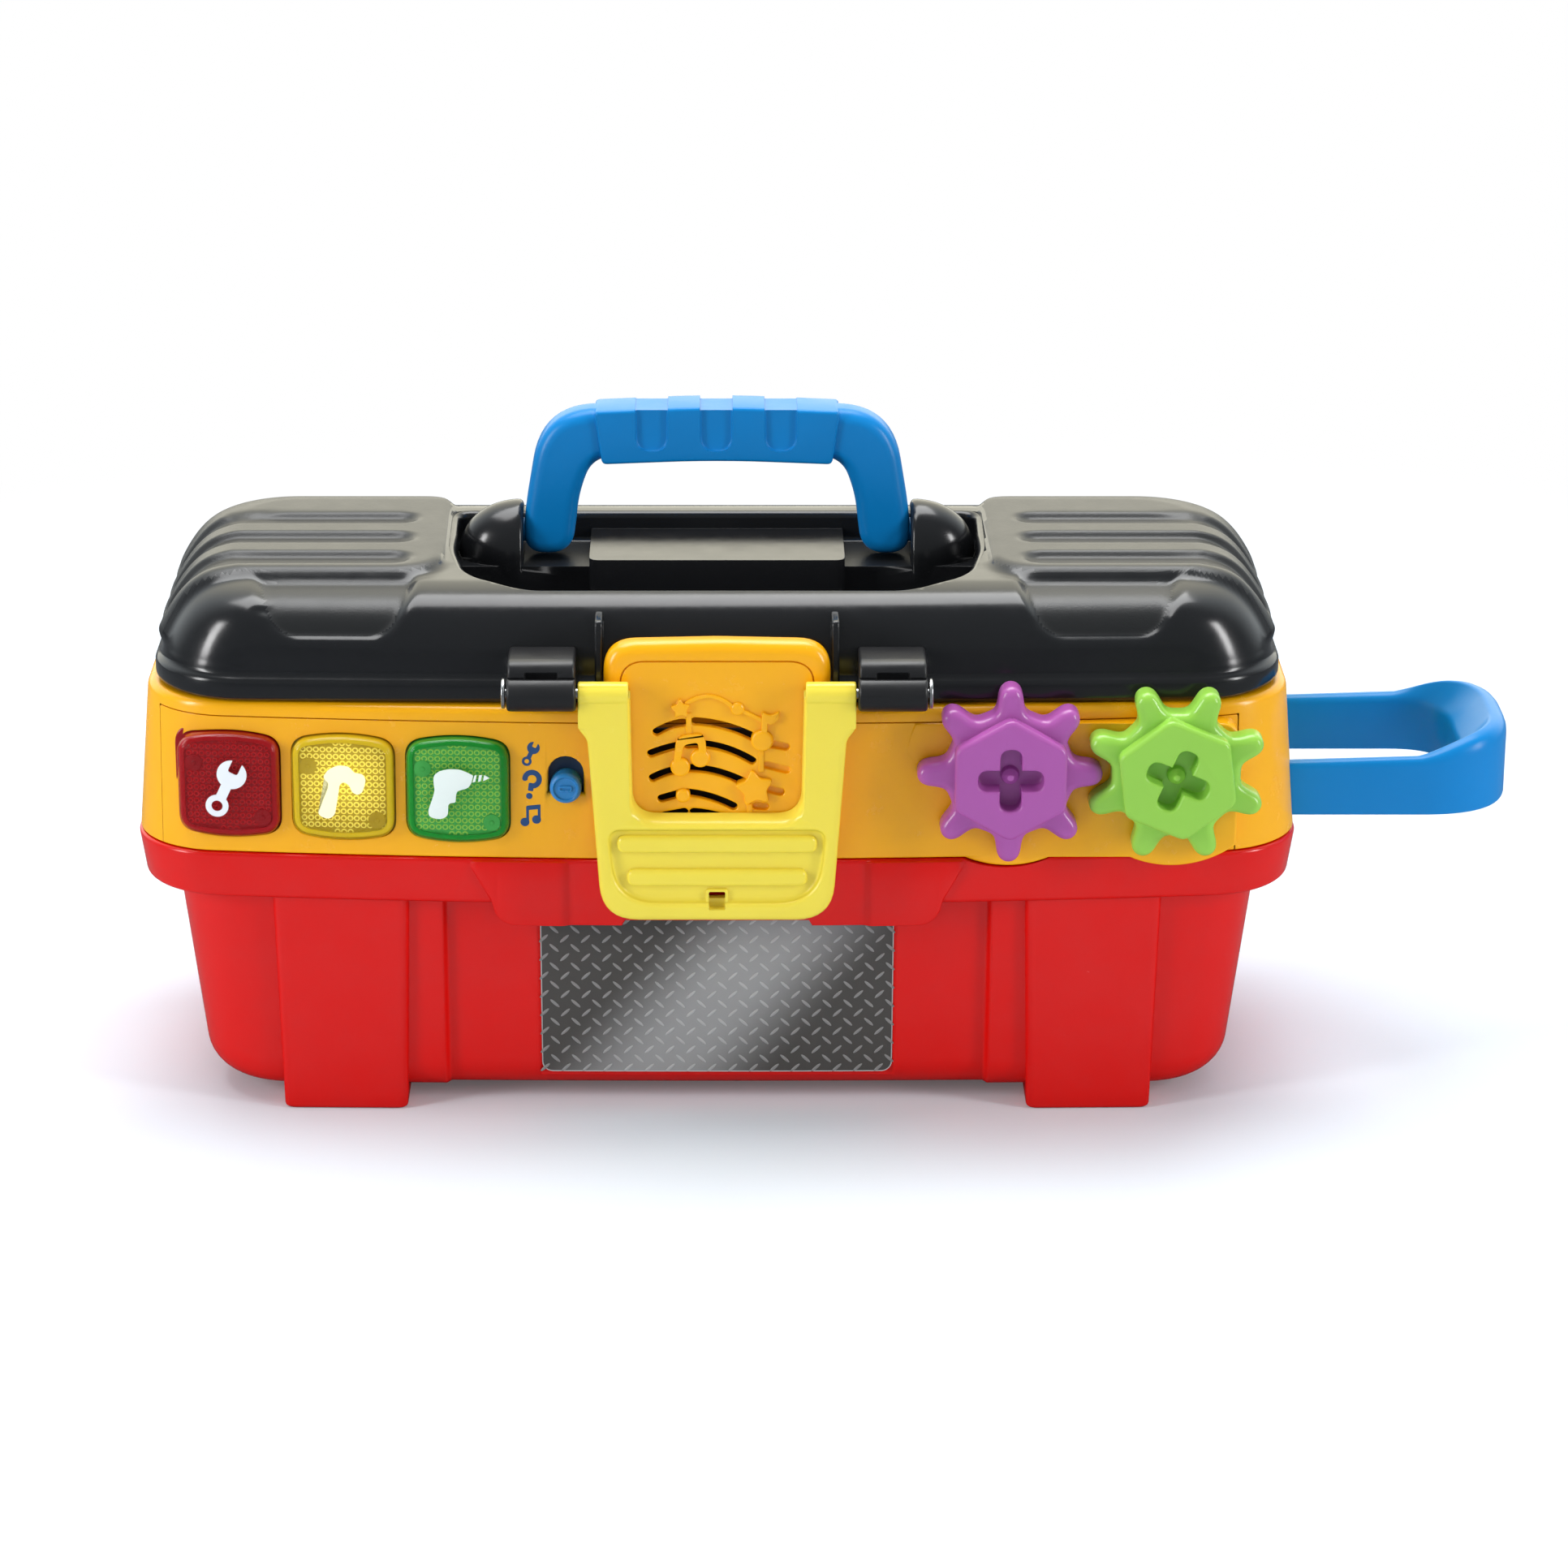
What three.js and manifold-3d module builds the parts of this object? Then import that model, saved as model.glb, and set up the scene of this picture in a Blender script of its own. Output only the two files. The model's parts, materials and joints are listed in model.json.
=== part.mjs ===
// Toy tool box: an open tub with an electronics band on its rim, a hinged lid with a
// folding carry handle, a front latch, three push buttons, a mode switch, two meshing
// gears and a tool holder loop. Millimetres, +Z up; the front faces -Y, the loop +X.
import * as THREE from 'three';
import { mergeVertices } from 'three/addons/utils/BufferGeometryUtils.js';
import Module from 'manifold-3d';

const wasm = await Module();
wasm.setup();

// Clearances
const SEAT_GAP = 0.3;
const RUNNING_GAP = 0.45;
const OVERRUN = 30;
const WELD = 0.4;

// Plan of the box at its rim
const RIM_HALF_WIDTH = 152.3;
const RIM_FRONT = 60.2;
const RIM_BACK = 58;
const RIM_CORNER = 21;
const FRONT_BOW = 8.6;
const BACK_BOW = 2;

// Tub
const TUB_FLOOR_Z = 3.8;
const TUB_FLOOR_THICKNESS = 2.8;
const TUB_WALL = 2.6;
const RIM_BOTTOM_Z = 60.1;
const RIM_TOP_Z = 72.5;
const RIM_DRAFT = 1.9;
const RIM_EDGE_ROUND = 1.4;
const TUB_SIDE_INSET = 9.8;
const TUB_FRONT_INSET = 3.4;
const TUB_BACK_INSET = 3.4;
const TUB_SIDE_DRAFT = 7.4;
const TUB_FRONT_DRAFT = 4.6;
const TUB_EDGE_ROUND = 9;
const TUB_BOTTOM_BOW = 2.2;
const SETBACK_HALF_WIDTH = 71;
const SETBACK_DEPTH = 2;
const LABEL_HALF_WIDTH = 48.2;
const LABEL_BOTTOM_Z = 7.4;
const LABEL_DEPTH = 0.8;
const LABEL_CORNER = 3.4;
const APRON_TOP_HALF_WIDTH = 61;
const APRON_BOTTOM_HALF_WIDTH = 52;
const APRON_BOTTOM_Z = 54;
const APRON_CORNER = 6;
const APRON_NOTCH_HALF_WIDTH = 24;
const APRON_NOTCH_HEIGHT = 1.5;
const COLUMN_X = 98;
const COLUMN_TOP_WIDTH = 36.4;
const COLUMN_FOOT_WIDTH = 32.6;
const COLUMN_PROUD = 2.2;
const FOOT_DEPTH = 22;

// Electronics band
const BAND_TOP_Z = 113.3;
const BAND_INSET = 0.5;
const BAND_SIDE_DRAFT = 3.2;
const BAND_FRONT_DRAFT = 1.4;
const BAND_TOP_ROUND = 2;
const BAND_FLOOR = 2.6;
const STORE_END_WALL = 16.3;
const STORE_FRONT = 33;
const STORE_BACK = 36.5;
const STORE_CORNER = 9;
const BAY_WALL = 2.8;
const COVER_LEFT_X = -144.4;
const COVER_RIGHT_X = 134.5;
const COVER_TOP_Z = 109.5;
const COVER_THICKNESS = 2.5;
const DISC_RADIUS = 27;
const DISC_PROUD = 1.1;

// Speaker panel
const PANEL_HALF_WIDTH = 29;
const PANEL_BOTTOM_Z = 75.5;
const PANEL_TOP_Z = 133.3;
const PANEL_CORNER = 6.2;
const PANEL_THICKNESS = 5;
const PANEL_EDGE_ROUND = 1.2;
const PANEL_FRAME = 4.2;
const PANEL_FIELD_DEPTH = 0.8;
const PANEL_FIELD_TOP_Z = 128.4;
const SLOT_WIDTH = 2.3;
const SLOT_PITCH = 6.4;
const SLOT_LENGTH = 27;
const SLOT_RISE = 3.4;
const SLOT_TOP_Z = 112;
const SLOT_SHIFT = -3.6;
const ORNAMENT_PROUD = 1;
const STAR_RADIUS = 3.4;
const STAR_POINTS = 5;
const STAR_INNER_SHARE = 0.52;
const SLOT_SPAN_SHARES = [
  [0, 0.22, 0.42], [0, 0.54, 0.86], [1, 0.06, 0.5], [1, 0.62, 0.97],
  [2, 0.02, 0.34], [2, 0.46, 0.94], [3, 0.08, 0.6], [3, 0.72, 0.9],
];
const STAR_PLACE_SHARES = [[-0.42, 0, 0.62], [0.44, 2, 1.1]];
const NOTE_PLACE_SHARES = [[-0.16, 1], [0.4, 0]];
const BALL_PLACE_SHARES = [[-0.08, 0], [-0.4, 3]];
const NOTE_RADIUS = 2.2;
const NOTE_STEM = 6.4;
const SPEAKER_Z = 92.4;
const SPEAKER_RADIUS = 16;
const SPEAKER_FLANGE = 1.6;
const SPEAKER_DEPTH = 6;
const MAGNET_RADIUS = 10;
const MAGNET_DEPTH = 6.5;
const CONE_MOUTH_RADIUS = 13.4;
const CONE_THICKNESS = 0.8;
const CONE_DEPTH = 4;
const CONE_CAP_RADIUS = 4.6;

// Push buttons and what is behind them
const BUTTON_WIDTH = 26.2;
const BUTTON_HEIGHT = 27.4;
const BUTTON_BULGE = 1.6;
const BUTTON_CORNER = 5.4;
const BUTTON_PROUD = 3.2;
const BUTTON_EDGE_ROUND = 1.3;
const BUTTON_FLANGE = 1.5;
const BUTTON_FLANGE_THICKNESS = 2.2;
const BUTTON_STEM_RADIUS = 2.6;
const BUTTON_TRAVEL = 2;
const BUTTON_Z = 93.2;
const FIRST_BUTTON_X = -126;
const BUTTON_PITCH = 29.65;
const BUTTONS = [
  { name: 'spanner_button', x: FIRST_BUTTON_X, color: 0xb5101a },
  { name: 'hammer_button', x: FIRST_BUTTON_X + BUTTON_PITCH, color: 0xf2d21c },
  { name: 'drill_button', x: FIRST_BUTTON_X + 2 * BUTTON_PITCH, color: 0x1fae3a },
];
const KEY_SIZE = 6;
const KEY_HEIGHT = 3.4;
const KEY_CAP_RADIUS = 1.7;
const KEY_CAP_HEIGHT = 0.9;
const LED_RADIUS = 2.2;
const LED_HEIGHT = 3.6;
const LED_OFFSET = 7.5;

// Circuit board
const BOARD_Y = -41;
const BOARD_THICKNESS = 1.6;
const BOARD_LEFT_X = -131;
const BOARD_RIGHT_X = -28;
const BOARD_BOTTOM_Z = 79;
const BOARD_TOP_Z = 106;
const POST_RADIUS = 2.6;
const POST_INSET = 5;
const CHIP_WIDTH = 9;
const CHIP_HEIGHT = 1.4;
const CHIP_X = -50;

// Mode switch
const SWITCH_X = -38.9;
const SWITCH_Z = 92.6;
const SWITCH_SLOT_WIDTH = 9.2;
const SWITCH_SLOT_HEIGHT = 15.6;
const SWITCH_TRAVEL = 2.6;
const SWITCH_KNOB_WIDTH = 7.4;
const SWITCH_KNOB_HEIGHT = 9.2;
const SWITCH_KNOB_PROUD = 2.4;
const SWITCH_KNOB_ROUND = 1.1;
const SWITCH_BODY_WIDTH = 9;
const SWITCH_BODY_HEIGHT = 19;
const SWITCH_BODY_DEPTH = 4;
const SWITCH_LEVER_WIDTH = 3;

// Gears
const GEAR_Z = 97.3;
const GEAR_X = 75;
const GEAR_SPACING = 42.6;
const GEAR_TEETH = 8;
const GEAR_TIP_RADIUS = 23.3;
const GEAR_ROOT_RADIUS = 17.4;
const GEAR_TOOTH_WIDTH = 6.8;
const GEAR_ROOT_FILLET = 2.6;
const GEAR_THICKNESS = 6.2;
const GEAR_EDGE_ROUND = 1.9;
const GEAR_HEX_RADIUS = 16.3;
const GEAR_HEX_PROUD = 3.4;
const GEAR_HEX_BEVEL = 1.5;
const HEX_CORNER_SHARE = 0.08;
const GEAR_CROSS_SPAN = 16.8;
const GEAR_CROSS_WIDTH = 5.6;
const GEAR_CROSS_DEPTH = 3.6;
const GEAR_CONE_RADIUS = 1.9;
const GEAR_CONE_HEIGHT = 2.3;
const GEAR_AXLE_RADIUS = 4;
const GEAR_SUPPORT_RADIUS = 7.4;
const GEAR_SUPPORT_LENGTH = 8.8;
const GEAR_SCREW_RADIUS = 3.4;
const GEAR_SCREW_HEAD = 1.8;
const GEAR_SCREW_SHANK = 1.3;
const GEAR_SCREW_LENGTH = 3.4;
const GEAR_WASHER_RADIUS = 6.4;
const GEAR_WASHER_THICKNESS = 1.1;

// Tool holder loop
const LOOP_END_X = 210;
const LOOP_ROOT_X = 139.8;
const LOOP_NEAR_Y = -33.6;
const LOOP_FAR_Y = 24.4;
const LOOP_BOTTOM_Z = 75.3;
const LOOP_ROOT_HEIGHT = 14.4;
const LOOP_BEND_HEIGHT = 15.6;
const LOOP_END_HEIGHT = 20;
const LOOP_ARM = 5;
const LOOP_END_WALL = 7;
const LOOP_OUTER_CORNER = 15;
const LOOP_INNER_CORNER = 9;
const LOOP_FLARE_X = 190;

// Battery bay in the back of the band
const CELL_RADIUS = 7.2;
const CELL_LENGTH = 49.5;
const CELL_TIP_RADIUS = 2.7;
const CELL_TIP_LENGTH = 1;
const CELL_PITCH = 15.2;
const CELL_CLEARANCE = 0.3;
const BATTERY_BAY_END = 1.8;
const BATTERY_BAY_SLACK = 0.7;
const BATTERY_BAY_Z = 92.4;
const CONTACT_THICKNESS = 0.6;
const DOOR_THICKNESS = 2.2;
const DOOR_LAP = 2.4;
const DOOR_END_LAP = 10;
const DOOR_SCREW_RADIUS = 2.9;
const DOOR_SCREW_HEAD = 1.2;
const DOOR_SCREW_SHANK = 1.4;
const DOOR_SCREW_LENGTH = 7;

// Lid
const LID_HALF_WIDTH = 146.5;
const LID_FRONT = 56;
const LID_BACK = 56;
const LID_CORNER = 24;
const LID_BOW = 3.2;
const LID_BOTTOM_Z = 113.6;
const LID_RIM_HEIGHT = 7.6;
const LID_RIM_ROUND = 2;
const LID_STEP = 1.7;
const LID_TOP_Z = 141.2;
const LID_FRONT_RUN = 17;
const LID_BACK_RUN = 24;
const LID_SIDE_RUN = 18;
const LID_TOP_CORNER = 16;
const LID_WALL = 2.4;
const LID_PROFILE_SHARES = [
  [0, 0], [0.03, 0.12], [0.14, 0.33], [0.28, 0.55], [0.44, 0.75], [0.6, 0.89], [0.78, 0.97], [1, 1],
];
const PAD_INNER_X = 71;
const PAD_FRONT_Y = -34;
const PAD_BACK_Y = 40;
const PAD_PROUD = 2.4;
const PAD_CORNER = 9;
const PAD_GROOVES = 3;
const PAD_GROOVE_PITCH = 17.8;
const PAD_GROOVE_WIDTH = 11;
const PAD_GROOVE_DEPTH = 1.4;
const PAD_GROOVE_INNER_X = 79.5;
const PAD_GROOVE_FRONT_Y = -23.4;
const SCOOP_X = 96;
const SCOOP_TOP_HALF_WIDTH = 20.4;
const SCOOP_BOTTOM_HALF_WIDTH = 13.6;
const SCOOP_BACK_Y = -36;
const SCOOP_BOTTOM_Z = 129.6;
const SCOOP_DEPTH = 1.5;

// Handle well and the domes that carry the handle
const WELL_HALF_WIDTH = 62.5;
const WELL_BACK_Y = 25;
const WELL_STEP_Y = 2;
const WELL_FRONT_Y = -40.5;
const WELL_CHAMFER = 9;
const WELL_STEP_Z = 133;
const WELL_FLOOR_Z = 125;
const WELL_CORNER = 5;
const DOME_RADIUS_X = 16.6;
const DOME_RADIUS_Y = 14.5;
const DOME_HEIGHT = 15.2;

// Carry handle
const HANDLE_Y = 13;
const HANDLE_PIVOT_DROP = 1.2;
const HANDLE_FOOT_HALF_WIDTH = 51.2;
const HANDLE_SHOULDER_HALF_WIDTH = 44.6;
const HANDLE_FOOT_INNER = 37.8;
const HANDLE_SHOULDER_INNER = 34.2;
const HANDLE_RISE = 35.2;
const HANDLE_BAR = 12.2;
const HANDLE_OUTER_CORNER = 11;
const HANDLE_INNER_CORNER = 6;
const HANDLE_DEPTH = 11.4;
const HANDLE_EDGE_ROUND = 2.4;
const HANDLE_PIN_RADIUS = 3.2;
const HANDLE_PIN_LENGTH = 7;
const GRIP_TOP_HALF_WIDTH = 32.6;
const GRIP_BOTTOM_HALF_WIDTH = 30;
const GRIP_PROUD = 1.1;
const GRIP_EDGE_ROUND = 2.2;
const GRIP_NOTCHES = 3;
const GRIP_NOTCH_WIDTH = 7.6;
const GRIP_NOTCH_PITCH = 17.2;
const GRIP_NOTCH_DROP = 9.4;

// Latch with its two bearing brackets on the lid
const LATCH_THICKNESS = 5.2;
const LATCH_PIVOT_Z = 120.9;
const LATCH_BARREL_RADIUS = 3;
const LATCH_TOP_HALF_WIDTH = 35.3;
const LATCH_STEP_Z = 108.9;
const LATCH_STEP_TOP_Z = 111.5;
const LATCH_STEP_HALF_WIDTH = 33.2;
const LATCH_BOTTOM_HALF_WIDTH = 29.4;
const LATCH_BOTTOM_Z = 59.7;
const LATCH_CORNER = 9;
const LATCH_OPENING_HALF_WIDTH = 22.4;
const LATCH_OPENING_FOOT_HALF_WIDTH = 21;
const LATCH_OPENING_BOTTOM_Z = 87.8;
const LATCH_OPENING_CORNER = 5;
const LATCH_EDGE_ROUND = 1.2;
const LATCH_FIELD_INSET = 4.6;
const LATCH_FIELD_DEPTH = 1.4;
const LATCH_FIELD_TOP_Z = 84;
const LATCH_RIB_HEIGHT = 4.2;
const LATCH_RIB_Z = 79.6;
const LATCH_RIB_PITCH = 8.8;
const LATCH_HOLE_WIDTH = 4.2;
const LATCH_HOLE_HEIGHT = 2.4;
const LATCH_HOLE_Z = 66.4;
const PIN_RADIUS = 1.3;
const PIN_HEAD_RADIUS = 3.9;
const PIN_HEAD_THICKNESS = 1;
const BRACKET_INNER_X = 35.8;
const BRACKET_OUTER_X = 53.4;
const BRACKET_TOP_Z = 129.6;
const BRACKET_BOTTOM_Z = 115;
const BRACKET_BARREL_RADIUS = 4.6;
const BRACKET_FOOT = 1.2;
const BRACKET_SLOT_HALF_WIDTH = 4.4;
const BRACKET_SLOT_DEPTH = 1.2;
const BRACKET_SLOT_HEIGHT = 3;

// Lid hinge along the back
const HINGE_Y = 63.4;
const HINGE_Z = 113.6;
const HINGE_RADIUS = 4.2;
const HINGE_PIN_RADIUS = 1.6;
const HINGE_X = 82;
const HINGE_KNUCKLES = 3;
const HINGE_KNUCKLE = 12;
const HINGE_PIN_OVERHANG = 1.2;
const HINGE_LEAF = 2.6;

// Facets
const CORNER_STEPS = 4;
const FRONT_STEPS = 8;
const BACK_STEPS = 3;
const ROUND_STEPS = 2;
const CURVE_STEPS = 3;
const CIRCLE_STEPS = 18;
const SMALL_CIRCLE_STEPS = 10;

// Places worked out from the sizes above
const BAND_BOTTOM_Z = RIM_TOP_Z + SEAT_GAP;
const COVER_FACE_Y = -(RIM_FRONT - BAND_INSET);
const PANEL_BACK_Y = COVER_FACE_Y - SEAT_GAP;
const PANEL_FACE_Y = PANEL_BACK_Y - PANEL_THICKNESS;
const LATCH_BACK_Y = PANEL_FACE_Y - RUNNING_GAP;
const LATCH_FACE_Y = LATCH_BACK_Y - LATCH_THICKNESS;
const LATCH_PIVOT_Y = LATCH_BACK_Y - LATCH_BARREL_RADIUS;
const LID_SHOULDER_Z = LID_BOTTOM_Z + LID_RIM_HEIGHT;
const STORE_HALF_WIDTH = RIM_HALF_WIDTH - STORE_END_WALL;
const HANDLE_Z = LID_TOP_Z - HANDLE_PIVOT_DROP;
const HANDLE_TOP_Z = HANDLE_Z + HANDLE_RISE;

// Solid helpers
function toSolid(geometry) {
  const bare = geometry.clone();
  bare.deleteAttribute('normal');
  bare.deleteAttribute('uv');
  const merged = mergeVertices(bare);
  return new wasm.Manifold(new wasm.Mesh({
    numProp: 3,
    vertProperties: new Float32Array(merged.attributes.position.array),
    triVerts: new Uint32Array(merged.index.array),
  }));
}

function toGeometry(solid) {
  const mesh = solid.getMesh();
  const geometry = new THREE.BufferGeometry();
  geometry.setAttribute('position', new THREE.BufferAttribute(mesh.vertProperties, 3));
  geometry.setIndex(new THREE.BufferAttribute(mesh.triVerts, 1));
  geometry.computeVertexNormals();
  return geometry;
}

function join(first, ...others) {
  return others.reduce((sum, other) => sum.add(other), first);
}

function cut(first, ...tools) {
  return tools.reduce((rest, tool) => rest.subtract(tool), first);
}

// A box between two corners
function block([x0, x1], [y0, y1], [z0, z1]) {
  const box = new THREE.BoxGeometry(x1 - x0, y1 - y0, z1 - z0);
  box.translate((x0 + x1) / 2, (y0 + y1) / 2, (z0 + z1) / 2);
  return toSolid(box);
}

// A round bar along one axis, its centre line given by the other two coordinates
function rodX(radius, [x0, x1], y, z, steps = SMALL_CIRCLE_STEPS) {
  const rod = new THREE.CylinderGeometry(radius, radius, x1 - x0, steps);
  rod.rotateZ(-Math.PI / 2);
  rod.translate((x0 + x1) / 2, y, z);
  return toSolid(rod);
}

function rodY(radius, [y0, y1], x, z, steps = SMALL_CIRCLE_STEPS) {
  const rod = new THREE.CylinderGeometry(radius, radius, y1 - y0, steps);
  rod.translate(x, (y0 + y1) / 2, z);
  return toSolid(rod);
}

// A shape turned about the Y axis, from [radius, y] points that start and end on the axis
function turnedY(profile, x, y, z, steps = CIRCLE_STEPS) {
  const points = profile.map(([radius, along]) => new THREE.Vector2(radius, along));
  const turned = new THREE.LatheGeometry(points, steps);
  turned.translate(x, y, z);
  return toSolid(turned);
}

function extrusion(shape, length, round) {
  return new THREE.ExtrudeGeometry(shape, {
    depth: length - 2 * round,
    curveSegments: CURVE_STEPS,
    bevelEnabled: round > 0,
    bevelThickness: round,
    bevelSize: round,
    bevelOffset: -round,
    bevelSegments: ROUND_STEPS,
  }).translate(0, 0, round);
}

// A front view outline (x, z) given depth between two y values
function frontal(shape, [yFront, yBack], round = 0) {
  const body = extrusion(shape, yBack - yFront, round);
  body.rotateX(Math.PI / 2);
  body.translate(0, yBack, 0);
  return toSolid(body);
}

// A plan outline (x, y) given height between two z values
function upright(shape, [zBottom, zTop], round = 0) {
  const body = extrusion(shape, zTop - zBottom, round);
  body.translate(0, 0, zBottom);
  return toSolid(body);
}

// An outline of straight runs with round corners, each corner given as [x, y, radius]
function softOutline(corners) {
  const shape = new THREE.Shape();
  corners.forEach(([x, y, radius], i) => {
    const here = new THREE.Vector2(x, y);
    const last = corners[(i + corners.length - 1) % corners.length];
    const next = corners[(i + 1) % corners.length];
    const toLast = new THREE.Vector2(last[0], last[1]).sub(here).setLength(radius);
    const toNext = new THREE.Vector2(next[0], next[1]).sub(here).setLength(radius);
    const start = here.clone().add(toLast);
    const end = here.clone().add(toNext);
    if (i === 0) {
      shape.moveTo(start.x, start.y);
    } else {
      shape.lineTo(start.x, start.y);
    }
    if (radius > 0) {
      shape.quadraticCurveTo(x, y, end.x, end.y);
    }
  });
  shape.closePath();
  return shape;
}

function softBox([x0, x1], [y0, y1], radius) {
  return softOutline([[x0, y0, radius], [x1, y0, radius], [x1, y1, radius], [x0, y1, radius]]);
}

// One ring of the bowed plan with round corners, counterclockwise seen from above
function planRing({ halfWidth, front, back, corner, frontBow, backBow }, z) {
  const flat = [];
  const arc = (x, y, start) => {
    for (let i = 0; i <= CORNER_STEPS; i += 1) {
      const angle = start + (i / CORNER_STEPS) * (Math.PI / 2);
      flat.push([x + corner * Math.cos(angle), y + corner * Math.sin(angle)]);
    }
  };
  const run = (from, to, y, steps) => {
    for (let i = 1; i < steps; i += 1) {
      flat.push([from + ((to - from) * i) / steps, y]);
    }
  };
  const side = halfWidth - corner;
  const frontEdge = front - frontBow;
  const backEdge = back - backBow;
  arc(side, corner - frontEdge, -Math.PI / 2);
  arc(side, backEdge - corner, 0);
  run(side, -side, backEdge, BACK_STEPS);
  arc(-side, backEdge - corner, Math.PI / 2);
  arc(-side, corner - frontEdge, Math.PI);
  run(-side, side, -frontEdge, FRONT_STEPS);
  return flat.map(([x, y]) => {
    const bow = 1 - (x / halfWidth) ** 2;
    return new THREE.Vector3(x, y < 0 ? y - frontBow * bow : y + backBow * bow, z);
  });
}

// A closed body through rings of equal count, each above the last
function loft(rings) {
  const count = rings[0].length;
  const points = rings.flat();
  const centre = (ring) => ring.reduce((sum, p) => sum.add(p), new THREE.Vector3()).divideScalar(count);
  const bottom = points.push(centre(rings[0])) - 1;
  const top = points.push(centre(rings[rings.length - 1])) - 1;
  const index = [];
  for (let i = 0; i < count; i += 1) {
    const j = (i + 1) % count;
    for (let level = 0; level < rings.length - 1; level += 1) {
      const low = level * count;
      const high = low + count;
      index.push(low + i, low + j, high + j, low + i, high + j, high + i);
    }
    const last = (rings.length - 1) * count;
    index.push(bottom, j, i, top, last + i, last + j);
  }
  const geometry = new THREE.BufferGeometry().setFromPoints(points);
  geometry.setIndex(index);
  return toSolid(geometry);
}

// Plans of the stacked shells at a height; grow moves every wall outwards
function tubPlan(z, grow = 0, frontGrow = grow) {
  const drop = Math.max(0, (RIM_BOTTOM_Z - z) / (RIM_BOTTOM_Z - TUB_FLOOR_Z));
  return {
    halfWidth: RIM_HALF_WIDTH - TUB_SIDE_INSET - TUB_SIDE_DRAFT * drop + grow,
    front: RIM_FRONT - TUB_FRONT_INSET - TUB_FRONT_DRAFT * drop + frontGrow,
    back: RIM_BACK - TUB_BACK_INSET - TUB_FRONT_DRAFT * drop + grow,
    corner: RIM_CORNER + grow,
    frontBow: FRONT_BOW + (TUB_BOTTOM_BOW - FRONT_BOW) * drop,
    backBow: BACK_BOW,
  };
}

function rimPlan(z, grow = 0) {
  const draft = (RIM_DRAFT * (RIM_TOP_Z - z)) / (RIM_TOP_Z - RIM_BOTTOM_Z);
  return {
    halfWidth: RIM_HALF_WIDTH - draft + grow,
    front: RIM_FRONT + grow,
    back: RIM_BACK + grow,
    corner: RIM_CORNER + grow,
    frontBow: FRONT_BOW,
    backBow: BACK_BOW,
  };
}

function bandPlan(z, grow = 0) {
  const rise = (z - BAND_BOTTOM_Z) / (BAND_TOP_Z - BAND_BOTTOM_Z);
  return {
    halfWidth: RIM_HALF_WIDTH - BAND_INSET - BAND_SIDE_DRAFT * rise + grow,
    front: RIM_FRONT - BAND_INSET - BAND_FRONT_DRAFT * rise + grow,
    back: RIM_BACK - BAND_INSET - BAND_FRONT_DRAFT * rise + grow,
    corner: RIM_CORNER + grow,
    frontBow: FRONT_BOW,
    backBow: BACK_BOW,
  };
}

// Shells of one plan between two heights, with a round lower or upper edge
function tubBody(grow, frontGrow, zBottom, zTop, round) {
  const rings = [];
  for (let i = 0; i <= ROUND_STEPS; i += 1) {
    const angle = (i / ROUND_STEPS) * (Math.PI / 2);
    const inset = round * (1 - Math.sin(angle));
    const z = zBottom + round * (1 - Math.cos(angle));
    rings.push(planRing(tubPlan(z, grow - inset, frontGrow - inset), z));
  }
  rings.push(planRing(tubPlan(zTop, grow, frontGrow), zTop));
  return loft(rings);
}

function bandBody(grow, zBottom, zTop, round) {
  const rings = [planRing(bandPlan(zBottom, grow), zBottom)];
  for (let i = 0; i <= ROUND_STEPS; i += 1) {
    const angle = (i / ROUND_STEPS) * (Math.PI / 2);
    const z = zTop - round * (1 - Math.sin(angle));
    rings.push(planRing(bandPlan(z, grow - round * (1 - Math.cos(angle))), z));
  }
  return loft(rings);
}

const LOW = -OVERRUN;
const HIGH = LID_TOP_Z + OVERRUN;
const FAR_FRONT = -(RIM_FRONT + OVERRUN);
const FAR_BACK = RIM_BACK + OVERRUN;

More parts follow.
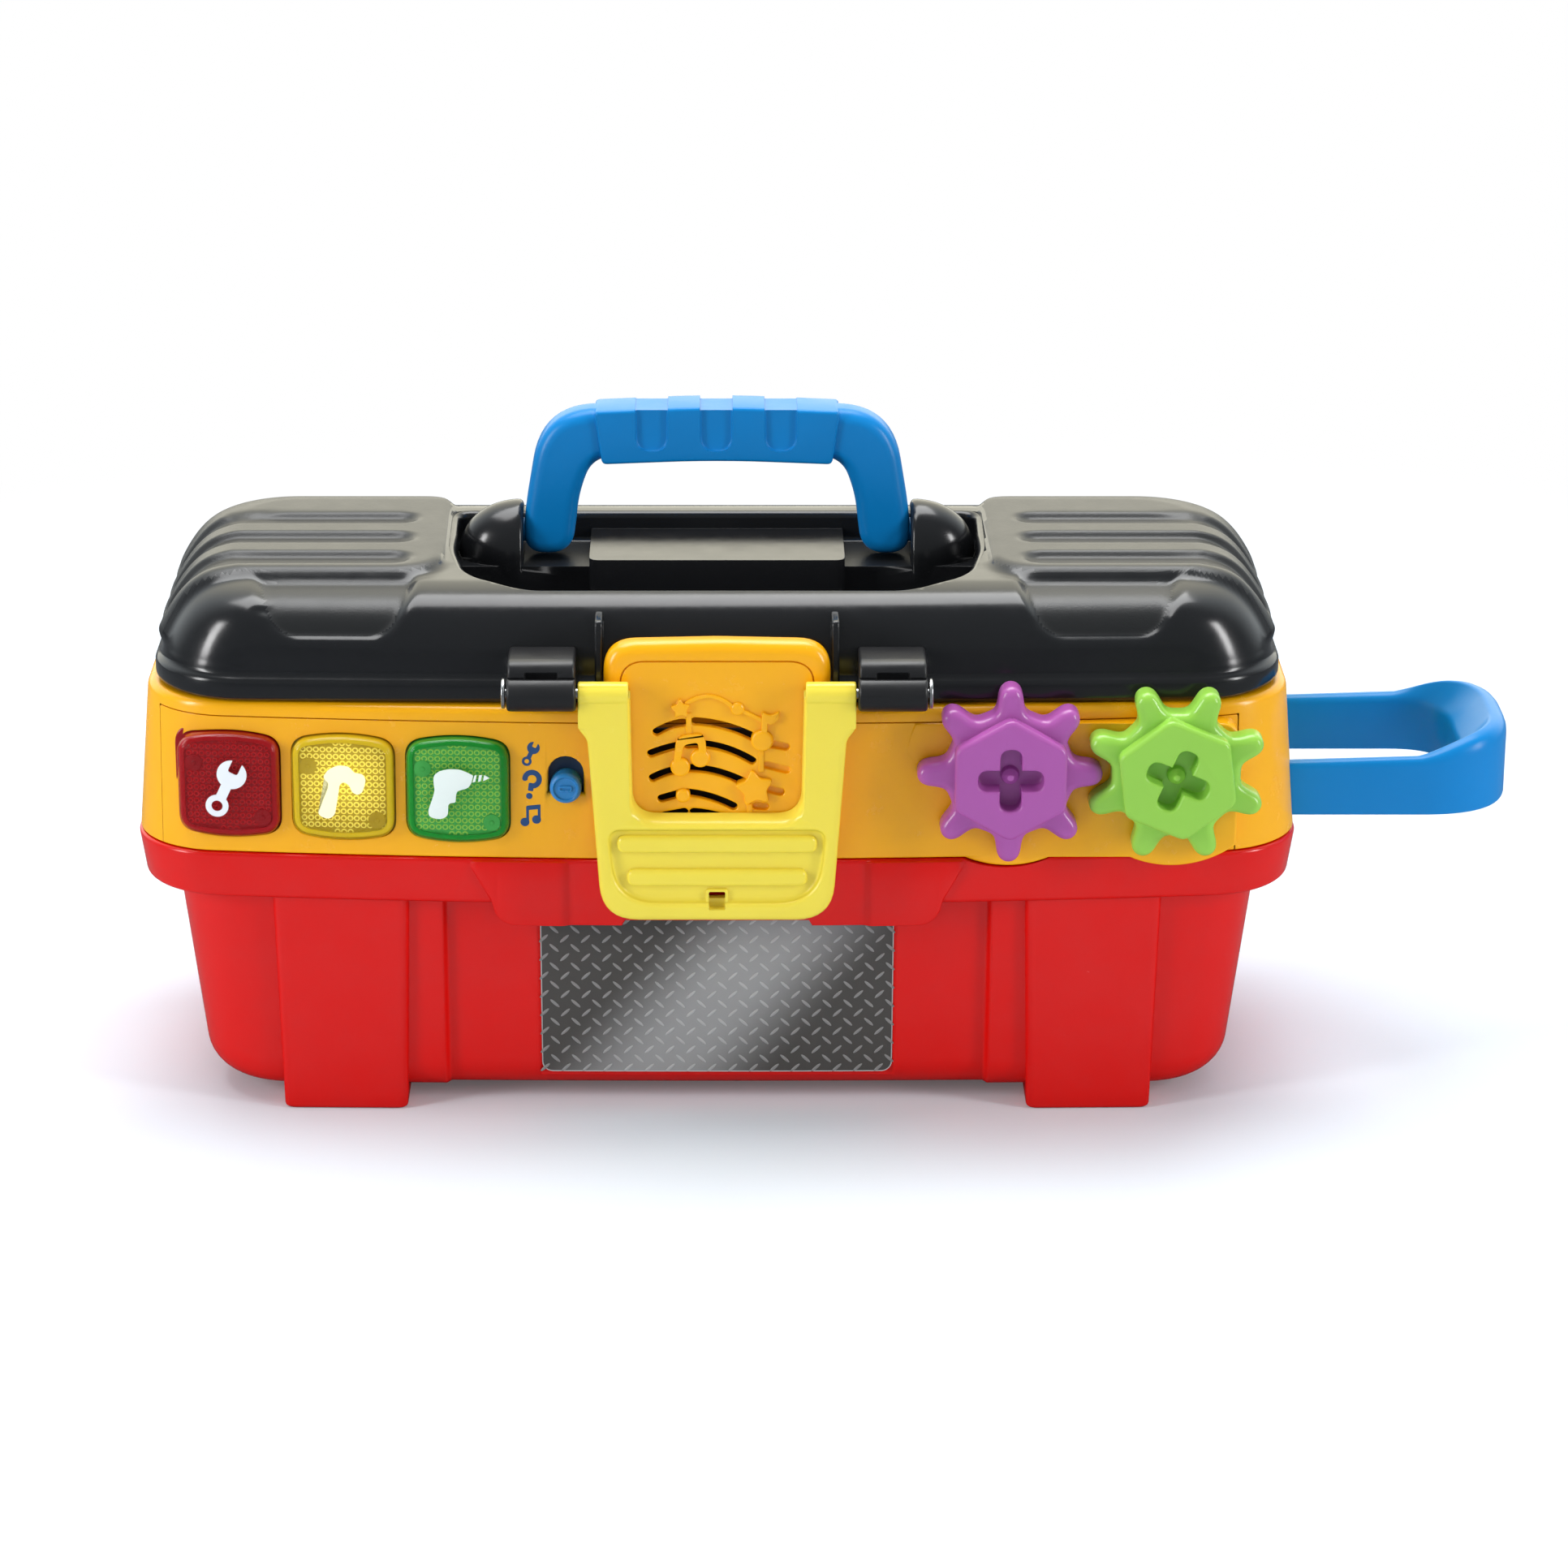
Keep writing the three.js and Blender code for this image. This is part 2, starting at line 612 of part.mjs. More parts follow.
// Tub
function makeTub() {
  const skin = tubBody(0, 0, TUB_FLOOR_Z, RIM_BOTTOM_Z + WELD, TUB_EDGE_ROUND);
  const setbackArea = frontal(
    softBox([-SETBACK_HALF_WIDTH, SETBACK_HALF_WIDTH], [LOW, RIM_BOTTOM_Z], 0),
    [FAR_FRONT, 0],
  );
  const setbackFloor = tubBody(0, -SETBACK_DEPTH, LOW, RIM_TOP_Z, TUB_WALL);
  const labelArea = frontal(
    softBox([-LABEL_HALF_WIDTH, LABEL_HALF_WIDTH], [LABEL_BOTTOM_Z, RIM_BOTTOM_Z], LABEL_CORNER),
    [FAR_FRONT, 0],
  );
  const labelFloor = tubBody(0, -SETBACK_DEPTH - LABEL_DEPTH, LOW, RIM_TOP_Z, TUB_WALL);
  const rim = loft([
    planRing(rimPlan(RIM_BOTTOM_Z, -RIM_EDGE_ROUND), RIM_BOTTOM_Z),
    planRing(rimPlan(RIM_BOTTOM_Z + RIM_EDGE_ROUND), RIM_BOTTOM_Z + RIM_EDGE_ROUND),
    planRing(rimPlan(RIM_TOP_Z), RIM_TOP_Z),
  ]);
  const apron = frontal(softOutline([
    [-APRON_BOTTOM_HALF_WIDTH, APRON_BOTTOM_Z, APRON_CORNER],
    [-APRON_NOTCH_HALF_WIDTH, APRON_BOTTOM_Z, 0],
    [-APRON_NOTCH_HALF_WIDTH, APRON_BOTTOM_Z + APRON_NOTCH_HEIGHT, 0],
    [APRON_NOTCH_HALF_WIDTH, APRON_BOTTOM_Z + APRON_NOTCH_HEIGHT, 0],
    [APRON_NOTCH_HALF_WIDTH, APRON_BOTTOM_Z, 0],
    [APRON_BOTTOM_HALF_WIDTH, APRON_BOTTOM_Z, APRON_CORNER],
    [APRON_TOP_HALF_WIDTH, RIM_BOTTOM_Z + RIM_EDGE_ROUND, 0],
    [-APRON_TOP_HALF_WIDTH, RIM_BOTTOM_Z + RIM_EDGE_ROUND, 0],
  ]), [FAR_FRONT, 0]);
  const apronFace = loft([
    planRing(rimPlan(RIM_TOP_Z), APRON_BOTTOM_Z - RIM_EDGE_ROUND),
    planRing(rimPlan(RIM_TOP_Z), RIM_TOP_Z - RIM_EDGE_ROUND),
  ]);
  const columnSkin = tubBody(COLUMN_PROUD, COLUMN_PROUD, 0, RIM_BOTTOM_Z + WELD, RIM_EDGE_ROUND);
  const columns = [-1, 1].flatMap((side) => {
    const outline = softOutline([
      [side * COLUMN_X - COLUMN_FOOT_WIDTH / 2, LOW, 0],
      [side * COLUMN_X + COLUMN_FOOT_WIDTH / 2, LOW, 0],
      [side * COLUMN_X + COLUMN_TOP_WIDTH / 2, RIM_TOP_Z, 0],
      [side * COLUMN_X - COLUMN_TOP_WIDTH / 2, RIM_TOP_Z, 0],
    ]);
    const footFront = tubPlan(0).front;
    const footBack = tubPlan(0).back;
    return [
      frontal(outline, [FAR_FRONT, FOOT_DEPTH - footFront]).intersect(columnSkin),
      frontal(outline, [footBack - FOOT_DEPTH, FAR_BACK]).intersect(columnSkin),
    ];
  });
  const inside = tubBody(
    -TUB_WALL,
    -TUB_WALL - SETBACK_DEPTH - LABEL_DEPTH,
    TUB_FLOOR_Z + TUB_FLOOR_THICKNESS,
    HIGH,
    TUB_EDGE_ROUND - TUB_WALL,
  );
  const rimInside = loft([
    planRing(rimPlan(RIM_TOP_Z, -TUB_WALL - RIM_DRAFT), RIM_BOTTOM_Z + TUB_WALL),
    planRing(rimPlan(RIM_TOP_Z, -TUB_WALL), RIM_TOP_Z + OVERRUN),
  ]);
  const reliefSpace = block([0, COVER_RIGHT_X], [FAR_FRONT, 0], [LOW, HIGH]);
  const discReliefs = gearCentres.map(([x, z]) => (
    rodY(DISC_RADIUS + SEAT_GAP, [FAR_FRONT, -STORE_FRONT], x, z, 2 * CIRCLE_STEPS).intersect(reliefSpace)
  ));
  const walls = cut(skin, cut(setbackArea, setbackFloor), cut(labelArea, labelFloor));
  const outside = join(walls, rim, apron.intersect(apronFace), ...columns);
  return cut(outside, inside, rimInside, ...discReliefs);
}

// Height and place of things on the bowed front of the band
function bandFrontY(x, z, grow = 0) {
  const { front, frontBow, halfWidth } = bandPlan(z, grow);
  return frontBow * (x / halfWidth) ** 2 - front;
}

// A frame on the band's front: x along the face, y into the box, z up
function onBandFront(x, z) {
  const { frontBow, halfWidth } = bandPlan(z);
  const slope = (2 * frontBow * x) / halfWidth ** 2;
  const matrix = new THREE.Matrix4().makeRotationZ(Math.atan(slope));
  return matrix.setPosition(x, bandFrontY(x, z), z);
}

const gearCentres = [[GEAR_X, GEAR_Z], [GEAR_X + GEAR_SPACING, GEAR_Z]];
const GEAR_BASE_Y = bandFrontY(GEAR_X, GEAR_Z) - DISC_PROUD;
const GEAR_SUPPORT_Y = GEAR_BASE_Y + GEAR_SUPPORT_LENGTH;

// Push button outline: a square with soft corners whose upper and lower sides bulge
function buttonOutline(grow) {
  const x = BUTTON_WIDTH / 2 + grow;
  const z = BUTTON_HEIGHT / 2 + grow;
  const corner = BUTTON_CORNER + grow;
  const shape = new THREE.Shape();
  const flank = z - BUTTON_BULGE;
  shape.moveTo(-x, corner - flank);
  shape.quadraticCurveTo(-x, -flank, corner - x, -flank);
  shape.quadraticCurveTo(0, -z - BUTTON_BULGE, x - corner, -flank);
  shape.quadraticCurveTo(x, -flank, x, corner - flank);
  shape.lineTo(x, flank - corner);
  shape.quadraticCurveTo(x, flank, x - corner, flank);
  shape.quadraticCurveTo(0, z + BUTTON_BULGE, corner - x, flank);
  shape.quadraticCurveTo(-x, flank, -x, flank - corner);
  shape.closePath();
  return shape;
}

function switchSlot(width, height) {
  return softBox([-width / 2, width / 2], [-height / 2, height / 2], width / 2);
}

// Band housing: the ring round the tool space, with the electronics bay in its front
const BAY_FRONT_Y = -(STORE_FRONT + BAY_WALL);
const BATTERY_HALF_X = CELL_LENGTH / 2 + CELL_TIP_LENGTH + CONTACT_THICKNESS + BATTERY_BAY_END;
const BATTERY_HALF_Z = CELL_RADIUS + CELL_PITCH / 2 + BATTERY_BAY_SLACK;
const BATTERY_FRONT_Y = STORE_BACK + BAY_WALL;
const CELL_Y = BATTERY_FRONT_Y + CELL_CLEARANCE + CELL_RADIUS;
const DOOR_SCREW_X = BATTERY_HALF_X + DOOR_END_LAP / 2;

function doorArea(grow) {
  return block(
    [-BATTERY_HALF_X - DOOR_LAP - grow, BATTERY_HALF_X + DOOR_END_LAP + grow],
    [0, FAR_BACK],
    [BATTERY_BAY_Z - BATTERY_HALF_Z - DOOR_LAP - grow, BATTERY_BAY_Z + BATTERY_HALF_Z + DOOR_LAP + grow],
  );
}

function backY(z) {
  return bandPlan(z).back;
}

function loopPlan(grow) {
  return softOutline([
    [LOOP_ROOT_X - grow, LOOP_NEAR_Y - grow, 0],
    [LOOP_END_X + grow, LOOP_NEAR_Y - grow, LOOP_OUTER_CORNER],
    [LOOP_END_X + grow, LOOP_FAR_Y + grow, LOOP_OUTER_CORNER],
    [LOOP_ROOT_X - grow, LOOP_FAR_Y + grow, 0],
  ]);
}

function loopInside(grow) {
  return softOutline([
    [LOOP_ROOT_X - OVERRUN, LOOP_NEAR_Y + LOOP_ARM + grow, 0],
    [LOOP_END_X - LOOP_END_WALL - grow, LOOP_NEAR_Y + LOOP_ARM + grow, LOOP_INNER_CORNER],
    [LOOP_END_X - LOOP_END_WALL - grow, LOOP_FAR_Y - LOOP_ARM - grow, LOOP_INNER_CORNER],
    [LOOP_ROOT_X - OVERRUN, LOOP_FAR_Y - LOOP_ARM - grow, 0],
  ]);
}

function loopSide(grow) {
  const zTop = LOOP_BOTTOM_Z + grow;
  return softOutline([
    [LOOP_ROOT_X - OVERRUN, LOOP_BOTTOM_Z - grow, 0],
    [LOOP_END_X + OVERRUN, LOOP_BOTTOM_Z - grow, 0],
    [LOOP_END_X + OVERRUN, zTop + LOOP_END_HEIGHT, 0],
    [LOOP_END_X - LOOP_END_WALL, zTop + LOOP_END_HEIGHT, LOOP_END_WALL],
    [LOOP_FLARE_X, zTop + LOOP_BEND_HEIGHT, LOOP_END_WALL],
    [RIM_HALF_WIDTH, zTop + LOOP_ROOT_HEIGHT, 0],
    [LOOP_ROOT_X - OVERRUN, zTop + LOOP_ROOT_HEIGHT, 0],
  ]);
}

function loopBody(grow) {
  const heights = [LOOP_BOTTOM_Z - OVERRUN, LOOP_BOTTOM_Z + LOOP_END_HEIGHT + OVERRUN];
  const strap = cut(upright(loopPlan(grow), heights), upright(loopInside(grow), heights));
  return strap.intersect(frontal(loopSide(grow), [FAR_FRONT, FAR_BACK]));
}

function makeBandHousing() {
  const ring = bandBody(0, BAND_BOTTOM_Z, BAND_TOP_Z, BAND_TOP_ROUND);
  const store = upright(
    softBox([-STORE_HALF_WIDTH, STORE_HALF_WIDTH], [-STORE_FRONT, STORE_BACK], STORE_CORNER),
    [LOW, HIGH],
  );
  const bay = block(
    [COVER_LEFT_X + BAY_WALL, COVER_RIGHT_X - BAY_WALL],
    [FAR_FRONT, BAY_FRONT_Y],
    [BAND_BOTTOM_Z + BAND_FLOOR, COVER_TOP_Z],
  );
  const coverSeat = cut(
    block([COVER_LEFT_X, COVER_RIGHT_X], [FAR_FRONT, BAY_FRONT_Y], [LOW, COVER_TOP_Z]),
    bandBody(-COVER_THICKNESS - SEAT_GAP, LOW, HIGH, 0),
  );
  const batteryBay = block(
    [-BATTERY_HALF_X, BATTERY_HALF_X],
    [BATTERY_FRONT_Y, FAR_BACK],
    [BATTERY_BAY_Z - BATTERY_HALF_Z, BATTERY_BAY_Z + BATTERY_HALF_Z],
  );
  const doorSeat = cut(doorArea(SEAT_GAP), bandBody(-DOOR_THICKNESS - SEAT_GAP, LOW, HIGH, 0));
  const screwHole = rodY(
    DOOR_SCREW_SHANK + SEAT_GAP,
    [backY(BATTERY_BAY_Z) - DOOR_SCREW_HEAD - DOOR_SCREW_LENGTH - SEAT_GAP, FAR_BACK],
    DOOR_SCREW_X,
    BATTERY_BAY_Z,
  );
  const posts = boardPosts().map(([x, z]) => (
    rodY(POST_RADIUS, [BOARD_Y + BOARD_THICKNESS + SEAT_GAP, BAY_FRONT_Y + WELD], x, z)
  ));
  const knuckles = [-1, 1].flatMap((side) => [-1, 1].map((end) => {
    const middle = side * HINGE_X + end * (HINGE_KNUCKLE + RUNNING_GAP);
    const span = [middle - HINGE_KNUCKLE / 2, middle + HINGE_KNUCKLE / 2];
    const leafTop = BAND_TOP_Z - BAND_TOP_ROUND;
    const leafBack = RIM_BACK - COVER_THICKNESS - BACK_BOW;
    const leaf = block(span, [leafBack, HINGE_Y], [HINGE_Z - 2 * HINGE_RADIUS, leafTop]);
    return join(rodX(HINGE_RADIUS, span, HINGE_Y, HINGE_Z), leaf);
  }));
  const pinHoles = hingeBores();
  const body = cut(ring, store, bay, coverSeat, batteryBay, doorSeat, screwHole, loopBody(SEAT_GAP));
  return cut(join(body, ...posts, ...knuckles), ...pinHoles);
}

function boardPosts() {
  const xs = [BOARD_LEFT_X + POST_INSET, BOARD_RIGHT_X - POST_INSET];
  const zs = [BOARD_BOTTOM_Z + POST_INSET, BOARD_TOP_Z - POST_INSET];
  return xs.flatMap((x) => zs.map((z) => [x, z]));
}

function hingeSpan(side, overhang) {
  const half = HINGE_KNUCKLES / 2 * HINGE_KNUCKLE + RUNNING_GAP + overhang;
  return [side * HINGE_X - half, side * HINGE_X + half];
}

function hingeBores() {
  return [-1, 1].map((side) => (
    rodX(HINGE_PIN_RADIUS + SEAT_GAP, hingeSpan(side, OVERRUN / 4), HINGE_Y, HINGE_Z)
  ));
}

// Front cover: the skin over the electronics bay, with its openings and the gear seats
function makeFrontCover() {
  const left = COVER_LEFT_X + SEAT_GAP;
  const right = COVER_RIGHT_X - SEAT_GAP;
  const skin = cut(
    bandBody(0, BAND_BOTTOM_Z, BAND_TOP_Z, 0),
    bandBody(-COVER_THICKNESS, LOW, HIGH, 0),
  ).intersect(block([left, right], [FAR_FRONT, BAY_FRONT_Y], [LOW, COVER_TOP_Z - SEAT_GAP]));
  const discs = gearCentres.map(([x, z]) => (
    rodY(DISC_RADIUS, [GEAR_BASE_Y, BAY_FRONT_Y], x, z, 2 * CIRCLE_STEPS)
  ));
  const discSpace = block([0, right], [FAR_FRONT, 0], [LOW, COVER_TOP_Z - SEAT_GAP]);
  const discPads = cut(join(...discs).intersect(discSpace), bandBody(-COVER_THICKNESS, LOW, HIGH, 0));
  const supports = gearCentres.map(([x, z]) => (
    rodY(GEAR_SUPPORT_RADIUS, [GEAR_BASE_Y + WELD, GEAR_SUPPORT_Y], x, z, CIRCLE_STEPS)
  ));
  const bores = gearCentres.map(([x, z]) => (
    rodY(GEAR_AXLE_RADIUS + RUNNING_GAP, [FAR_FRONT, 0], x, z, CIRCLE_STEPS)
  ));
  const buttonHoles = BUTTONS.map(({ x }) => (
    frontal(buttonOutline(RUNNING_GAP), [-OVERRUN, OVERRUN]).transform(onBandFront(x, BUTTON_Z).elements)
  ));
  const switchHole = frontal(switchSlot(SWITCH_SLOT_WIDTH, SWITCH_SLOT_HEIGHT), [-OVERRUN, OVERRUN])
    .transform(onBandFront(SWITCH_X, SWITCH_Z).elements);
  const speakerHole = rodY(CONE_MOUTH_RADIUS, [FAR_FRONT, 0], 0, SPEAKER_Z, CIRCLE_STEPS);
  return cut(join(skin, discPads, ...supports), ...bores, ...buttonHoles, switchHole, speakerHole);
}

// Speaker panel: a raised plate with a framed field, curved sound slots and ornaments
function staffLine(level) {
  const top = SLOT_TOP_Z - level * SLOT_PITCH;
  return (x) => top - SLOT_RISE * ((2 * (x - SLOT_SHIFT)) / SLOT_LENGTH) ** 2;
}

function soundSlot(level, fromShare, toShare) {
  const line = staffLine(level);
  const upper = [];
  const lower = [];
  for (let i = 0; i <= CURVE_STEPS; i += 1) {
    const share = fromShare + ((toShare - fromShare) * i) / CURVE_STEPS;
    const x = SLOT_SHIFT + SLOT_LENGTH * (share - 1 / 2);
    upper.push(new THREE.Vector2(x, line(x) + SLOT_WIDTH / 2));
    lower.push(new THREE.Vector2(x, line(x) - SLOT_WIDTH / 2));
  }
  return frontal(new THREE.Shape([...lower, ...upper.reverse()]), [FAR_FRONT, 0]);
}

function star(x, z, radius) {
  const points = [];
  for (let i = 0; i < 2 * STAR_POINTS; i += 1) {
    const reach = i % 2 === 0 ? radius : radius * STAR_INNER_SHARE;
    const angle = Math.PI / 2 + (i * Math.PI) / STAR_POINTS;
    points.push(new THREE.Vector2(x + reach * Math.cos(angle), z + reach * Math.sin(angle)));
  }
  return new THREE.Shape(points);
}

function ornament(shape) {
  const ornamentFace = PANEL_FACE_Y + PANEL_FIELD_DEPTH - ORNAMENT_PROUD;
  return frontal(shape, [ornamentFace, PANEL_FACE_Y + PANEL_THICKNESS / 2]);
}

function ball(x, z) {
  return rodY(
    NOTE_RADIUS,
    [PANEL_FACE_Y + PANEL_FIELD_DEPTH - ORNAMENT_PROUD, PANEL_FACE_Y + PANEL_THICKNESS / 2],
    x,
    z,
  );
}

function note(x, z) {
  const stem = softBox([x + NOTE_RADIUS / 2, x + NOTE_RADIUS], [z, z + NOTE_STEM], 0);
  const flag = softOutline([
    [x + NOTE_RADIUS / 2, z + NOTE_STEM, 0],
    [x + NOTE_RADIUS / 2, z + NOTE_STEM - NOTE_RADIUS, 0],
    [x + 2 * NOTE_RADIUS, z + NOTE_STEM - 2 * NOTE_RADIUS, 0],
    [x + 2 * NOTE_RADIUS, z + NOTE_STEM - NOTE_RADIUS, 0],
  ]);
  return join(ball(x, z), ornament(stem), ornament(flag));
}

function makeSpeakerPanel() {
  const plate = frontal(
    softBox([-PANEL_HALF_WIDTH, PANEL_HALF_WIDTH], [PANEL_BOTTOM_Z, PANEL_TOP_Z], PANEL_CORNER),
    [PANEL_FACE_Y, PANEL_BACK_Y],
    PANEL_EDGE_ROUND,
  );
  const fieldHalf = PANEL_HALF_WIDTH - PANEL_FRAME;
  const field = frontal(
    softBox([-fieldHalf, fieldHalf], [PANEL_BOTTOM_Z + PANEL_FRAME, PANEL_FIELD_TOP_Z], PANEL_CORNER),
    [FAR_FRONT, PANEL_FACE_Y + PANEL_FIELD_DEPTH],
  );
  const slots = SLOT_SPAN_SHARES.map(([level, from, to]) => soundSlot(level, from, to));
  const stars = STAR_PLACE_SHARES.map(([x, level, size]) => {
    const place = x * PANEL_HALF_WIDTH;
    return ornament(star(place, staffLine(level)(place), size * STAR_RADIUS));
  });
  const notes = NOTE_PLACE_SHARES.map(([x, level]) => {
    const place = x * PANEL_HALF_WIDTH;
    return note(place, staffLine(level)(place));
  });
  const balls = BALL_PLACE_SHARES.map(([x, level]) => {
    const place = x * PANEL_HALF_WIDTH;
    return ball(place, staffLine(level)(place));
  });
  return join(cut(plate, field, ...slots), ...stars, ...notes, ...balls);
}

// Speaker behind the panel: basket with magnet, and the cone in its mouth
const SPEAKER_Y = bandFrontY(SPEAKER_RADIUS, SPEAKER_Z + SPEAKER_RADIUS, -COVER_THICKNESS) + SEAT_GAP;

function makeSpeakerBasket() {
  const wall = SPEAKER_FLANGE;
  const cup = SPEAKER_DEPTH;
  return turnedY([
    [0, cup + MAGNET_DEPTH],
    [MAGNET_RADIUS, cup + MAGNET_DEPTH],
    [MAGNET_RADIUS, cup],
    [CONE_MOUTH_RADIUS + wall, wall],
    [SPEAKER_RADIUS, wall],
    [SPEAKER_RADIUS, 0],
    [CONE_MOUTH_RADIUS, 0],
    [MAGNET_RADIUS - wall, cup - wall],
    [0, cup - wall],
  ].reverse(), 0, SPEAKER_Y, SPEAKER_Z);
}

function makeSpeakerCone() {
  const mouth = CONE_MOUTH_RADIUS - SEAT_GAP - CONE_THICKNESS;
  const face = -COVER_THICKNESS / 2;
  return turnedY([
    [0, CONE_DEPTH],
    [CONE_CAP_RADIUS, CONE_DEPTH],
    [mouth, face + CONE_THICKNESS],
    [mouth, face],
    [CONE_CAP_RADIUS, CONE_DEPTH - 2 * CONE_THICKNESS],
    [0, CONE_DEPTH - CONE_DEPTH / 2],
  ].reverse(), 0, SPEAKER_Y, SPEAKER_Z);
}

// Circuit board with its mounting holes left as plain seats on the posts
function makeBoard() {
  const board = frontal(
    softBox([BOARD_LEFT_X, BOARD_RIGHT_X], [BOARD_BOTTOM_Z, BOARD_TOP_Z], POST_RADIUS),
    [BOARD_Y, BOARD_Y + BOARD_THICKNESS],
  );
  const chip = block(
    [CHIP_X - CHIP_WIDTH / 2, CHIP_X + CHIP_WIDTH / 2],
    [BOARD_Y - CHIP_HEIGHT, BOARD_Y + WELD],
    [BUTTON_Z - CHIP_WIDTH / 2, BUTTON_Z + CHIP_WIDTH / 2],
  );
  return join(board, chip);
}

function makeKey(x) {
  const half = KEY_SIZE / 2;
  const front = BOARD_Y - SEAT_GAP - KEY_HEIGHT;
  const body = block([x - half, x + half], [front, BOARD_Y - SEAT_GAP], [BUTTON_Z - half, BUTTON_Z + half]);
  return join(body, rodY(KEY_CAP_RADIUS, [front - KEY_CAP_HEIGHT, front + WELD], x, BUTTON_Z));
}

function makeLed(x) {
  const tip = LED_RADIUS * Math.SQRT1_2;
  return turnedY([
    [0, -LED_HEIGHT],
    [tip, -LED_HEIGHT + LED_RADIUS - tip],
    [LED_RADIUS, -LED_HEIGHT + LED_RADIUS],
    [LED_RADIUS, 0],
    [0, 0],
  ], x, BOARD_Y - SEAT_GAP, BUTTON_Z + LED_OFFSET, SMALL_CIRCLE_STEPS);
}

// What lies behind the cover of a piece drawn in its own frame on the band's front
function behindCover(solid, x, z) {
  const place = onBandFront(x, z);
  const space = bandBody(-COVER_THICKNESS - SEAT_GAP, LOW, HIGH, 0);
  return solid.transform(place.elements).intersect(space).transform(place.clone().invert().elements);
}

// Lens button in its own frame: cap through the cover, flange behind it, stem to its key
function makeButton(x) {
  const flangeFront = COVER_THICKNESS + SEAT_GAP;
  const flangeBack = flangeFront + BUTTON_FLANGE_THICKNESS;
  const keyTip = BOARD_Y - SEAT_GAP - KEY_HEIGHT - KEY_CAP_HEIGHT;
  const stemEnd = keyTip - BUTTON_TRAVEL - SEAT_GAP - bandFrontY(x, BUTTON_Z);
  const cap = frontal(buttonOutline(0), [-BUTTON_PROUD, flangeBack], BUTTON_EDGE_ROUND);
  const flange = behindCover(frontal(buttonOutline(BUTTON_FLANGE), [0, flangeBack]), x, BUTTON_Z);
  const stem = rodY(BUTTON_STEM_RADIUS, [flangeFront, stemEnd], 0, 0);
  return join(cap, flange, stem);
}

// Mode switch: a knob on a slide plate behind its slot, and the switch on the board
function makeModeSwitch() {
  const plateFront = COVER_THICKNESS + SEAT_GAP;
  const plateBack = plateFront + BUTTON_FLANGE_THICKNESS;
  const reach = SWITCH_TRAVEL + BUTTON_FLANGE;
  const plate = behindCover(frontal(
    switchSlot(SWITCH_SLOT_WIDTH + 2 * reach, SWITCH_SLOT_HEIGHT + 2 * reach),
    [0, plateBack],
  ), SWITCH_X, SWITCH_Z);
  const knob = frontal(
    switchSlot(SWITCH_KNOB_WIDTH, SWITCH_KNOB_HEIGHT),
    [-SWITCH_KNOB_PROUD, plateBack],
    SWITCH_KNOB_ROUND,
  );
  const leverEnd = BOARD_Y - SEAT_GAP - SWITCH_BODY_DEPTH - SEAT_GAP - bandFrontY(SWITCH_X, SWITCH_Z);
  const half = SWITCH_LEVER_WIDTH / 2;
  const lever = block([-half, half], [plateFront, leverEnd], [-half, half]);
  return join(plate, knob, lever);
}

function makeSwitchBody() {
  return block(
    [SWITCH_X - SWITCH_BODY_WIDTH / 2, SWITCH_X + SWITCH_BODY_WIDTH / 2],
    [BOARD_Y - SEAT_GAP - SWITCH_BODY_DEPTH, BOARD_Y - SEAT_GAP],
    [SWITCH_Z - SWITCH_BODY_HEIGHT / 2, SWITCH_Z + SWITCH_BODY_HEIGHT / 2],
  );
}

// Toy gear in its own frame: round teeth, a raised hexagon with a cross recess, an axle
function gearOutline() {
  const shape = new THREE.Shape();
  const half = GEAR_TOOTH_WIDTH / 2;
  const pitch = (2 * Math.PI) / GEAR_TEETH;
  const tip = GEAR_TIP_RADIUS - half;
  const polar = (radius, angle) => [radius * Math.cos(angle), radius * Math.sin(angle)];
  for (let i = 0; i < GEAR_TEETH; i += 1) {
    const angle = i * pitch;
    const foot = Math.asin((half + GEAR_ROOT_FILLET / 2) / GEAR_ROOT_RADIUS);
    const flank = Math.hypot(half, GEAR_ROOT_RADIUS + GEAR_ROOT_FILLET / 2);
    const flankAngle = Math.asin(half / flank);
    const [tipX, tipZ] = polar(tip, angle);
    if (i === 0) {
      shape.moveTo(...polar(GEAR_ROOT_RADIUS, angle - foot));
    } else {
      shape.lineTo(...polar(GEAR_ROOT_RADIUS, angle - foot));
    }
    shape.lineTo(...polar(flank, angle - flankAngle));
    shape.absarc(tipX, tipZ, half, angle - Math.PI / 2, angle + Math.PI / 2, false);
    shape.lineTo(...polar(flank, angle + flankAngle));
    shape.lineTo(...polar(GEAR_ROOT_RADIUS, angle + foot));
    shape.lineTo(...polar(GEAR_ROOT_RADIUS, angle + pitch / 2));
  }
  shape.closePath();
  return shape;
}

function hexagon(radius) {
  const corners = [0, 1, 2, 3, 4, 5].map((i) => {
    const angle = Math.PI / 6 + (i * Math.PI) / 3;
    return [radius * Math.cos(angle), radius * Math.sin(angle), radius * HEX_CORNER_SHARE];
  });
  return softOutline(corners);
}

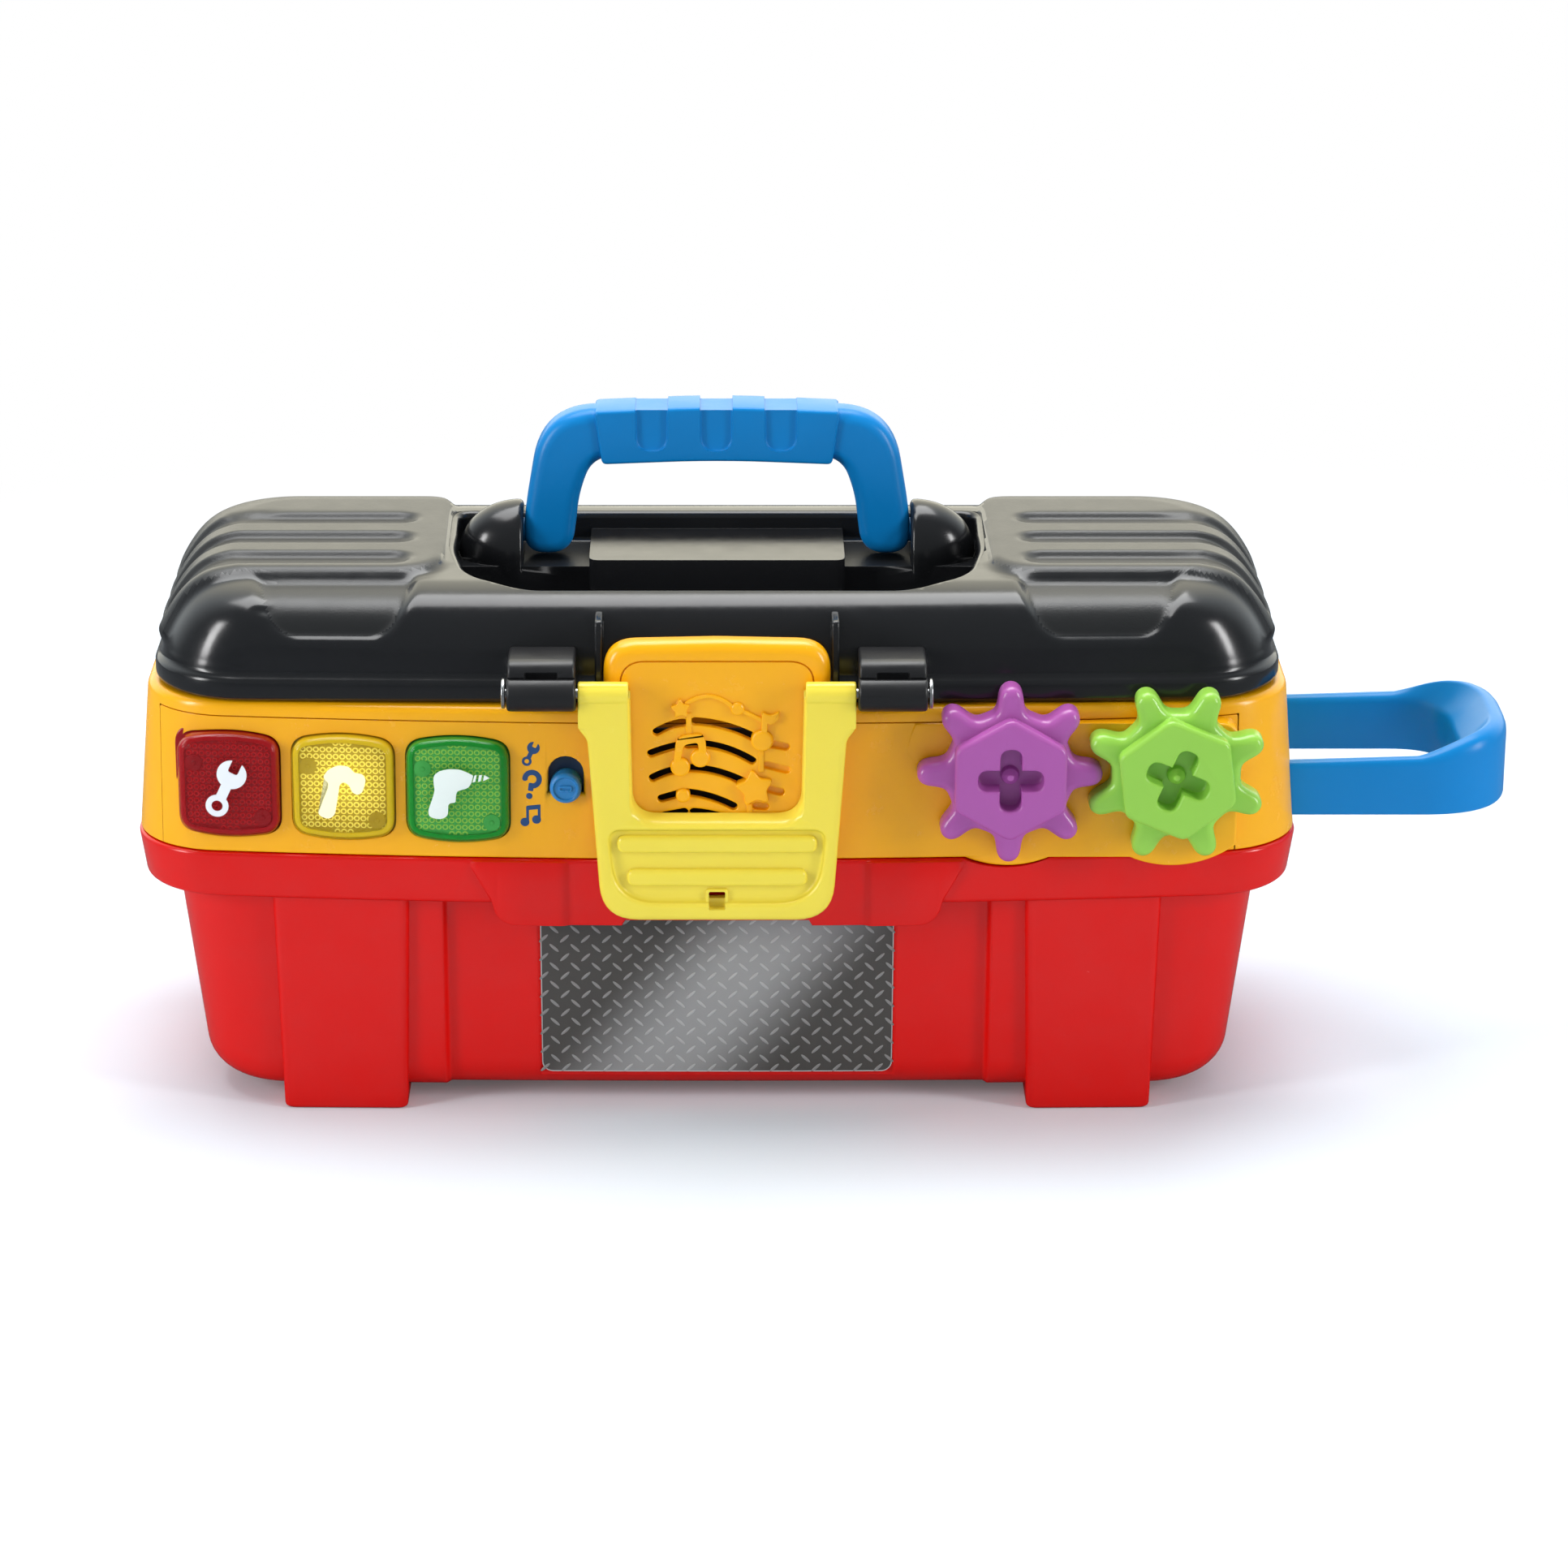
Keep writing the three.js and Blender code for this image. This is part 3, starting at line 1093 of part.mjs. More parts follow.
function makeGear() {
  const face = -GEAR_THICKNESS;
  const hexFace = face - GEAR_HEX_PROUD;
  const wheel = frontal(gearOutline(), [face, 0], GEAR_EDGE_ROUND);
  const hex = frontal(hexagon(GEAR_HEX_RADIUS), [hexFace, -GEAR_THICKNESS / 2], GEAR_HEX_BEVEL);
  const span = GEAR_CROSS_SPAN / 2;
  const half = GEAR_CROSS_WIDTH / 2;
  const crossFloor = hexFace + GEAR_CROSS_DEPTH;
  const bar = (x, z) => frontal(softBox([-x, x], [-z, z], half), [hexFace - OVERRUN, crossFloor]);
  const cone = turnedY([
    [0, crossFloor - GEAR_CONE_HEIGHT],
    [GEAR_CONE_RADIUS / 2, crossFloor - GEAR_CONE_HEIGHT + GEAR_CONE_RADIUS / 4],
    [GEAR_CONE_RADIUS, crossFloor + WELD],
    [0, crossFloor + WELD],
  ], 0, 0, 0, SMALL_CIRCLE_STEPS);
  const axleEnd = RUNNING_GAP + GEAR_SUPPORT_LENGTH;
  const axle = rodY(GEAR_AXLE_RADIUS, [-GEAR_THICKNESS / 2, axleEnd], 0, 0, CIRCLE_STEPS);
  const screwHole = rodY(
    GEAR_SCREW_SHANK + SEAT_GAP,
    [axleEnd - GEAR_SCREW_LENGTH - SEAT_GAP, axleEnd + OVERRUN],
    0,
    0,
  );
  return cut(join(cut(join(wheel, hex), bar(span, half), bar(half, span)), cone, axle), screwHole);
}

function makeGearWasher() {
  const front = RUNNING_GAP + GEAR_SUPPORT_LENGTH + SEAT_GAP;
  const back = front + GEAR_WASHER_THICKNESS;
  const disc = rodY(GEAR_WASHER_RADIUS, [front, back], 0, 0, CIRCLE_STEPS);
  return cut(disc, rodY(GEAR_SCREW_SHANK + SEAT_GAP, [-OVERRUN, OVERRUN], 0, 0));
}

function makeGearScrew() {
  const axleEnd = RUNNING_GAP + GEAR_SUPPORT_LENGTH;
  const headFront = axleEnd + GEAR_WASHER_THICKNESS + 2 * SEAT_GAP;
  return join(
    rodY(GEAR_SCREW_RADIUS, [headFront, headFront + GEAR_SCREW_HEAD], 0, 0),
    rodY(GEAR_SCREW_SHANK, [axleEnd - GEAR_SCREW_LENGTH, headFront + WELD], 0, 0),
  );
}

// Battery bay parts
function makeBatteryDoor() {
  const skin = cut(
    bandBody(0, BAND_BOTTOM_Z, BAND_TOP_Z, BAND_TOP_ROUND),
    bandBody(-DOOR_THICKNESS, LOW, HIGH, 0),
  ).intersect(doorArea(0));
  const back = backY(BATTERY_BAY_Z);
  return cut(
    skin,
    rodY(DOOR_SCREW_SHANK + SEAT_GAP, [0, FAR_BACK], DOOR_SCREW_X, BATTERY_BAY_Z),
    rodY(DOOR_SCREW_RADIUS + SEAT_GAP, [back - DOOR_SCREW_HEAD, FAR_BACK], DOOR_SCREW_X, BATTERY_BAY_Z),
  );
}

function makeDoorScrew() {
  const headFront = backY(BATTERY_BAY_Z) - DOOR_SCREW_HEAD + SEAT_GAP;
  return join(
    rodY(DOOR_SCREW_RADIUS, [headFront, headFront + DOOR_SCREW_HEAD], DOOR_SCREW_X, BATTERY_BAY_Z),
    rodY(DOOR_SCREW_SHANK, [headFront - DOOR_SCREW_LENGTH, headFront + WELD], DOOR_SCREW_X, BATTERY_BAY_Z),
  );
}

function makeCell(row, way) {
  const z = BATTERY_BAY_Z + (row * CELL_PITCH) / 2;
  const half = CELL_LENGTH / 2;
  const tip = way * (half + CELL_TIP_LENGTH);
  const tipSpan = way > 0 ? [half - WELD, tip] : [tip, WELD - half];
  return join(
    rodX(CELL_RADIUS, [-half, half], CELL_Y, z, CIRCLE_STEPS),
    rodX(CELL_TIP_RADIUS, tipSpan, CELL_Y, z),
  );
}

function makeContact(side) {
  const outer = side * (BATTERY_HALF_X - SEAT_GAP);
  const inner = outer - side * CONTACT_THICKNESS;
  return block(
    [Math.min(inner, outer), Math.max(inner, outer)],
    [CELL_Y - CELL_RADIUS / 2, CELL_Y + CELL_RADIUS / 2],
    [BATTERY_BAY_Z - CELL_PITCH / 2 - CELL_TIP_RADIUS, BATTERY_BAY_Z + CELL_PITCH / 2 + CELL_TIP_RADIUS],
  );
}

// Lid plans: the rolled rim, then the shoulder that rises to the flat top
function lidPlan(rise, grow) {
  return {
    halfWidth: LID_HALF_WIDTH - LID_STEP - LID_SIDE_RUN * rise + grow,
    front: LID_FRONT - LID_STEP - LID_FRONT_RUN * rise + grow,
    back: LID_BACK - LID_STEP - LID_BACK_RUN * rise + grow,
    corner: LID_CORNER - LID_STEP + (LID_TOP_CORNER - LID_CORNER + LID_STEP) * rise + grow,
    frontBow: LID_BOW * (1 - rise),
    backBow: 0,
  };
}

function lidBody(grow, rimBottomZ, rimRound) {
  const rings = [];
  const rimGrow = LID_STEP + grow;
  for (let i = 0; i <= ROUND_STEPS; i += 1) {
    const angle = (i / ROUND_STEPS) * (Math.PI / 2);
    const z = rimBottomZ + rimRound * (1 - Math.cos(angle));
    rings.push(planRing(lidPlan(0, rimGrow - rimRound * (1 - Math.sin(angle))), z));
  }
  const stepZ = LID_SHOULDER_Z - LID_STEP;
  rings.push(planRing(lidPlan(0, rimGrow), stepZ - LID_STEP));
  rings.push(planRing(lidPlan(0, rimGrow - LID_STEP / 3), stepZ));
  LID_PROFILE_SHARES.forEach(([rise, height]) => {
    const z = LID_SHOULDER_Z + (LID_TOP_Z - LID_SHOULDER_Z) * height + grow * height;
    rings.push(planRing(lidPlan(rise, grow), z));
  });
  return loft(rings);
}

function wellPlan(grow) {
  const x = WELL_HALF_WIDTH + grow;
  const front = WELL_FRONT_Y - grow;
  const back = WELL_BACK_Y + grow;
  return softOutline([
    [WELL_CHAMFER - x, front, WELL_CORNER],
    [x - WELL_CHAMFER, front, WELL_CORNER],
    [x, front + WELL_CHAMFER, WELL_CORNER],
    [x, back, WELL_CORNER],
    [-x, back, WELL_CORNER],
    [-x, front + WELL_CHAMFER, WELL_CORNER],
  ]);
}

function wellBody(grow, top) {
  const well = upright(wellPlan(grow), [WELL_FLOOR_Z - grow, top]);
  const shelf = block(
    [-WELL_HALF_WIDTH - OVERRUN, WELL_HALF_WIDTH + OVERRUN],
    [WELL_STEP_Y + grow, FAR_BACK],
    [LOW, WELL_STEP_Z - grow],
  );
  return cut(well, shelf);
}

function makeLid() {
  const shell = lidBody(0, LID_BOTTOM_Z, LID_RIM_ROUND);
  const proud = lidBody(PAD_PROUD, LID_BOTTOM_Z, LID_RIM_ROUND);
  const pads = [-1, 1].map((side) => {
    const inner = side * PAD_INNER_X;
    const outer = side * (LID_HALF_WIDTH + OVERRUN);
    return upright(
      softBox([Math.min(inner, outer), Math.max(inner, outer)], [PAD_FRONT_Y, PAD_BACK_Y], PAD_CORNER),
      [LID_SHOULDER_Z - LID_STEP / 2, HIGH],
    ).intersect(proud);
  });
  const grooveFloor = lidBody(PAD_PROUD - PAD_GROOVE_DEPTH, LID_BOTTOM_Z, LID_RIM_ROUND);
  const grooves = [-1, 1].flatMap((side) => {
    const inner = side * PAD_GROOVE_INNER_X;
    const outer = side * (LID_HALF_WIDTH + OVERRUN);
    return Array.from({ length: PAD_GROOVES }, (_, i) => {
      const y = PAD_GROOVE_FRONT_Y + i * PAD_GROOVE_PITCH;
      return cut(upright(softBox(
        [Math.min(inner, outer), Math.max(inner, outer)],
        [y - PAD_GROOVE_WIDTH / 2, y + PAD_GROOVE_WIDTH / 2],
        PAD_GROOVE_WIDTH / 2,
      ), [LID_SHOULDER_Z + LID_STEP, HIGH]), grooveFloor);
    });
  });
  const scoopFloor = lidBody(-SCOOP_DEPTH, LID_BOTTOM_Z, LID_RIM_ROUND);
  const scoops = [-1, 1].map((side) => cut(frontal(softOutline([
    [side * SCOOP_X - SCOOP_BOTTOM_HALF_WIDTH, SCOOP_BOTTOM_Z, SCOOP_DEPTH],
    [side * SCOOP_X + SCOOP_BOTTOM_HALF_WIDTH, SCOOP_BOTTOM_Z, SCOOP_DEPTH],
    [side * SCOOP_X + SCOOP_TOP_HALF_WIDTH, LID_TOP_Z + PAD_PROUD, 0],
    [side * SCOOP_X - SCOOP_TOP_HALF_WIDTH, LID_TOP_Z + PAD_PROUD, 0],
  ]), [FAR_FRONT, SCOOP_BACK_Y]), scoopFloor));
  const wallZ = LID_BOTTOM_Z - OVERRUN;
  const hollow = cut(lidBody(-LID_WALL, wallZ, 0), wellBody(LID_WALL, HIGH));
  const domes = [-1, 1].map((side) => {
    const ball = new THREE.SphereGeometry(1, CIRCLE_STEPS, CIRCLE_STEPS / 2);
    ball.rotateX(Math.PI / 2);
    ball.scale(DOME_RADIUS_X, DOME_RADIUS_Y, DOME_HEIGHT);
    const face = side * (HANDLE_FOOT_HALF_WIDTH + RUNNING_GAP);
    ball.translate(face, HANDLE_Y, WELL_STEP_Z);
    const outer = face + side * (DOME_RADIUS_X + OVERRUN);
    return toSolid(ball).intersect(
      block(
        [Math.min(face, outer), Math.max(face, outer)],
        [FAR_FRONT, FAR_BACK],
        [WELL_STEP_Z - WELD, HIGH],
      ),
    );
  });
  const pinHoles = [-1, 1].map((side) => {
    const inner = side * HANDLE_FOOT_HALF_WIDTH;
    const outer = side * (HANDLE_FOOT_HALF_WIDTH + HANDLE_PIN_LENGTH + SEAT_GAP);
    return rodX(
      HANDLE_PIN_RADIUS + SEAT_GAP,
      [Math.min(inner, outer), Math.max(inner, outer)],
      HANDLE_Y,
      HANDLE_Z,
      CIRCLE_STEPS,
    );
  });
  const knuckles = [-1, 1].map((side) => {
    const span = [side * HINGE_X - HINGE_KNUCKLE / 2, side * HINGE_X + HINGE_KNUCKLE / 2];
    const leafBottom = LID_BOTTOM_Z + LID_RIM_ROUND / 2;
    const leaf = block(span, [LID_BACK - LID_WALL, HINGE_Y], [leafBottom, leafBottom + HINGE_LEAF]);
    return join(rodX(HINGE_RADIUS, span, HINGE_Y, HINGE_Z), leaf);
  });
  const outside = cut(join(shell, ...pads), ...grooves, ...scoops, wellBody(0, HIGH));
  return cut(join(cut(join(outside, ...domes), hollow), ...knuckles), ...pinHoles, ...hingeBores());
}

// Carry handle: legs, bar and stub pins, with a raised grip notched for the fingers
function makeHandle() {
  const back = HANDLE_Y + HANDLE_DEPTH / 2;
  const front = HANDLE_Y - HANDLE_DEPTH / 2;
  const barBottom = HANDLE_TOP_Z - HANDLE_BAR;
  const bow = softOutline([
    [-HANDLE_FOOT_HALF_WIDTH, HANDLE_Z, 0],
    [-HANDLE_FOOT_INNER, HANDLE_Z, 0],
    [-HANDLE_SHOULDER_INNER, barBottom, HANDLE_INNER_CORNER],
    [HANDLE_SHOULDER_INNER, barBottom, HANDLE_INNER_CORNER],
    [HANDLE_FOOT_INNER, HANDLE_Z, 0],
    [HANDLE_FOOT_HALF_WIDTH, HANDLE_Z, 0],
    [HANDLE_SHOULDER_HALF_WIDTH, HANDLE_TOP_Z - HANDLE_OUTER_CORNER, HANDLE_OUTER_CORNER / 2],
    [HANDLE_SHOULDER_HALF_WIDTH - HANDLE_OUTER_CORNER, HANDLE_TOP_Z, HANDLE_OUTER_CORNER / 2],
    [HANDLE_OUTER_CORNER - HANDLE_SHOULDER_HALF_WIDTH, HANDLE_TOP_Z, HANDLE_OUTER_CORNER / 2],
    [-HANDLE_SHOULDER_HALF_WIDTH, HANDLE_TOP_Z - HANDLE_OUTER_CORNER, HANDLE_OUTER_CORNER / 2],
  ]);
  const feet = [-1, 1].map((side) => {
    const inner = side * HANDLE_FOOT_INNER;
    const outer = side * HANDLE_FOOT_HALF_WIDTH;
    const span = [Math.min(inner, outer), Math.max(inner, outer)];
    return rodX(HANDLE_DEPTH / 2, span, HANDLE_Y, HANDLE_Z, CIRCLE_STEPS);
  });
  const pins = [-1, 1].map((side) => {
    const inner = side * HANDLE_FOOT_INNER;
    const outer = side * (HANDLE_FOOT_HALF_WIDTH + HANDLE_PIN_LENGTH);
    const span = [Math.min(inner, outer), Math.max(inner, outer)];
    return rodX(HANDLE_PIN_RADIUS, span, HANDLE_Y, HANDLE_Z, CIRCLE_STEPS);
  });
  const grip = frontal(softOutline([
    [-GRIP_BOTTOM_HALF_WIDTH, barBottom - GRIP_PROUD, 2 * GRIP_EDGE_ROUND],
    [GRIP_BOTTOM_HALF_WIDTH, barBottom - GRIP_PROUD, 2 * GRIP_EDGE_ROUND],
    [GRIP_TOP_HALF_WIDTH, HANDLE_TOP_Z + GRIP_PROUD, 2 * GRIP_EDGE_ROUND],
    [-GRIP_TOP_HALF_WIDTH, HANDLE_TOP_Z + GRIP_PROUD, 2 * GRIP_EDGE_ROUND],
  ]), [front - GRIP_PROUD, back + GRIP_PROUD], GRIP_EDGE_ROUND);
  const notches = Array.from({ length: GRIP_NOTCHES }, (_, i) => {
    const x = (i - (GRIP_NOTCHES - 1) / 2) * GRIP_NOTCH_PITCH;
    return frontal(softBox(
      [x - GRIP_NOTCH_WIDTH / 2, x + GRIP_NOTCH_WIDTH / 2],
      [HANDLE_TOP_Z - GRIP_NOTCH_DROP, HANDLE_TOP_Z + OVERRUN],
      GRIP_NOTCH_WIDTH / 2,
    ), [FAR_FRONT, FAR_BACK]);
  });
  const frame = frontal(bow, [front, back], HANDLE_EDGE_ROUND);
  return join(frame, ...feet, ...pins, cut(grip, ...notches));
}

// Latch: a U plate on two barrels, with a ribbed thumb field and a lip round its foot
function latchOutline() {
  return softOutline([
    [-LATCH_OPENING_FOOT_HALF_WIDTH, LATCH_OPENING_BOTTOM_Z, LATCH_OPENING_CORNER],
    [-LATCH_OPENING_HALF_WIDTH, LATCH_PIVOT_Z, 0],
    [-LATCH_TOP_HALF_WIDTH, LATCH_PIVOT_Z, 0],
    [-LATCH_TOP_HALF_WIDTH, LATCH_STEP_TOP_Z, 0],
    [-LATCH_STEP_HALF_WIDTH, LATCH_STEP_Z, 0],
    [-LATCH_BOTTOM_HALF_WIDTH, LATCH_BOTTOM_Z, LATCH_CORNER],
    [LATCH_BOTTOM_HALF_WIDTH, LATCH_BOTTOM_Z, LATCH_CORNER],
    [LATCH_STEP_HALF_WIDTH, LATCH_STEP_Z, 0],
    [LATCH_TOP_HALF_WIDTH, LATCH_STEP_TOP_Z, 0],
    [LATCH_TOP_HALF_WIDTH, LATCH_PIVOT_Z, 0],
    [LATCH_OPENING_HALF_WIDTH, LATCH_PIVOT_Z, 0],
    [LATCH_OPENING_FOOT_HALF_WIDTH, LATCH_OPENING_BOTTOM_Z, LATCH_OPENING_CORNER],
  ].reverse());
}

function latchFoot(inset, zTop) {
  const x = LATCH_BOTTOM_HALF_WIDTH - inset;
  const corner = LATCH_CORNER - inset;
  return softOutline([
    [-x, LATCH_BOTTOM_Z + inset, corner],
    [x, LATCH_BOTTOM_Z + inset, corner],
    [x, zTop, 0],
    [-x, zTop, 0],
  ]);
}

function makeLatch() {
  const plate = frontal(latchOutline(), [LATCH_FACE_Y, LATCH_BACK_Y], LATCH_EDGE_ROUND);
  const lipTop = PANEL_BOTTOM_Z - RUNNING_GAP - SEAT_GAP;
  const lip = cut(
    frontal(latchFoot(LATCH_EDGE_ROUND, lipTop), [LATCH_BACK_Y - WELD, PANEL_BACK_Y - RUNNING_GAP]),
    frontal(latchFoot(LATCH_FIELD_INSET, HIGH), [LATCH_BACK_Y - WELD, 0]),
  );
  const field = frontal(
    latchFoot(LATCH_FIELD_INSET, LATCH_FIELD_TOP_Z),
    [FAR_FRONT, LATCH_FACE_Y + LATCH_FIELD_DEPTH],
  );
  const ribs = [0, 1].map((i) => {
    const half = LATCH_BOTTOM_HALF_WIDTH - LATCH_FIELD_INSET - LATCH_EDGE_ROUND * (1 + i);
    const z = LATCH_RIB_Z - i * LATCH_RIB_PITCH;
    return frontal(
      softBox([-half, half], [z - LATCH_RIB_HEIGHT / 2, z + LATCH_RIB_HEIGHT / 2], LATCH_RIB_HEIGHT / 2),
      [LATCH_FACE_Y, LATCH_BACK_Y - LATCH_EDGE_ROUND],
    );
  });
  const hole = frontal(softBox(
    [-LATCH_HOLE_WIDTH / 2, LATCH_HOLE_WIDTH / 2],
    [LATCH_HOLE_Z - LATCH_HOLE_HEIGHT / 2, LATCH_HOLE_Z + LATCH_HOLE_HEIGHT / 2],
    0,
  ), [FAR_FRONT, 0]);
  const barrels = [-1, 1].map((side) => {
    const inner = side * LATCH_OPENING_HALF_WIDTH;
    const outer = side * LATCH_TOP_HALF_WIDTH;
    const span = [Math.min(inner, outer), Math.max(inner, outer)];
    return rodX(LATCH_BARREL_RADIUS, span, LATCH_PIVOT_Y, LATCH_PIVOT_Z, CIRCLE_STEPS);
  });
  return cut(join(cut(plate, field), lip, ...ribs, ...barrels), hole, ...latchBores());
}

function latchBores() {
  return [-1, 1].map((side) => {
    const inner = side * (LATCH_OPENING_HALF_WIDTH - OVERRUN / 4);
    const outer = side * (BRACKET_OUTER_X + OVERRUN / 4);
    const span = [Math.min(inner, outer), Math.max(inner, outer)];
    return rodX(PIN_RADIUS + SEAT_GAP, span, LATCH_PIVOT_Y, LATCH_PIVOT_Z);
  });
}

function makeLatchBracket(side) {
  const inner = side * BRACKET_INNER_X;
  const outer = side * BRACKET_OUTER_X;
  const span = [Math.min(inner, outer), Math.max(inner, outer)];
  const barrel = rodX(BRACKET_BARREL_RADIUS, span, LATCH_PIVOT_Y, LATCH_PIVOT_Z, CIRCLE_STEPS);
  const arm = block(span, [LATCH_PIVOT_Y, -LID_FRONT + OVERRUN / 2], [BRACKET_BOTTOM_Z, BRACKET_TOP_Z]);
  const noseDepth = [LATCH_PIVOT_Y - BRACKET_FOOT, LATCH_PIVOT_Y + WELD];
  const nose = block(span, noseDepth, [LATCH_PIVOT_Z, BRACKET_TOP_Z]);
  const lid = lidBody(SEAT_GAP, LID_BOTTOM_Z - SEAT_GAP, LID_RIM_ROUND);
  const middle = (inner + outer) / 2;
  const slot = block(
    [middle - BRACKET_SLOT_HALF_WIDTH, middle + BRACKET_SLOT_HALF_WIDTH],
    [FAR_FRONT, LATCH_PIVOT_Y - BRACKET_FOOT + BRACKET_SLOT_DEPTH],
    [BRACKET_TOP_Z - 2 * BRACKET_SLOT_HEIGHT, BRACKET_TOP_Z - BRACKET_SLOT_HEIGHT],
  );
  return cut(join(barrel, arm, nose), lid, slot, ...latchBores());
}

function makeLatchPin(side) {
  const inner = side * (LATCH_OPENING_HALF_WIDTH + SEAT_GAP);
  const head = side * (BRACKET_OUTER_X + SEAT_GAP);
  const outer = head + side * PIN_HEAD_THICKNESS;
  return join(
    rodX(PIN_RADIUS, [Math.min(inner, outer), Math.max(inner, outer)], LATCH_PIVOT_Y, LATCH_PIVOT_Z),
    rodX(
      PIN_HEAD_RADIUS,
      [Math.min(head, outer), Math.max(head, outer)],
      LATCH_PIVOT_Y,
      LATCH_PIVOT_Z,
      CIRCLE_STEPS,
    ),
  );
}

// Finishes
const finish = (color, roughness, metalness = 0) => (
  new THREE.MeshStandardMaterial({ color, roughness, metalness })
);
const redPlastic = finish(0xd21c1f, 0.4);
const orangePlastic = finish(0xffa512, 0.38);
const blackPlastic = finish(0x1b1d1f, 0.2);
const bluePlastic = finish(0x1273c4, 0.35);
const yellowPlastic = finish(0xf5e44a, 0.4);
const purplePlastic = finish(0xa653b5, 0.35);
const greenPlastic = finish(0x8ad556, 0.35);
const steel = finish(0xc4c7cb, 0.25, 1);
const boardGreen = finish(0x1f5a34, 0.6);
const keyBlack = finish(0x222222, 0.5);
const ledClear = finish(0xf4f4e8, 0.15);
const paperBlack = finish(0x26241f, 0.9);
const cellFinish = finish(0x3a6b4a, 0.4, 0.3);

// Assembly: the origin is centred under the whole object, on the surface it stands on
const body = new THREE.Group();

function addPiece(name, solid, material, place) {
  const mesh = new THREE.Mesh(toGeometry(solid), material);
  mesh.name = name;
  if (place) {
    place.decompose(mesh.position, mesh.quaternion, mesh.scale);
  }
  body.add(mesh);
}

addPiece('tub', makeTub(), redPlastic);
addPiece('band_housing', makeBandHousing(), orangePlastic);
addPiece('front_cover', makeFrontCover(), orangePlastic);
addPiece('speaker_panel', makeSpeakerPanel(), orangePlastic);
addPiece('speaker_basket', makeSpeakerBasket(), steel);
addPiece('speaker_cone', makeSpeakerCone(), paperBlack);
addPiece('circuit_board', makeBoard(), boardGreen);
BUTTONS.forEach(({ name, x, color }, i) => {
  addPiece(name, makeButton(x), finish(color, 0.12), onBandFront(x, BUTTON_Z));
  addPiece(`key_switch_${i + 1}`, makeKey(x), keyBlack);
  addPiece(`button_led_${i + 1}`, makeLed(x), ledClear);
});
addPiece('mode_switch', makeModeSwitch(), bluePlastic, onBandFront(SWITCH_X, SWITCH_Z));
addPiece('switch_body', makeSwitchBody(), keyBlack);
gearCentres.forEach(([x, z], i) => {
  const turn = i * (Math.PI / 2 + Math.PI / GEAR_TEETH);
  const place = new THREE.Matrix4().makeRotationY(turn);
  place.setPosition(x, GEAR_BASE_Y - RUNNING_GAP, z);
  const gearPlastic = i === 0 ? purplePlastic : greenPlastic;
  addPiece(i === 0 ? 'purple_gear' : 'green_gear', makeGear(), gearPlastic, place);
  addPiece(`gear_washer_${i + 1}`, makeGearWasher(), steel, place);
  addPiece(`gear_screw_${i + 1}`, makeGearScrew(), steel, place);
});
addPiece('tool_loop', loopBody(0), bluePlastic);
addPiece('battery_door', makeBatteryDoor(), orangePlastic);
addPiece('battery_door_screw', makeDoorScrew(), steel);
addPiece('battery_upper', makeCell(1, 1), cellFinish);
addPiece('battery_lower', makeCell(-1, -1), cellFinish);
addPiece('battery_contact_left', makeContact(-1), steel);
addPiece('battery_contact_right', makeContact(1), steel);
addPiece('lid', makeLid(), blackPlastic);
addPiece('carry_handle', makeHandle(), bluePlastic);
addPiece('latch', makeLatch(), yellowPlastic);
addPiece('latch_bracket_left', makeLatchBracket(-1), blackPlastic);
addPiece('latch_bracket_right', makeLatchBracket(1), blackPlastic);
addPiece('latch_pin_left', makeLatchPin(-1), steel);
addPiece('latch_pin_right', makeLatchPin(1), steel);
[-1, 1].forEach((side) => {
  addPiece(
    side < 0 ? 'hinge_pin_left' : 'hinge_pin_right',
    rodX(HINGE_PIN_RADIUS, hingeSpan(side, HINGE_PIN_OVERHANG), HINGE_Y, HINGE_Z),
    steel,
  );
});

const bounds = new THREE.Box3().setFromObject(body, true);
const centre = bounds.getCenter(new THREE.Vector3());
body.position.set(-centre.x, -centre.y, -bounds.min.z);

const toolBox = new THREE.Group();
toolBox.add(body);

export default toolBox;
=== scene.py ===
"""Looks of the toy tool box: its moulded shells, buttons, gears, latch and label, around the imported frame."""
import json
import math

import bmesh
import bpy
import numpy as np
from mathutils import Matrix, Vector


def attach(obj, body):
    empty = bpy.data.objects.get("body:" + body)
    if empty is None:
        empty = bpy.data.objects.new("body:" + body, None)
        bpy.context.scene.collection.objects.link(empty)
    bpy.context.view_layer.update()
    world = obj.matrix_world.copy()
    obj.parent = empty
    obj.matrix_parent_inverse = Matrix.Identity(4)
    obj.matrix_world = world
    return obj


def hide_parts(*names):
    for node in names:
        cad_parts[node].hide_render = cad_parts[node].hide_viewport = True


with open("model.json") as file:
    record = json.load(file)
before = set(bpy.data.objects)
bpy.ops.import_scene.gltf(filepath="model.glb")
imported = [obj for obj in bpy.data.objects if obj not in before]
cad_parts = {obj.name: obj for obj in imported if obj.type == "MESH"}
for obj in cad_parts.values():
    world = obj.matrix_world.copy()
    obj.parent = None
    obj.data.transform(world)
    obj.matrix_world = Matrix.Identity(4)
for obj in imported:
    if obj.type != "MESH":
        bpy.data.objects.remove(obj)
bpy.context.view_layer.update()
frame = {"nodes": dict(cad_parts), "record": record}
nodes = frame["nodes"]

# The makers below work in millimetres round the middle of the box, with the front at -Y. The frame's own
# middle takes in the side loop and the latch too, so each finished piece moves by ROW_SHIFT.
MM = 0.001
ROW_SHIFT = Vector((-0.02885, 0.0027928, 0.0))
SIDES = (-1, 1)
SEAT_GAP = 0.3
RUNNING_GAP = 0.45
FAR = 130.0


# Camera, light and floor

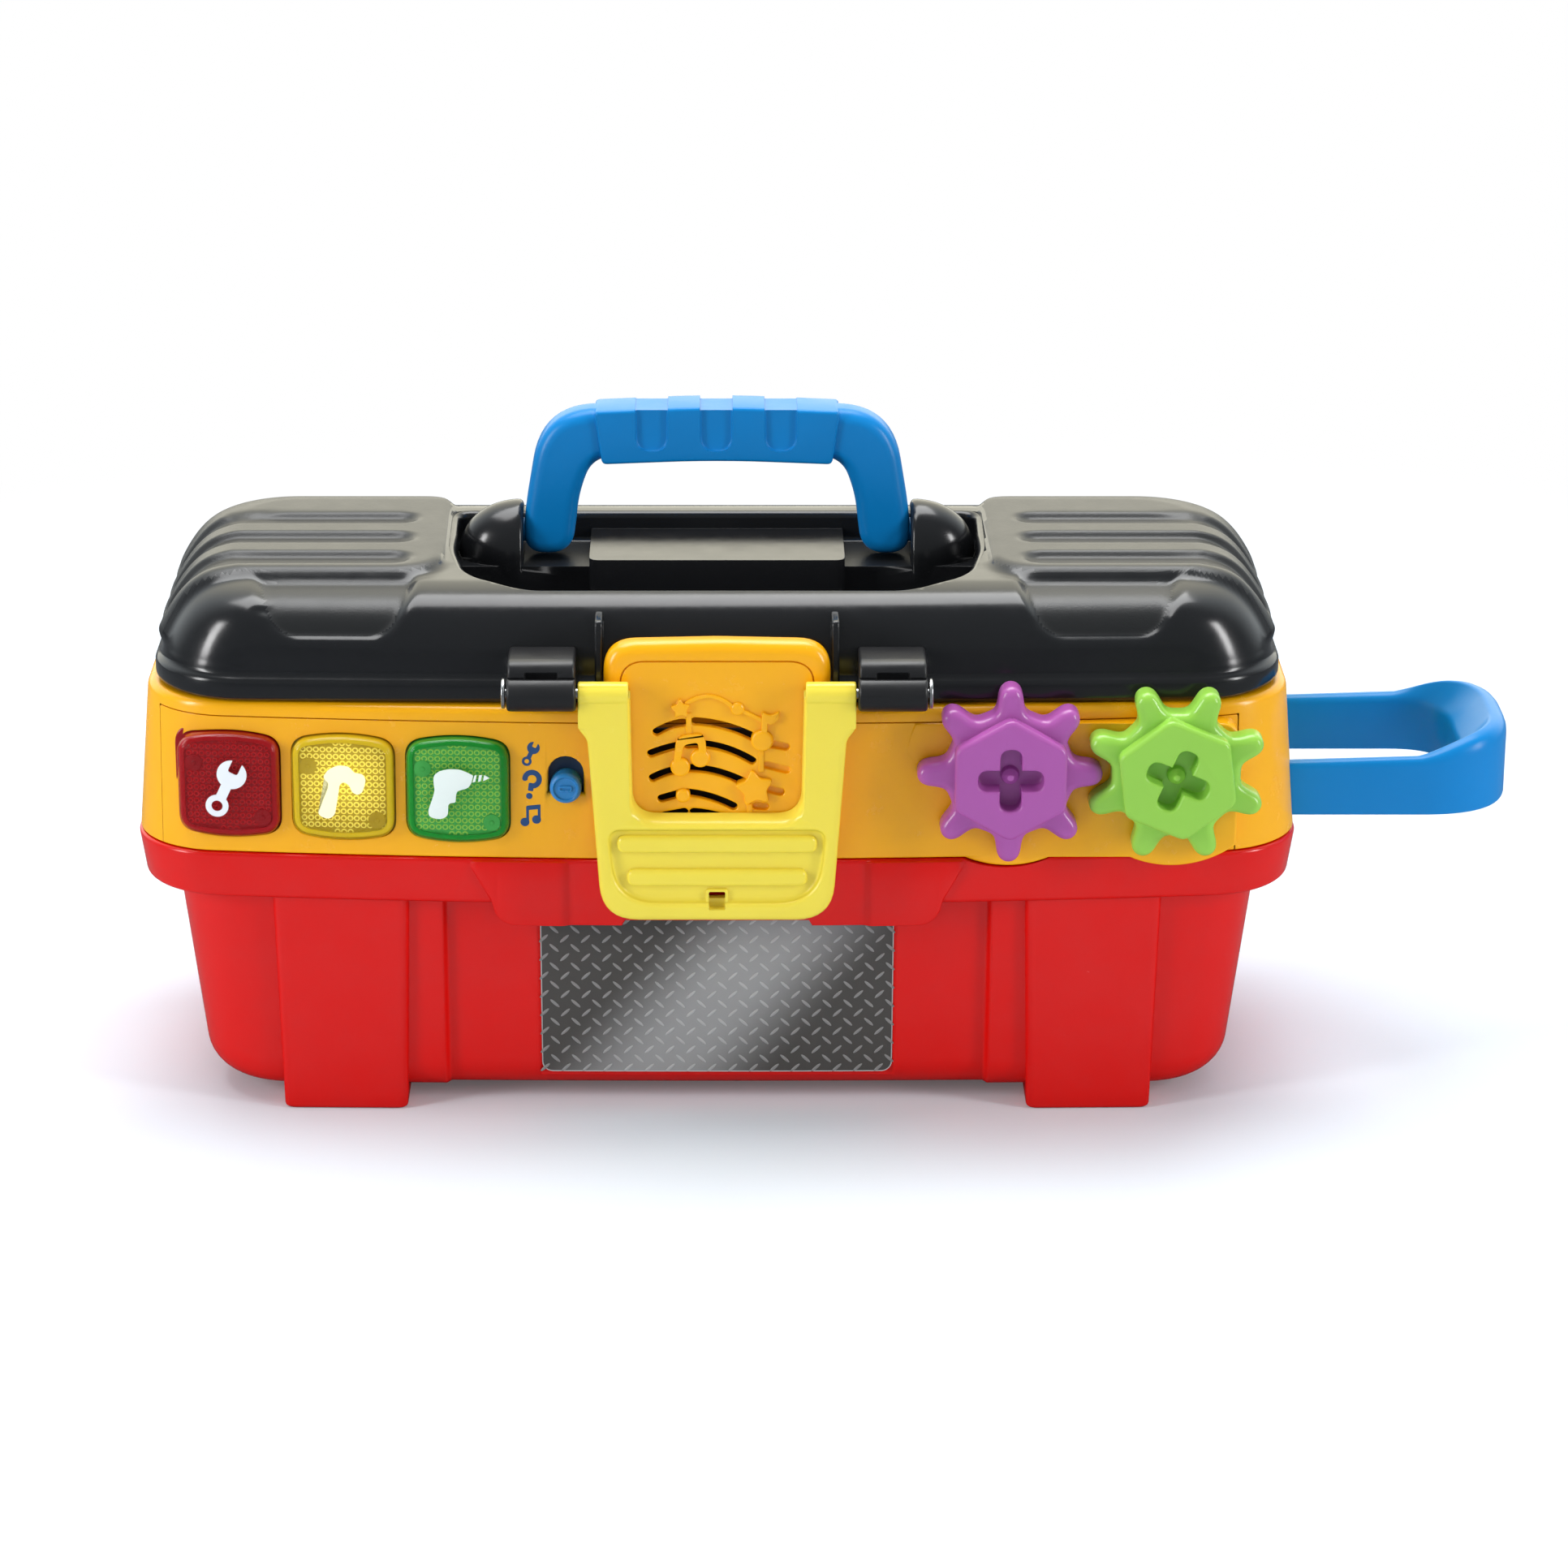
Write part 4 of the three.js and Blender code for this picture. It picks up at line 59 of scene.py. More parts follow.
CAMERA_DOWN = math.radians(19.5)
CAMERA_AWAY = 1.3565
AIM_HEIGHT = 0.0723
PHOTO_SIDE_PIXELS = 1932
FOCAL_PIXELS = 6200
SHIFT_PIXELS = 82.5
SENSOR_MM = 36


def place_camera():
    """Long lens that looks down on the middle of the body and leaves room for the loop at the right."""
    aim = Vector((ROW_SHIFT.x, ROW_SHIFT.y, AIM_HEIGHT))
    data = bpy.data.cameras.new("camera")
    camera = bpy.data.objects.new("camera", data)
    bpy.context.scene.collection.objects.link(camera)
    forward = Vector((0, math.cos(CAMERA_DOWN), -math.sin(CAMERA_DOWN)))
    camera.location = aim - forward * CAMERA_AWAY
    camera.rotation_euler = (math.pi / 2 - CAMERA_DOWN, 0, 0)
    data.sensor_width = SENSOR_MM
    data.lens = SENSOR_MM * FOCAL_PIXELS / PHOTO_SIDE_PIXELS
    data.shift_x = SHIFT_PIXELS / PHOTO_SIDE_PIXELS
    data.clip_start = 0.05
    data.clip_end = 60
    bpy.context.scene.camera = camera


def hang_softbox(name, place, aim, size, watts, mirrored):
    """Rectangular lamp, in metres; one that isn't mirrored lights the box but shows in no gloss."""
    data = bpy.data.lights.new(name, "AREA")
    data.shape = "RECTANGLE"
    data.size, data.size_y = size
    data.energy = watts
    lamp = bpy.data.objects.new(name, data)
    bpy.context.scene.collection.objects.link(lamp)
    lamp.location = place
    lamp.visible_glossy = mirrored
    lamp.rotation_mode = "QUATERNION"
    lamp.rotation_quaternion = (Vector(aim) - Vector(place)).to_track_quat("-Z", "Y")


def add_node(tree, kind, links=(), inputs=(), **settings):
    """One shader or geometry node: settings, values by socket, links as (socket, from node, from socket)."""
    node = tree.nodes.new(kind)
    for key, value in settings.items():
        setattr(node, key, value)
    for socket, value in dict(inputs).items():
        node.inputs[socket].default_value = value
    for socket, source, out in links:
        tree.links.new(source.outputs[out], node.inputs[socket])
    return node


# Sockets of a Mix node that mixes colours
MIX_FIRST, MIX_SECOND, MIX_RESULT = 6, 7, 2
BACKDROP_LIFT = math.radians(22.0)
COOL_GLOSS, WARM_GLOSS = (0.9, 0.97, 1, 1), (1, 0.965, 0.8, 1)


def light_world():
    """Even white room light. Gloss mirrors a dim room with a bright warm backdrop low behind the box."""
    world = bpy.data.worlds.new("room")
    bpy.context.scene.world = world
    world.use_nodes = True
    tree = world.node_tree
    tree.nodes.clear()
    path = add_node(tree, "ShaderNodeLightPath")
    room = add_node(tree, "ShaderNodeBackground", inputs={"Color": (0.93, 0.96, 1, 1), "Strength": 0.42})
    ray = add_node(tree, "ShaderNodeNewGeometry")
    towards = add_node(tree, "ShaderNodeVectorMath", [(0, ray, "Incoming")],
                       {1: (0, -math.cos(BACKDROP_LIFT), -math.sin(BACKDROP_LIFT))}, operation="DOT_PRODUCT")
    glow = add_node(tree, "ShaderNodeMapRange", [("Value", towards, "Value")],
                    {"From Min": 0.05, "From Max": 0.98, "To Min": 0.2, "To Max": 2.1},
                    interpolation_type="SMOOTHSTEP")
    warmth = add_node(tree, "ShaderNodeMapRange", [("Value", towards, "Value")],
                      {"From Min": 0.6, "From Max": 0.95})
    tint = add_node(tree, "ShaderNodeMix", [("Factor", warmth, 0)],
                    {MIX_FIRST: COOL_GLOSS, MIX_SECOND: WARM_GLOSS}, data_type="RGBA")
    backdrop = add_node(tree, "ShaderNodeBackground", [("Color", tint, MIX_RESULT), ("Strength", glow, 0)])
    mirrored_room = add_node(tree, "ShaderNodeMixShader",
                             [(0, path, "Is Glossy Ray"), (1, room, 0), (2, backdrop, 0)])
    seen = add_node(tree, "ShaderNodeBackground", inputs={"Color": (1, 1, 1, 1), "Strength": 1})
    mix = add_node(tree, "ShaderNodeMixShader",
                   [(0, path, "Is Camera Ray"), (1, mirrored_room, 0), (2, seen, 0)])
    add_node(tree, "ShaderNodeOutputWorld", [("Surface", mix, 0)])


FLOOR_HALF = 9
WHITE_FROM, WHITE_TO = 0.34, 0.62


def lay_floor():
    """White paper sweep: it takes the box's shadow near by, turns plain white further out and looks dark
    in gloss."""
    mesh = bpy.data.meshes.new("floor")
    corners = [(-FLOOR_HALF, -FLOOR_HALF, 0), (FLOOR_HALF, -FLOOR_HALF, 0),
               (FLOOR_HALF, FLOOR_HALF, 0), (-FLOOR_HALF, FLOOR_HALF, 0)]
    mesh.from_pydata(corners, [], [(0, 1, 2, 3)])
    floor = bpy.data.objects.new("floor", mesh)
    bpy.context.scene.collection.objects.link(floor)
    paint = bpy.data.materials.new("pale_floor")
    paint.use_nodes = True
    tree = paint.node_tree
    tree.nodes.clear()
    path = add_node(tree, "ShaderNodeLightPath")
    matt = add_node(tree, "ShaderNodeBsdfDiffuse", inputs={"Color": (0.72, 0.79, 0.85, 1)})
    lift = add_node(tree, "ShaderNodeEmission", inputs={"Color": (0.95, 0.98, 1, 1), "Strength": 0.07})
    both = add_node(tree, "ShaderNodeAddShader", [(0, matt, 0), (1, lift, 0)])
    place = add_node(tree, "ShaderNodeTexCoord")
    reach = add_node(tree, "ShaderNodeVectorMath", [(0, place, "Object")], operation="LENGTH")
    away = add_node(tree, "ShaderNodeMapRange", [("Value", reach, "Value")],
                    {"From Min": WHITE_FROM, "From Max": WHITE_TO}, interpolation_type="SMOOTHSTEP")
    white = add_node(tree, "ShaderNodeEmission", inputs={"Color": (1, 1, 1, 1), "Strength": 1})
    seen = add_node(tree, "ShaderNodeMixShader", [(0, away, 0), (1, both, 0), (2, white, 0)])
    shade = add_node(tree, "ShaderNodeBsdfDiffuse", inputs={"Color": (0.16, 0.17, 0.18, 1)})
    bounced = add_node(tree, "ShaderNodeMixShader", [(0, path, "Is Glossy Ray"), (1, matt, 0), (2, shade, 0)])
    mix = add_node(tree, "ShaderNodeMixShader", [(0, path, "Is Camera Ray"), (1, bounced, 0), (2, seen, 0)])
    add_node(tree, "ShaderNodeOutputMaterial", [("Surface", mix, 0)])
    mesh.materials.append(paint)


SOFTBOXES = (
    ("top_softbox", (-0.1, 0.2, 1.3), (0, 0, 0.08), (1.3, 0.7), 17, True),
    ("left_softbox", (-1.5, -0.75, 0.6), (0, 0, 0.07), (0.3, 0.9), 13, True),
    ("right_softbox", (1.5, -0.7, 0.6), (0, 0, 0.07), (0.26, 0.9), 12, True),
    ("back_softbox", (0.05, 2.2, 0.95), (0, 0, 0.12), (2.2, 0.6), 18, False),
)

place_camera()
light_world()
lay_floor()
bpy.context.scene.view_settings.view_transform = "Standard"
for softbox in SOFTBOXES:
    hang_softbox(*softbox)


# Materials. Colours are sRGB hex; pattern sizes are millimetres.

ABS_IOR, POLYSTYRENE_IOR = 1.52, 1.58
DRIFT_MM, RUB_MM, PEEL_MM = 46, 9, 2.6
DRIFT_SHADE = 0.06


def linear(hex_code):
    """sRGB hex to linear RGBA."""
    parts = [int(hex_code[i:i + 2], 16) / 255 for i in (1, 3, 5)]
    return (*[p / 12.92 if p <= 0.04045 else ((p + 0.055) / 1.055) ** 2.4 for p in parts], 1)


def per_metre(size_mm):
    """Noise scale for a pattern whose features are this far apart."""
    return 1 / (size_mm * MM)


def new_paint(name):
    paint = bpy.data.materials.new(name)
    paint.use_nodes = True
    tree = paint.node_tree
    tree.nodes.clear()
    shader = add_node(tree, "ShaderNodeBsdfPrincipled")
    add_node(tree, "ShaderNodeOutputMaterial", [("Surface", shader, 0)])
    place = add_node(tree, "ShaderNodeTexCoord")
    return paint, tree, shader, place


def moulded(name, hex_code, rough=0.3, peel=0.02, scuff=0.12, subsurface=0.0, shine=0.5, round_mm=0.28,
            grain_mm=0.0, grain=0.0):
    """Injection-moulded plastic: a faint orange-peel wave under the gloss, a soft colour drift, fine rub
    marks that dull the gloss in places, and edges broken by a tiny radius. grain is spark-eroded texture."""
    paint, tree, shader, place = new_paint(name)
    shader.inputs["IOR"].default_value = ABS_IOR
    shader.inputs["Specular IOR Level"].default_value = shine
    drift = add_node(tree, "ShaderNodeTexNoise", [("Vector", place, "Object")],
                     {"Scale": per_metre(DRIFT_MM), "Detail": 2})
    dark = tuple(c * (1 - DRIFT_SHADE) for c in linear(hex_code)[:3]) + (1,)
    tone = add_node(tree, "ShaderNodeMix", [("Factor", drift, "Fac")],
                    {MIX_FIRST: dark, MIX_SECOND: linear(hex_code)}, data_type="RGBA")
    tree.links.new(tone.outputs[MIX_RESULT], shader.inputs["Base Color"])
    rub = add_node(tree, "ShaderNodeTexNoise", [("Vector", place, "Object")],
                   {"Scale": per_metre(RUB_MM), "Detail": 6, "Roughness": 0.7})
    dull = add_node(tree, "ShaderNodeMapRange", [("Value", rub, "Fac")],
                    {"From Min": 0.35, "From Max": 0.75, "To Min": rough, "To Max": rough + scuff})
    tree.links.new(dull.outputs[0], shader.inputs["Roughness"])
    wave = add_node(tree, "ShaderNodeTexNoise", [("Vector", place, "Object")],
                    {"Scale": per_metre(PEEL_MM), "Detail": 1})
    soft_edge = add_node(tree, "ShaderNodeBevel", inputs={"Radius": round_mm * MM}, samples=4)
    bump = add_node(tree, "ShaderNodeBump", [("Height", wave, "Fac"), ("Normal", soft_edge, 0)],
                    {"Strength": 1, "Distance": peel * MM})
    if grain:
        spark = add_node(tree, "ShaderNodeTexNoise", [("Vector", place, "Object")],
                         {"Scale": per_metre(grain_mm), "Detail": 3, "Roughness": 0.6})
        bump = add_node(tree, "ShaderNodeBump", [("Height", spark, "Fac"), ("Normal", bump, 0)],
                        {"Strength": 1, "Distance": grain * MM})
    tree.links.new(bump.outputs[0], shader.inputs["Normal"])
    if subsurface:
        shader.inputs["Subsurface Weight"].default_value = subsurface
        shader.inputs["Subsurface Radius"].default_value = (1, 0.6, 0.3)
        shader.inputs["Subsurface Scale"].default_value = 1.5 * MM
    return paint


def drawn_metal(name, hex_code, rough, line_mm):
    """Zinc-plated drawn wire: bright, with fine lines along X that stretch its highlight."""
    paint, tree, shader, place = new_paint(name)
    shader.inputs["Metallic"].default_value = 1
    shader.inputs["Base Color"].default_value = linear(hex_code)
    stretch = add_node(tree, "ShaderNodeMapping", [("Vector", place, "Object")], {"Scale": (0.08, 1, 1)})
    streak = add_node(tree, "ShaderNodeTexNoise", [("Vector", stretch, 0)],
                      {"Scale": per_metre(line_mm), "Detail": 4})
    dull = add_node(tree, "ShaderNodeMapRange", [("Value", streak, "Fac")],
                    {"To Min": rough * 0.7, "To Max": rough * 1.4})
    tree.links.new(dull.outputs[0], shader.inputs["Roughness"])
    bump = add_node(tree, "ShaderNodeBump", [("Height", streak, "Fac")],
                    {"Strength": 0.4, "Distance": 0.01 * MM})
    tree.links.new(bump.outputs[0], shader.inputs["Normal"])
    return paint


def tinted(name, hex_code, clear, rim):
    """Clear tinted polystyrene: see-through face on, deeper and glossier towards its curved edges."""
    paint, tree, shader, place = new_paint(name)
    shader.inputs["Base Color"].default_value = linear(hex_code)
    shader.inputs["Roughness"].default_value = 0.04
    shader.inputs["IOR"].default_value = POLYSTYRENE_IOR
    shader.inputs["Coat Weight"].default_value = 1
    shader.inputs["Coat Roughness"].default_value = 0.02
    facing = add_node(tree, "ShaderNodeLayerWeight", inputs={"Blend": 0.4})
    depth = add_node(tree, "ShaderNodeMapRange", [("Value", facing, "Facing")],
                     {"From Min": 0.1, "From Max": 0.85, "To Min": clear, "To Max": rim})
    tree.links.new(depth.outputs[0], shader.inputs["Alpha"])
    flow = add_node(tree, "ShaderNodeTexNoise", [("Vector", place, "Object")],
                    {"Scale": per_metre(7), "Detail": 1})
    bump = add_node(tree, "ShaderNodeBump", [("Height", flow, "Fac")],
                    {"Strength": 1, "Distance": 0.02 * MM})
    tree.links.new(bump.outputs[0], shader.inputs["Normal"])
    return paint


def glowing(name, hex_code, strength, reach_mm):
    """Lit lens plastic: the lamp behind the middle button shines through and fades outwards."""
    paint, tree, shader, place = new_paint(name)
    shader.inputs["Base Color"].default_value = linear(hex_code)
    shader.inputs["Roughness"].default_value = 0.15
    shader.inputs["Emission Color"].default_value = linear("#FFF06A")
    away = add_node(tree, "ShaderNodeVectorMath", [(0, place, "Object")], {1: LIT_MIDDLE},
                    operation="DISTANCE")
    fade = add_node(tree, "ShaderNodeMapRange", [("Value", away, "Value")],
                    {"From Min": 0, "From Max": reach_mm * MM, "To Min": strength, "To Max": strength * 0.1})
    tree.links.new(fade.outputs[0], shader.inputs["Emission Strength"])
    return paint


def shaded_foil(name, dark, bright):
    """Printed foil: its picture of sheet metal has one bright slanting band and darkens to both sides."""
    paint, tree, shader, place = new_paint(name)
    away = add_node(tree, "ShaderNodeVectorMath", [(0, place, "Object")], {1: STREAK_MIDDLE},
                    operation="SUBTRACT")
    side = add_node(tree, "ShaderNodeVectorMath", [(0, away, 0)], {1: ACROSS_STREAK}, operation="DOT_PRODUCT")
    far = add_node(tree, "ShaderNodeMath", [(0, side, "Value")], operation="ABSOLUTE")
    share = add_node(tree, "ShaderNodeMapRange", [("Value", far, 0)],
                     {"From Min": 0.12 * STREAK_REACH_MM * MM, "From Max": STREAK_REACH_MM * MM},
                     interpolation_type="SMOOTHSTEP")
    tone = add_node(tree, "ShaderNodeMix", [("Factor", share, 0)],
                    {MIX_FIRST: linear(bright), MIX_SECOND: linear(dark)}, data_type="RGBA")
    tree.links.new(tone.outputs[MIX_RESULT], shader.inputs["Base Color"])
    rub = add_node(tree, "ShaderNodeTexNoise", [("Vector", place, "Object")],
                   {"Scale": per_metre(6), "Detail": 4})
    dull = add_node(tree, "ShaderNodeMapRange", [("Value", rub, "Fac")],
                    {"To Min": FOIL_ROUGH, "To Max": FOIL_ROUGH + 0.12})
    tree.links.new(dull.outputs[0], shader.inputs["Roughness"])
    return paint


# The lit button's middle and the foil's bright band, in the frame's metres
LIT_MIDDLE = (-0.1252, -0.0548, 0.0932)
STREAK_MIDDLE = (-0.0265, 0, 0.033)
ACROSS_STREAK = (0.78, 0, -0.62)
STREAK_REACH_MM = 25.0
FOIL_ROUGH = 0.3

# Finishes shared by several pieces: polished caps show no peel, and pad print lies flat and matt
POLISHED = {"peel": 0, "scuff": 0.02}
PRINTED = {"rough": 0.5, "peel": 0, "scuff": 0.02, "round_mm": 0.05}

PAINT = {
    # Shells, latch, gears and handle
    "red_plastic": moulded("gloss_red_abs", "#DE0C06", 0.2, scuff=0.08),
    "orange_plastic": moulded("gloss_orange_abs", "#FFB408", 0.22, scuff=0.08, subsurface=0.04),
    "black_plastic": moulded("gloss_black_abs", "#1B1C1E", 0.16, peel=0.01, scuff=0.08),
    "black_texture": moulded("spark_textured_black_abs", "#1F2021", 0.34, scuff=0.05, grain_mm=0.5,
                             grain=0.04),
    "blue_plastic": moulded("satin_blue_polypropylene", "#0683CC", 0.3, scuff=0.06, shine=0.26),
    "yellow_plastic": moulded("gloss_yellow_abs", "#F6E04C", 0.22, scuff=0.06, subsurface=0.05),
    "purple_plastic": moulded("gloss_purple_abs", "#AF5AA8", 0.22, scuff=0.06, subsurface=0.05),
    "green_plastic": moulded("gloss_green_abs", "#98D150", 0.22, scuff=0.06, subsurface=0.05),
    # Fittings and electronics
    "black_fittings": moulded("satin_black_acetal", "#1C1C1E", 0.34),
    "battery_case": moulded("shrink_wrap_foil", "#2F6E4E", 0.3),
    "speaker_cone": moulded("pressed_paper_cone", "#191817", 0.8, grain_mm=0.6, grain=0.06),
    "circuit_board": moulded("glass_epoxy_board", "#1C6B3C", 0.35),
    "plated_steel": drawn_metal("zinc_plated_steel", "#C9CBCC", 0.28, 0.3),
    "led_clear": moulded("clear_epoxy", "#E8ECEC", 0.12, subsurface=0.6),
    "black_felt": moulded("black_felt_cloth", "#141210", 0.95, peel=0, grain_mm=0.4, grain=0.08),
    # Button caps, the walls inside them, their lens plates, lens rings and printed tools
    "red_lens": tinted("tinted_red_cap", "#C01820", 0.13, 0.7),
    "yellow_lens": tinted("tinted_yellow_cap", "#E8CC22", 0.1, 0.6),
    "green_lens": tinted("tinted_green_cap", "#2CB040", 0.11, 0.66),
    "red_wall": moulded("red_cap_wall", "#A00A12", 0.1, **POLISHED),
    "yellow_wall": moulded("yellow_cap_wall", "#E0BE22", 0.1, **POLISHED),
    "green_wall": moulded("green_cap_wall", "#118A28", 0.1, **POLISHED),
    # Each lens plate and its rings are one plastic in two tones: the rings are painted brighter as painted
    # highlights where the lens cells catch light, and the red and yellow plates are painted darker as painted
    # shade between the cells.
    "red_core": moulded("red_lens_plate_painted_shade", "#98141A", 0.12, **POLISHED),
    "yellow_core": glowing("lit_yellow_plate_painted_shade", "#A8871A", 0.42, 12),
    "green_core": moulded("green_lens_plate", "#5CC060", 0.12, **POLISHED),
    "red_ring": moulded("red_lens_rings_painted_highlight", "#D8262A", 0.1, **POLISHED),
    "yellow_ring": glowing("lit_yellow_rings_painted_highlight", "#FFEE70", 0.75, 14),
    "green_ring": moulded("green_lens_rings_painted_highlight", "#C8F56E", 0.1, **POLISHED),
    "red_print": moulded("white_pad_print", "#F1F4F8", **PRINTED),
    "yellow_print": glowing("lit_white_pad_print", "#FBF8D8", 0.35, 16),
    "green_print": moulded("white_green_pad_print", "#EDF6F0", **PRINTED),
    # Switch, marks beside it and the label
    "blue_print": moulded("blue_pad_print", "#1A4C86", **PRINTED),
    # The switch plate's dark blue is partly its own colour and partly painted shade inside the slot.
    "navy_plastic": moulded("navy_switch_plate_with_slot_shade", "#12335F", 0.35),
    "sky_blue_plastic": moulded("gloss_sky_blue_abs", "#2A86CC", 0.25, subsurface=0.05),
    "label_foil": shaded_foil("printed_foil_sheet", "#4C4946", "#989796"),
    "label_mark": shaded_foil("printed_foil_tread", "#888684", "#B0AFAE"),
    "label_edge": moulded("bare_foil_edge", "#C9C8C6", 0.3, round_mm=0.05, **POLISHED),
}

for part in frame["record"]["subparts"]:
    for worn in nodes[part["node"]].material_slots:
        worn.material = PAINT[part["material_slot"]]


# Solids: plain closed meshes in millimetres, joined, cut and kept in turn

def closed(points, faces):
    mesh = bpy.data.meshes.new("work")
    mesh.from_pydata([tuple(p) for p in points], [], faces)
    return mesh


def outward(mesh):
    """Turns a closed skin inside out if its volume is negative."""
    bm = bmesh.new()
    bm.from_mesh(mesh)
    if bm.calc_volume(signed=True) < 0:
        bmesh.ops.reverse_faces(bm, faces=bm.faces)
    bm.to_mesh(mesh)
    bm.free()
    return mesh


def ring_faces(low, high, count):
    """Quads between two rings of points that start at the indices low and high."""
    return [(low + i, low + (i + 1) % count, high + (i + 1) % count, high + i) for i in range(count)]


def loft(rings):
    """A closed skin through rings of equal count; each ring runs the same way round."""
    rings = [np.asarray(ring, dtype=float) for ring in rings]
    count = len(rings[0])
    faces = []
    for level in range(len(rings) - 1):
        faces += ring_faces(level * count, (level + 1) * count, count)
    faces.append(tuple(range(count - 1, -1, -1)))
    faces.append(tuple((len(rings) - 1) * count + i for i in range(count)))
    return outward(closed(np.vstack(rings), faces))


WAYS = {"+": "UNION", "-": "DIFFERENCE", "&": "INTERSECT"}


def shaped(base, *steps):
    """Adds (+), cuts (-) or keeps the overlap (&) of solids, one after the other."""
    scene = bpy.context.scene.collection
    work = bpy.data.objects.new("work", base)
    helpers = [work]
    scene.objects.link(work)
    for way, given in zip(steps[::2], steps[1::2]):
        tools = given if isinstance(given, (list, tuple)) else [given]
        for tool in tools:
            helper = bpy.data.objects.new("tool", tool)
            scene.objects.link(helper)
            helpers.append(helper)
            boolean = work.modifiers.new("step", "BOOLEAN")
            boolean.operation = WAYS[way]
            boolean.solver = "MANIFOLD"
            boolean.object = helper
    seen = bpy.context.evaluated_depsgraph_get()
    mesh = bpy.data.meshes.new_from_object(work.evaluated_get(seen))
    for helper in helpers:
        bpy.data.objects.remove(helper)
    return mesh


def moved(mesh, matrix):
    copy = mesh.copy()
    copy.transform(matrix)
    return copy


def turned(angle, axis="Y"):
    return Matrix.Rotation(angle, 4, axis)


def bent(mesh, change):
    """Moves every point by change(points), which takes and returns an n by 3 array."""
    points = np.empty(len(mesh.vertices) * 3)
    mesh.vertices.foreach_get("co", points)
    mesh.vertices.foreach_set("co", change(points.reshape(-1, 3)).ravel())
    mesh.update()
    return mesh


def soft_outline(corners, steps=6, reach=6.0):
    """Straight runs with round corners, each (x, y, radius); long runs are split every reach mm."""
    made = []
    total = len(corners)
    for i, (x, y, radius) in enumerate(corners):
        here = np.array((x, y), dtype=float)
        ends = []
        for other in (corners[i - 1], corners[(i + 1) % total]):
            way = np.array(other[:2], dtype=float) - here
            ends.append(here + way / np.linalg.norm(way) * radius)
        if radius > 0:
            for t in np.linspace(0, 1, steps + 1):
                made.append((1 - t) ** 2 * ends[0] + 2 * t * (1 - t) * here + t * t * ends[1])
        else:
            made.append(here)
    split = []
    for point, after in zip(made, made[1:] + made[:1]):
        parts = max(1, int(math.ceil(np.linalg.norm(after - point) / reach)))
        split += [point + (after - point) * k / parts for k in range(parts)]
    return np.array(split)


def soft_box(x0, x1, y0, y1, radius, steps=6, reach=6.0):
    places = ((x0, y0), (x1, y0), (x1, y1), (x0, y1))
    return soft_outline([(x, y, radius) for x, y in places], steps, reach)


def mirror_halved(half, steps=6, reach=6.0):
    """An outline from its right half's corners, each (x, y, radius), copied to the left."""
    return soft_outline(list(half) + [(-x, y, radius) for x, y, radius in half[::-1]], steps, reach)


def circle(radius, x=0.0, y=0.0, steps=48):
    turn = np.linspace(0, 2 * math.pi, steps, endpoint=False)
    return np.stack((x + radius * np.cos(turn), y + radius * np.sin(turn)), axis=1)


SHARPEST_LEAN = 0.35


def grown(outline, grow):
    """The outline with every side moved outwards; sharp corners stop at SHARPEST_LEAN."""
    last = outline - np.roll(outline, 1, axis=0)
    after = np.roll(outline, -1, axis=0) - outline
    area = np.sum(outline[:, 0] * np.roll(outline[:, 1], -1) - np.roll(outline[:, 0], -1) * outline[:, 1])
    way = math.copysign(1, area)
    sides = [way * np.stack((run[:, 1], -run[:, 0]), axis=1) / np.linalg.norm(run, axis=1)[:, None]
             for run in (last, after)]
    lean = sides[0] + sides[1]
    both = np.maximum(SHARPEST_LEAN, 1 + np.sum(sides[0] * sides[1], axis=1))
    return outline + lean * (grow / both)[:, None]


def edge_steps(round_mm, steps):
    """(depth, inset) pairs of a quarter round, from the face to the side."""
    if round_mm == 0:
        return [(0, 0)]
    turns = [k / steps * math.pi / 2 for k in range(steps + 1)]
    return [(abs(round_mm) * (1 - math.cos(t)), round_mm * (1 - math.sin(t))) for t in turns]


def levels(low, high, low_round, high_round, steps=4):
    """(height, inset) of each ring of a body with rounded ends; a negative round flares outwards."""
    ends = [(low + depth, inset) for depth, inset in edge_steps(low_round, steps)]
    return ends + [(high - depth, inset) for depth, inset in reversed(edge_steps(high_round, steps))]


# The axes that an outline can be swept along
ALONG_X, ALONG_Y, ALONG_Z = 0, 1, 2


def placed(outline, axis, place):
    """The outline's points at one place along the axis that it lies across."""
    return np.insert(outline, axis, place, axis=1)


def swept(outline, axis, low, high, low_round=0.0, high_round=0.0, steps=4):
    """A solid that carries an outline along an axis, with rounded or flared ends."""
    return loft([placed(grown(outline, -inset), axis, place)
                 for place, inset in levels(low, high, low_round, high_round, steps)])


def frontal(outline, front, back, front_round=0.0, back_round=0.0, steps=4):
    """A front view outline (x, z) given depth from y = front to y = back."""
    return swept(outline, ALONG_Y, front, back, front_round, back_round, steps)


def upright(outline, low, high, low_round=0.0, high_round=0.0, steps=4):
    """A plan outline (x, y) given height from z = low to z = high."""
    return swept(outline, ALONG_Z, low, high, low_round, high_round, steps)


def sideways(outline, ends, round_mm=0.0):
    """A side view outline (y, z) given width between two x places, in either order."""
    return swept(outline, ALONG_X, min(ends), max(ends), round_mm, round_mm)


def rod_x(radius, ends, y, z, round_mm=0.0, steps=48):
    return sideways(circle(radius, y, z, steps), ends, round_mm)


def rod_y(radius, front, back, x, z, round_mm=0.0, steps=48):
    return frontal(circle(radius, x, z, steps), front, back, round_mm, round_mm)


def block(x, y, z):
    return frontal(np.array(((x[0], z[0]), (x[1], z[0]), (x[1], z[1]), (x[0], z[1]))), y[0], y[1])


MERGE_MM, SLIVER_MM = 0.004, 0.002


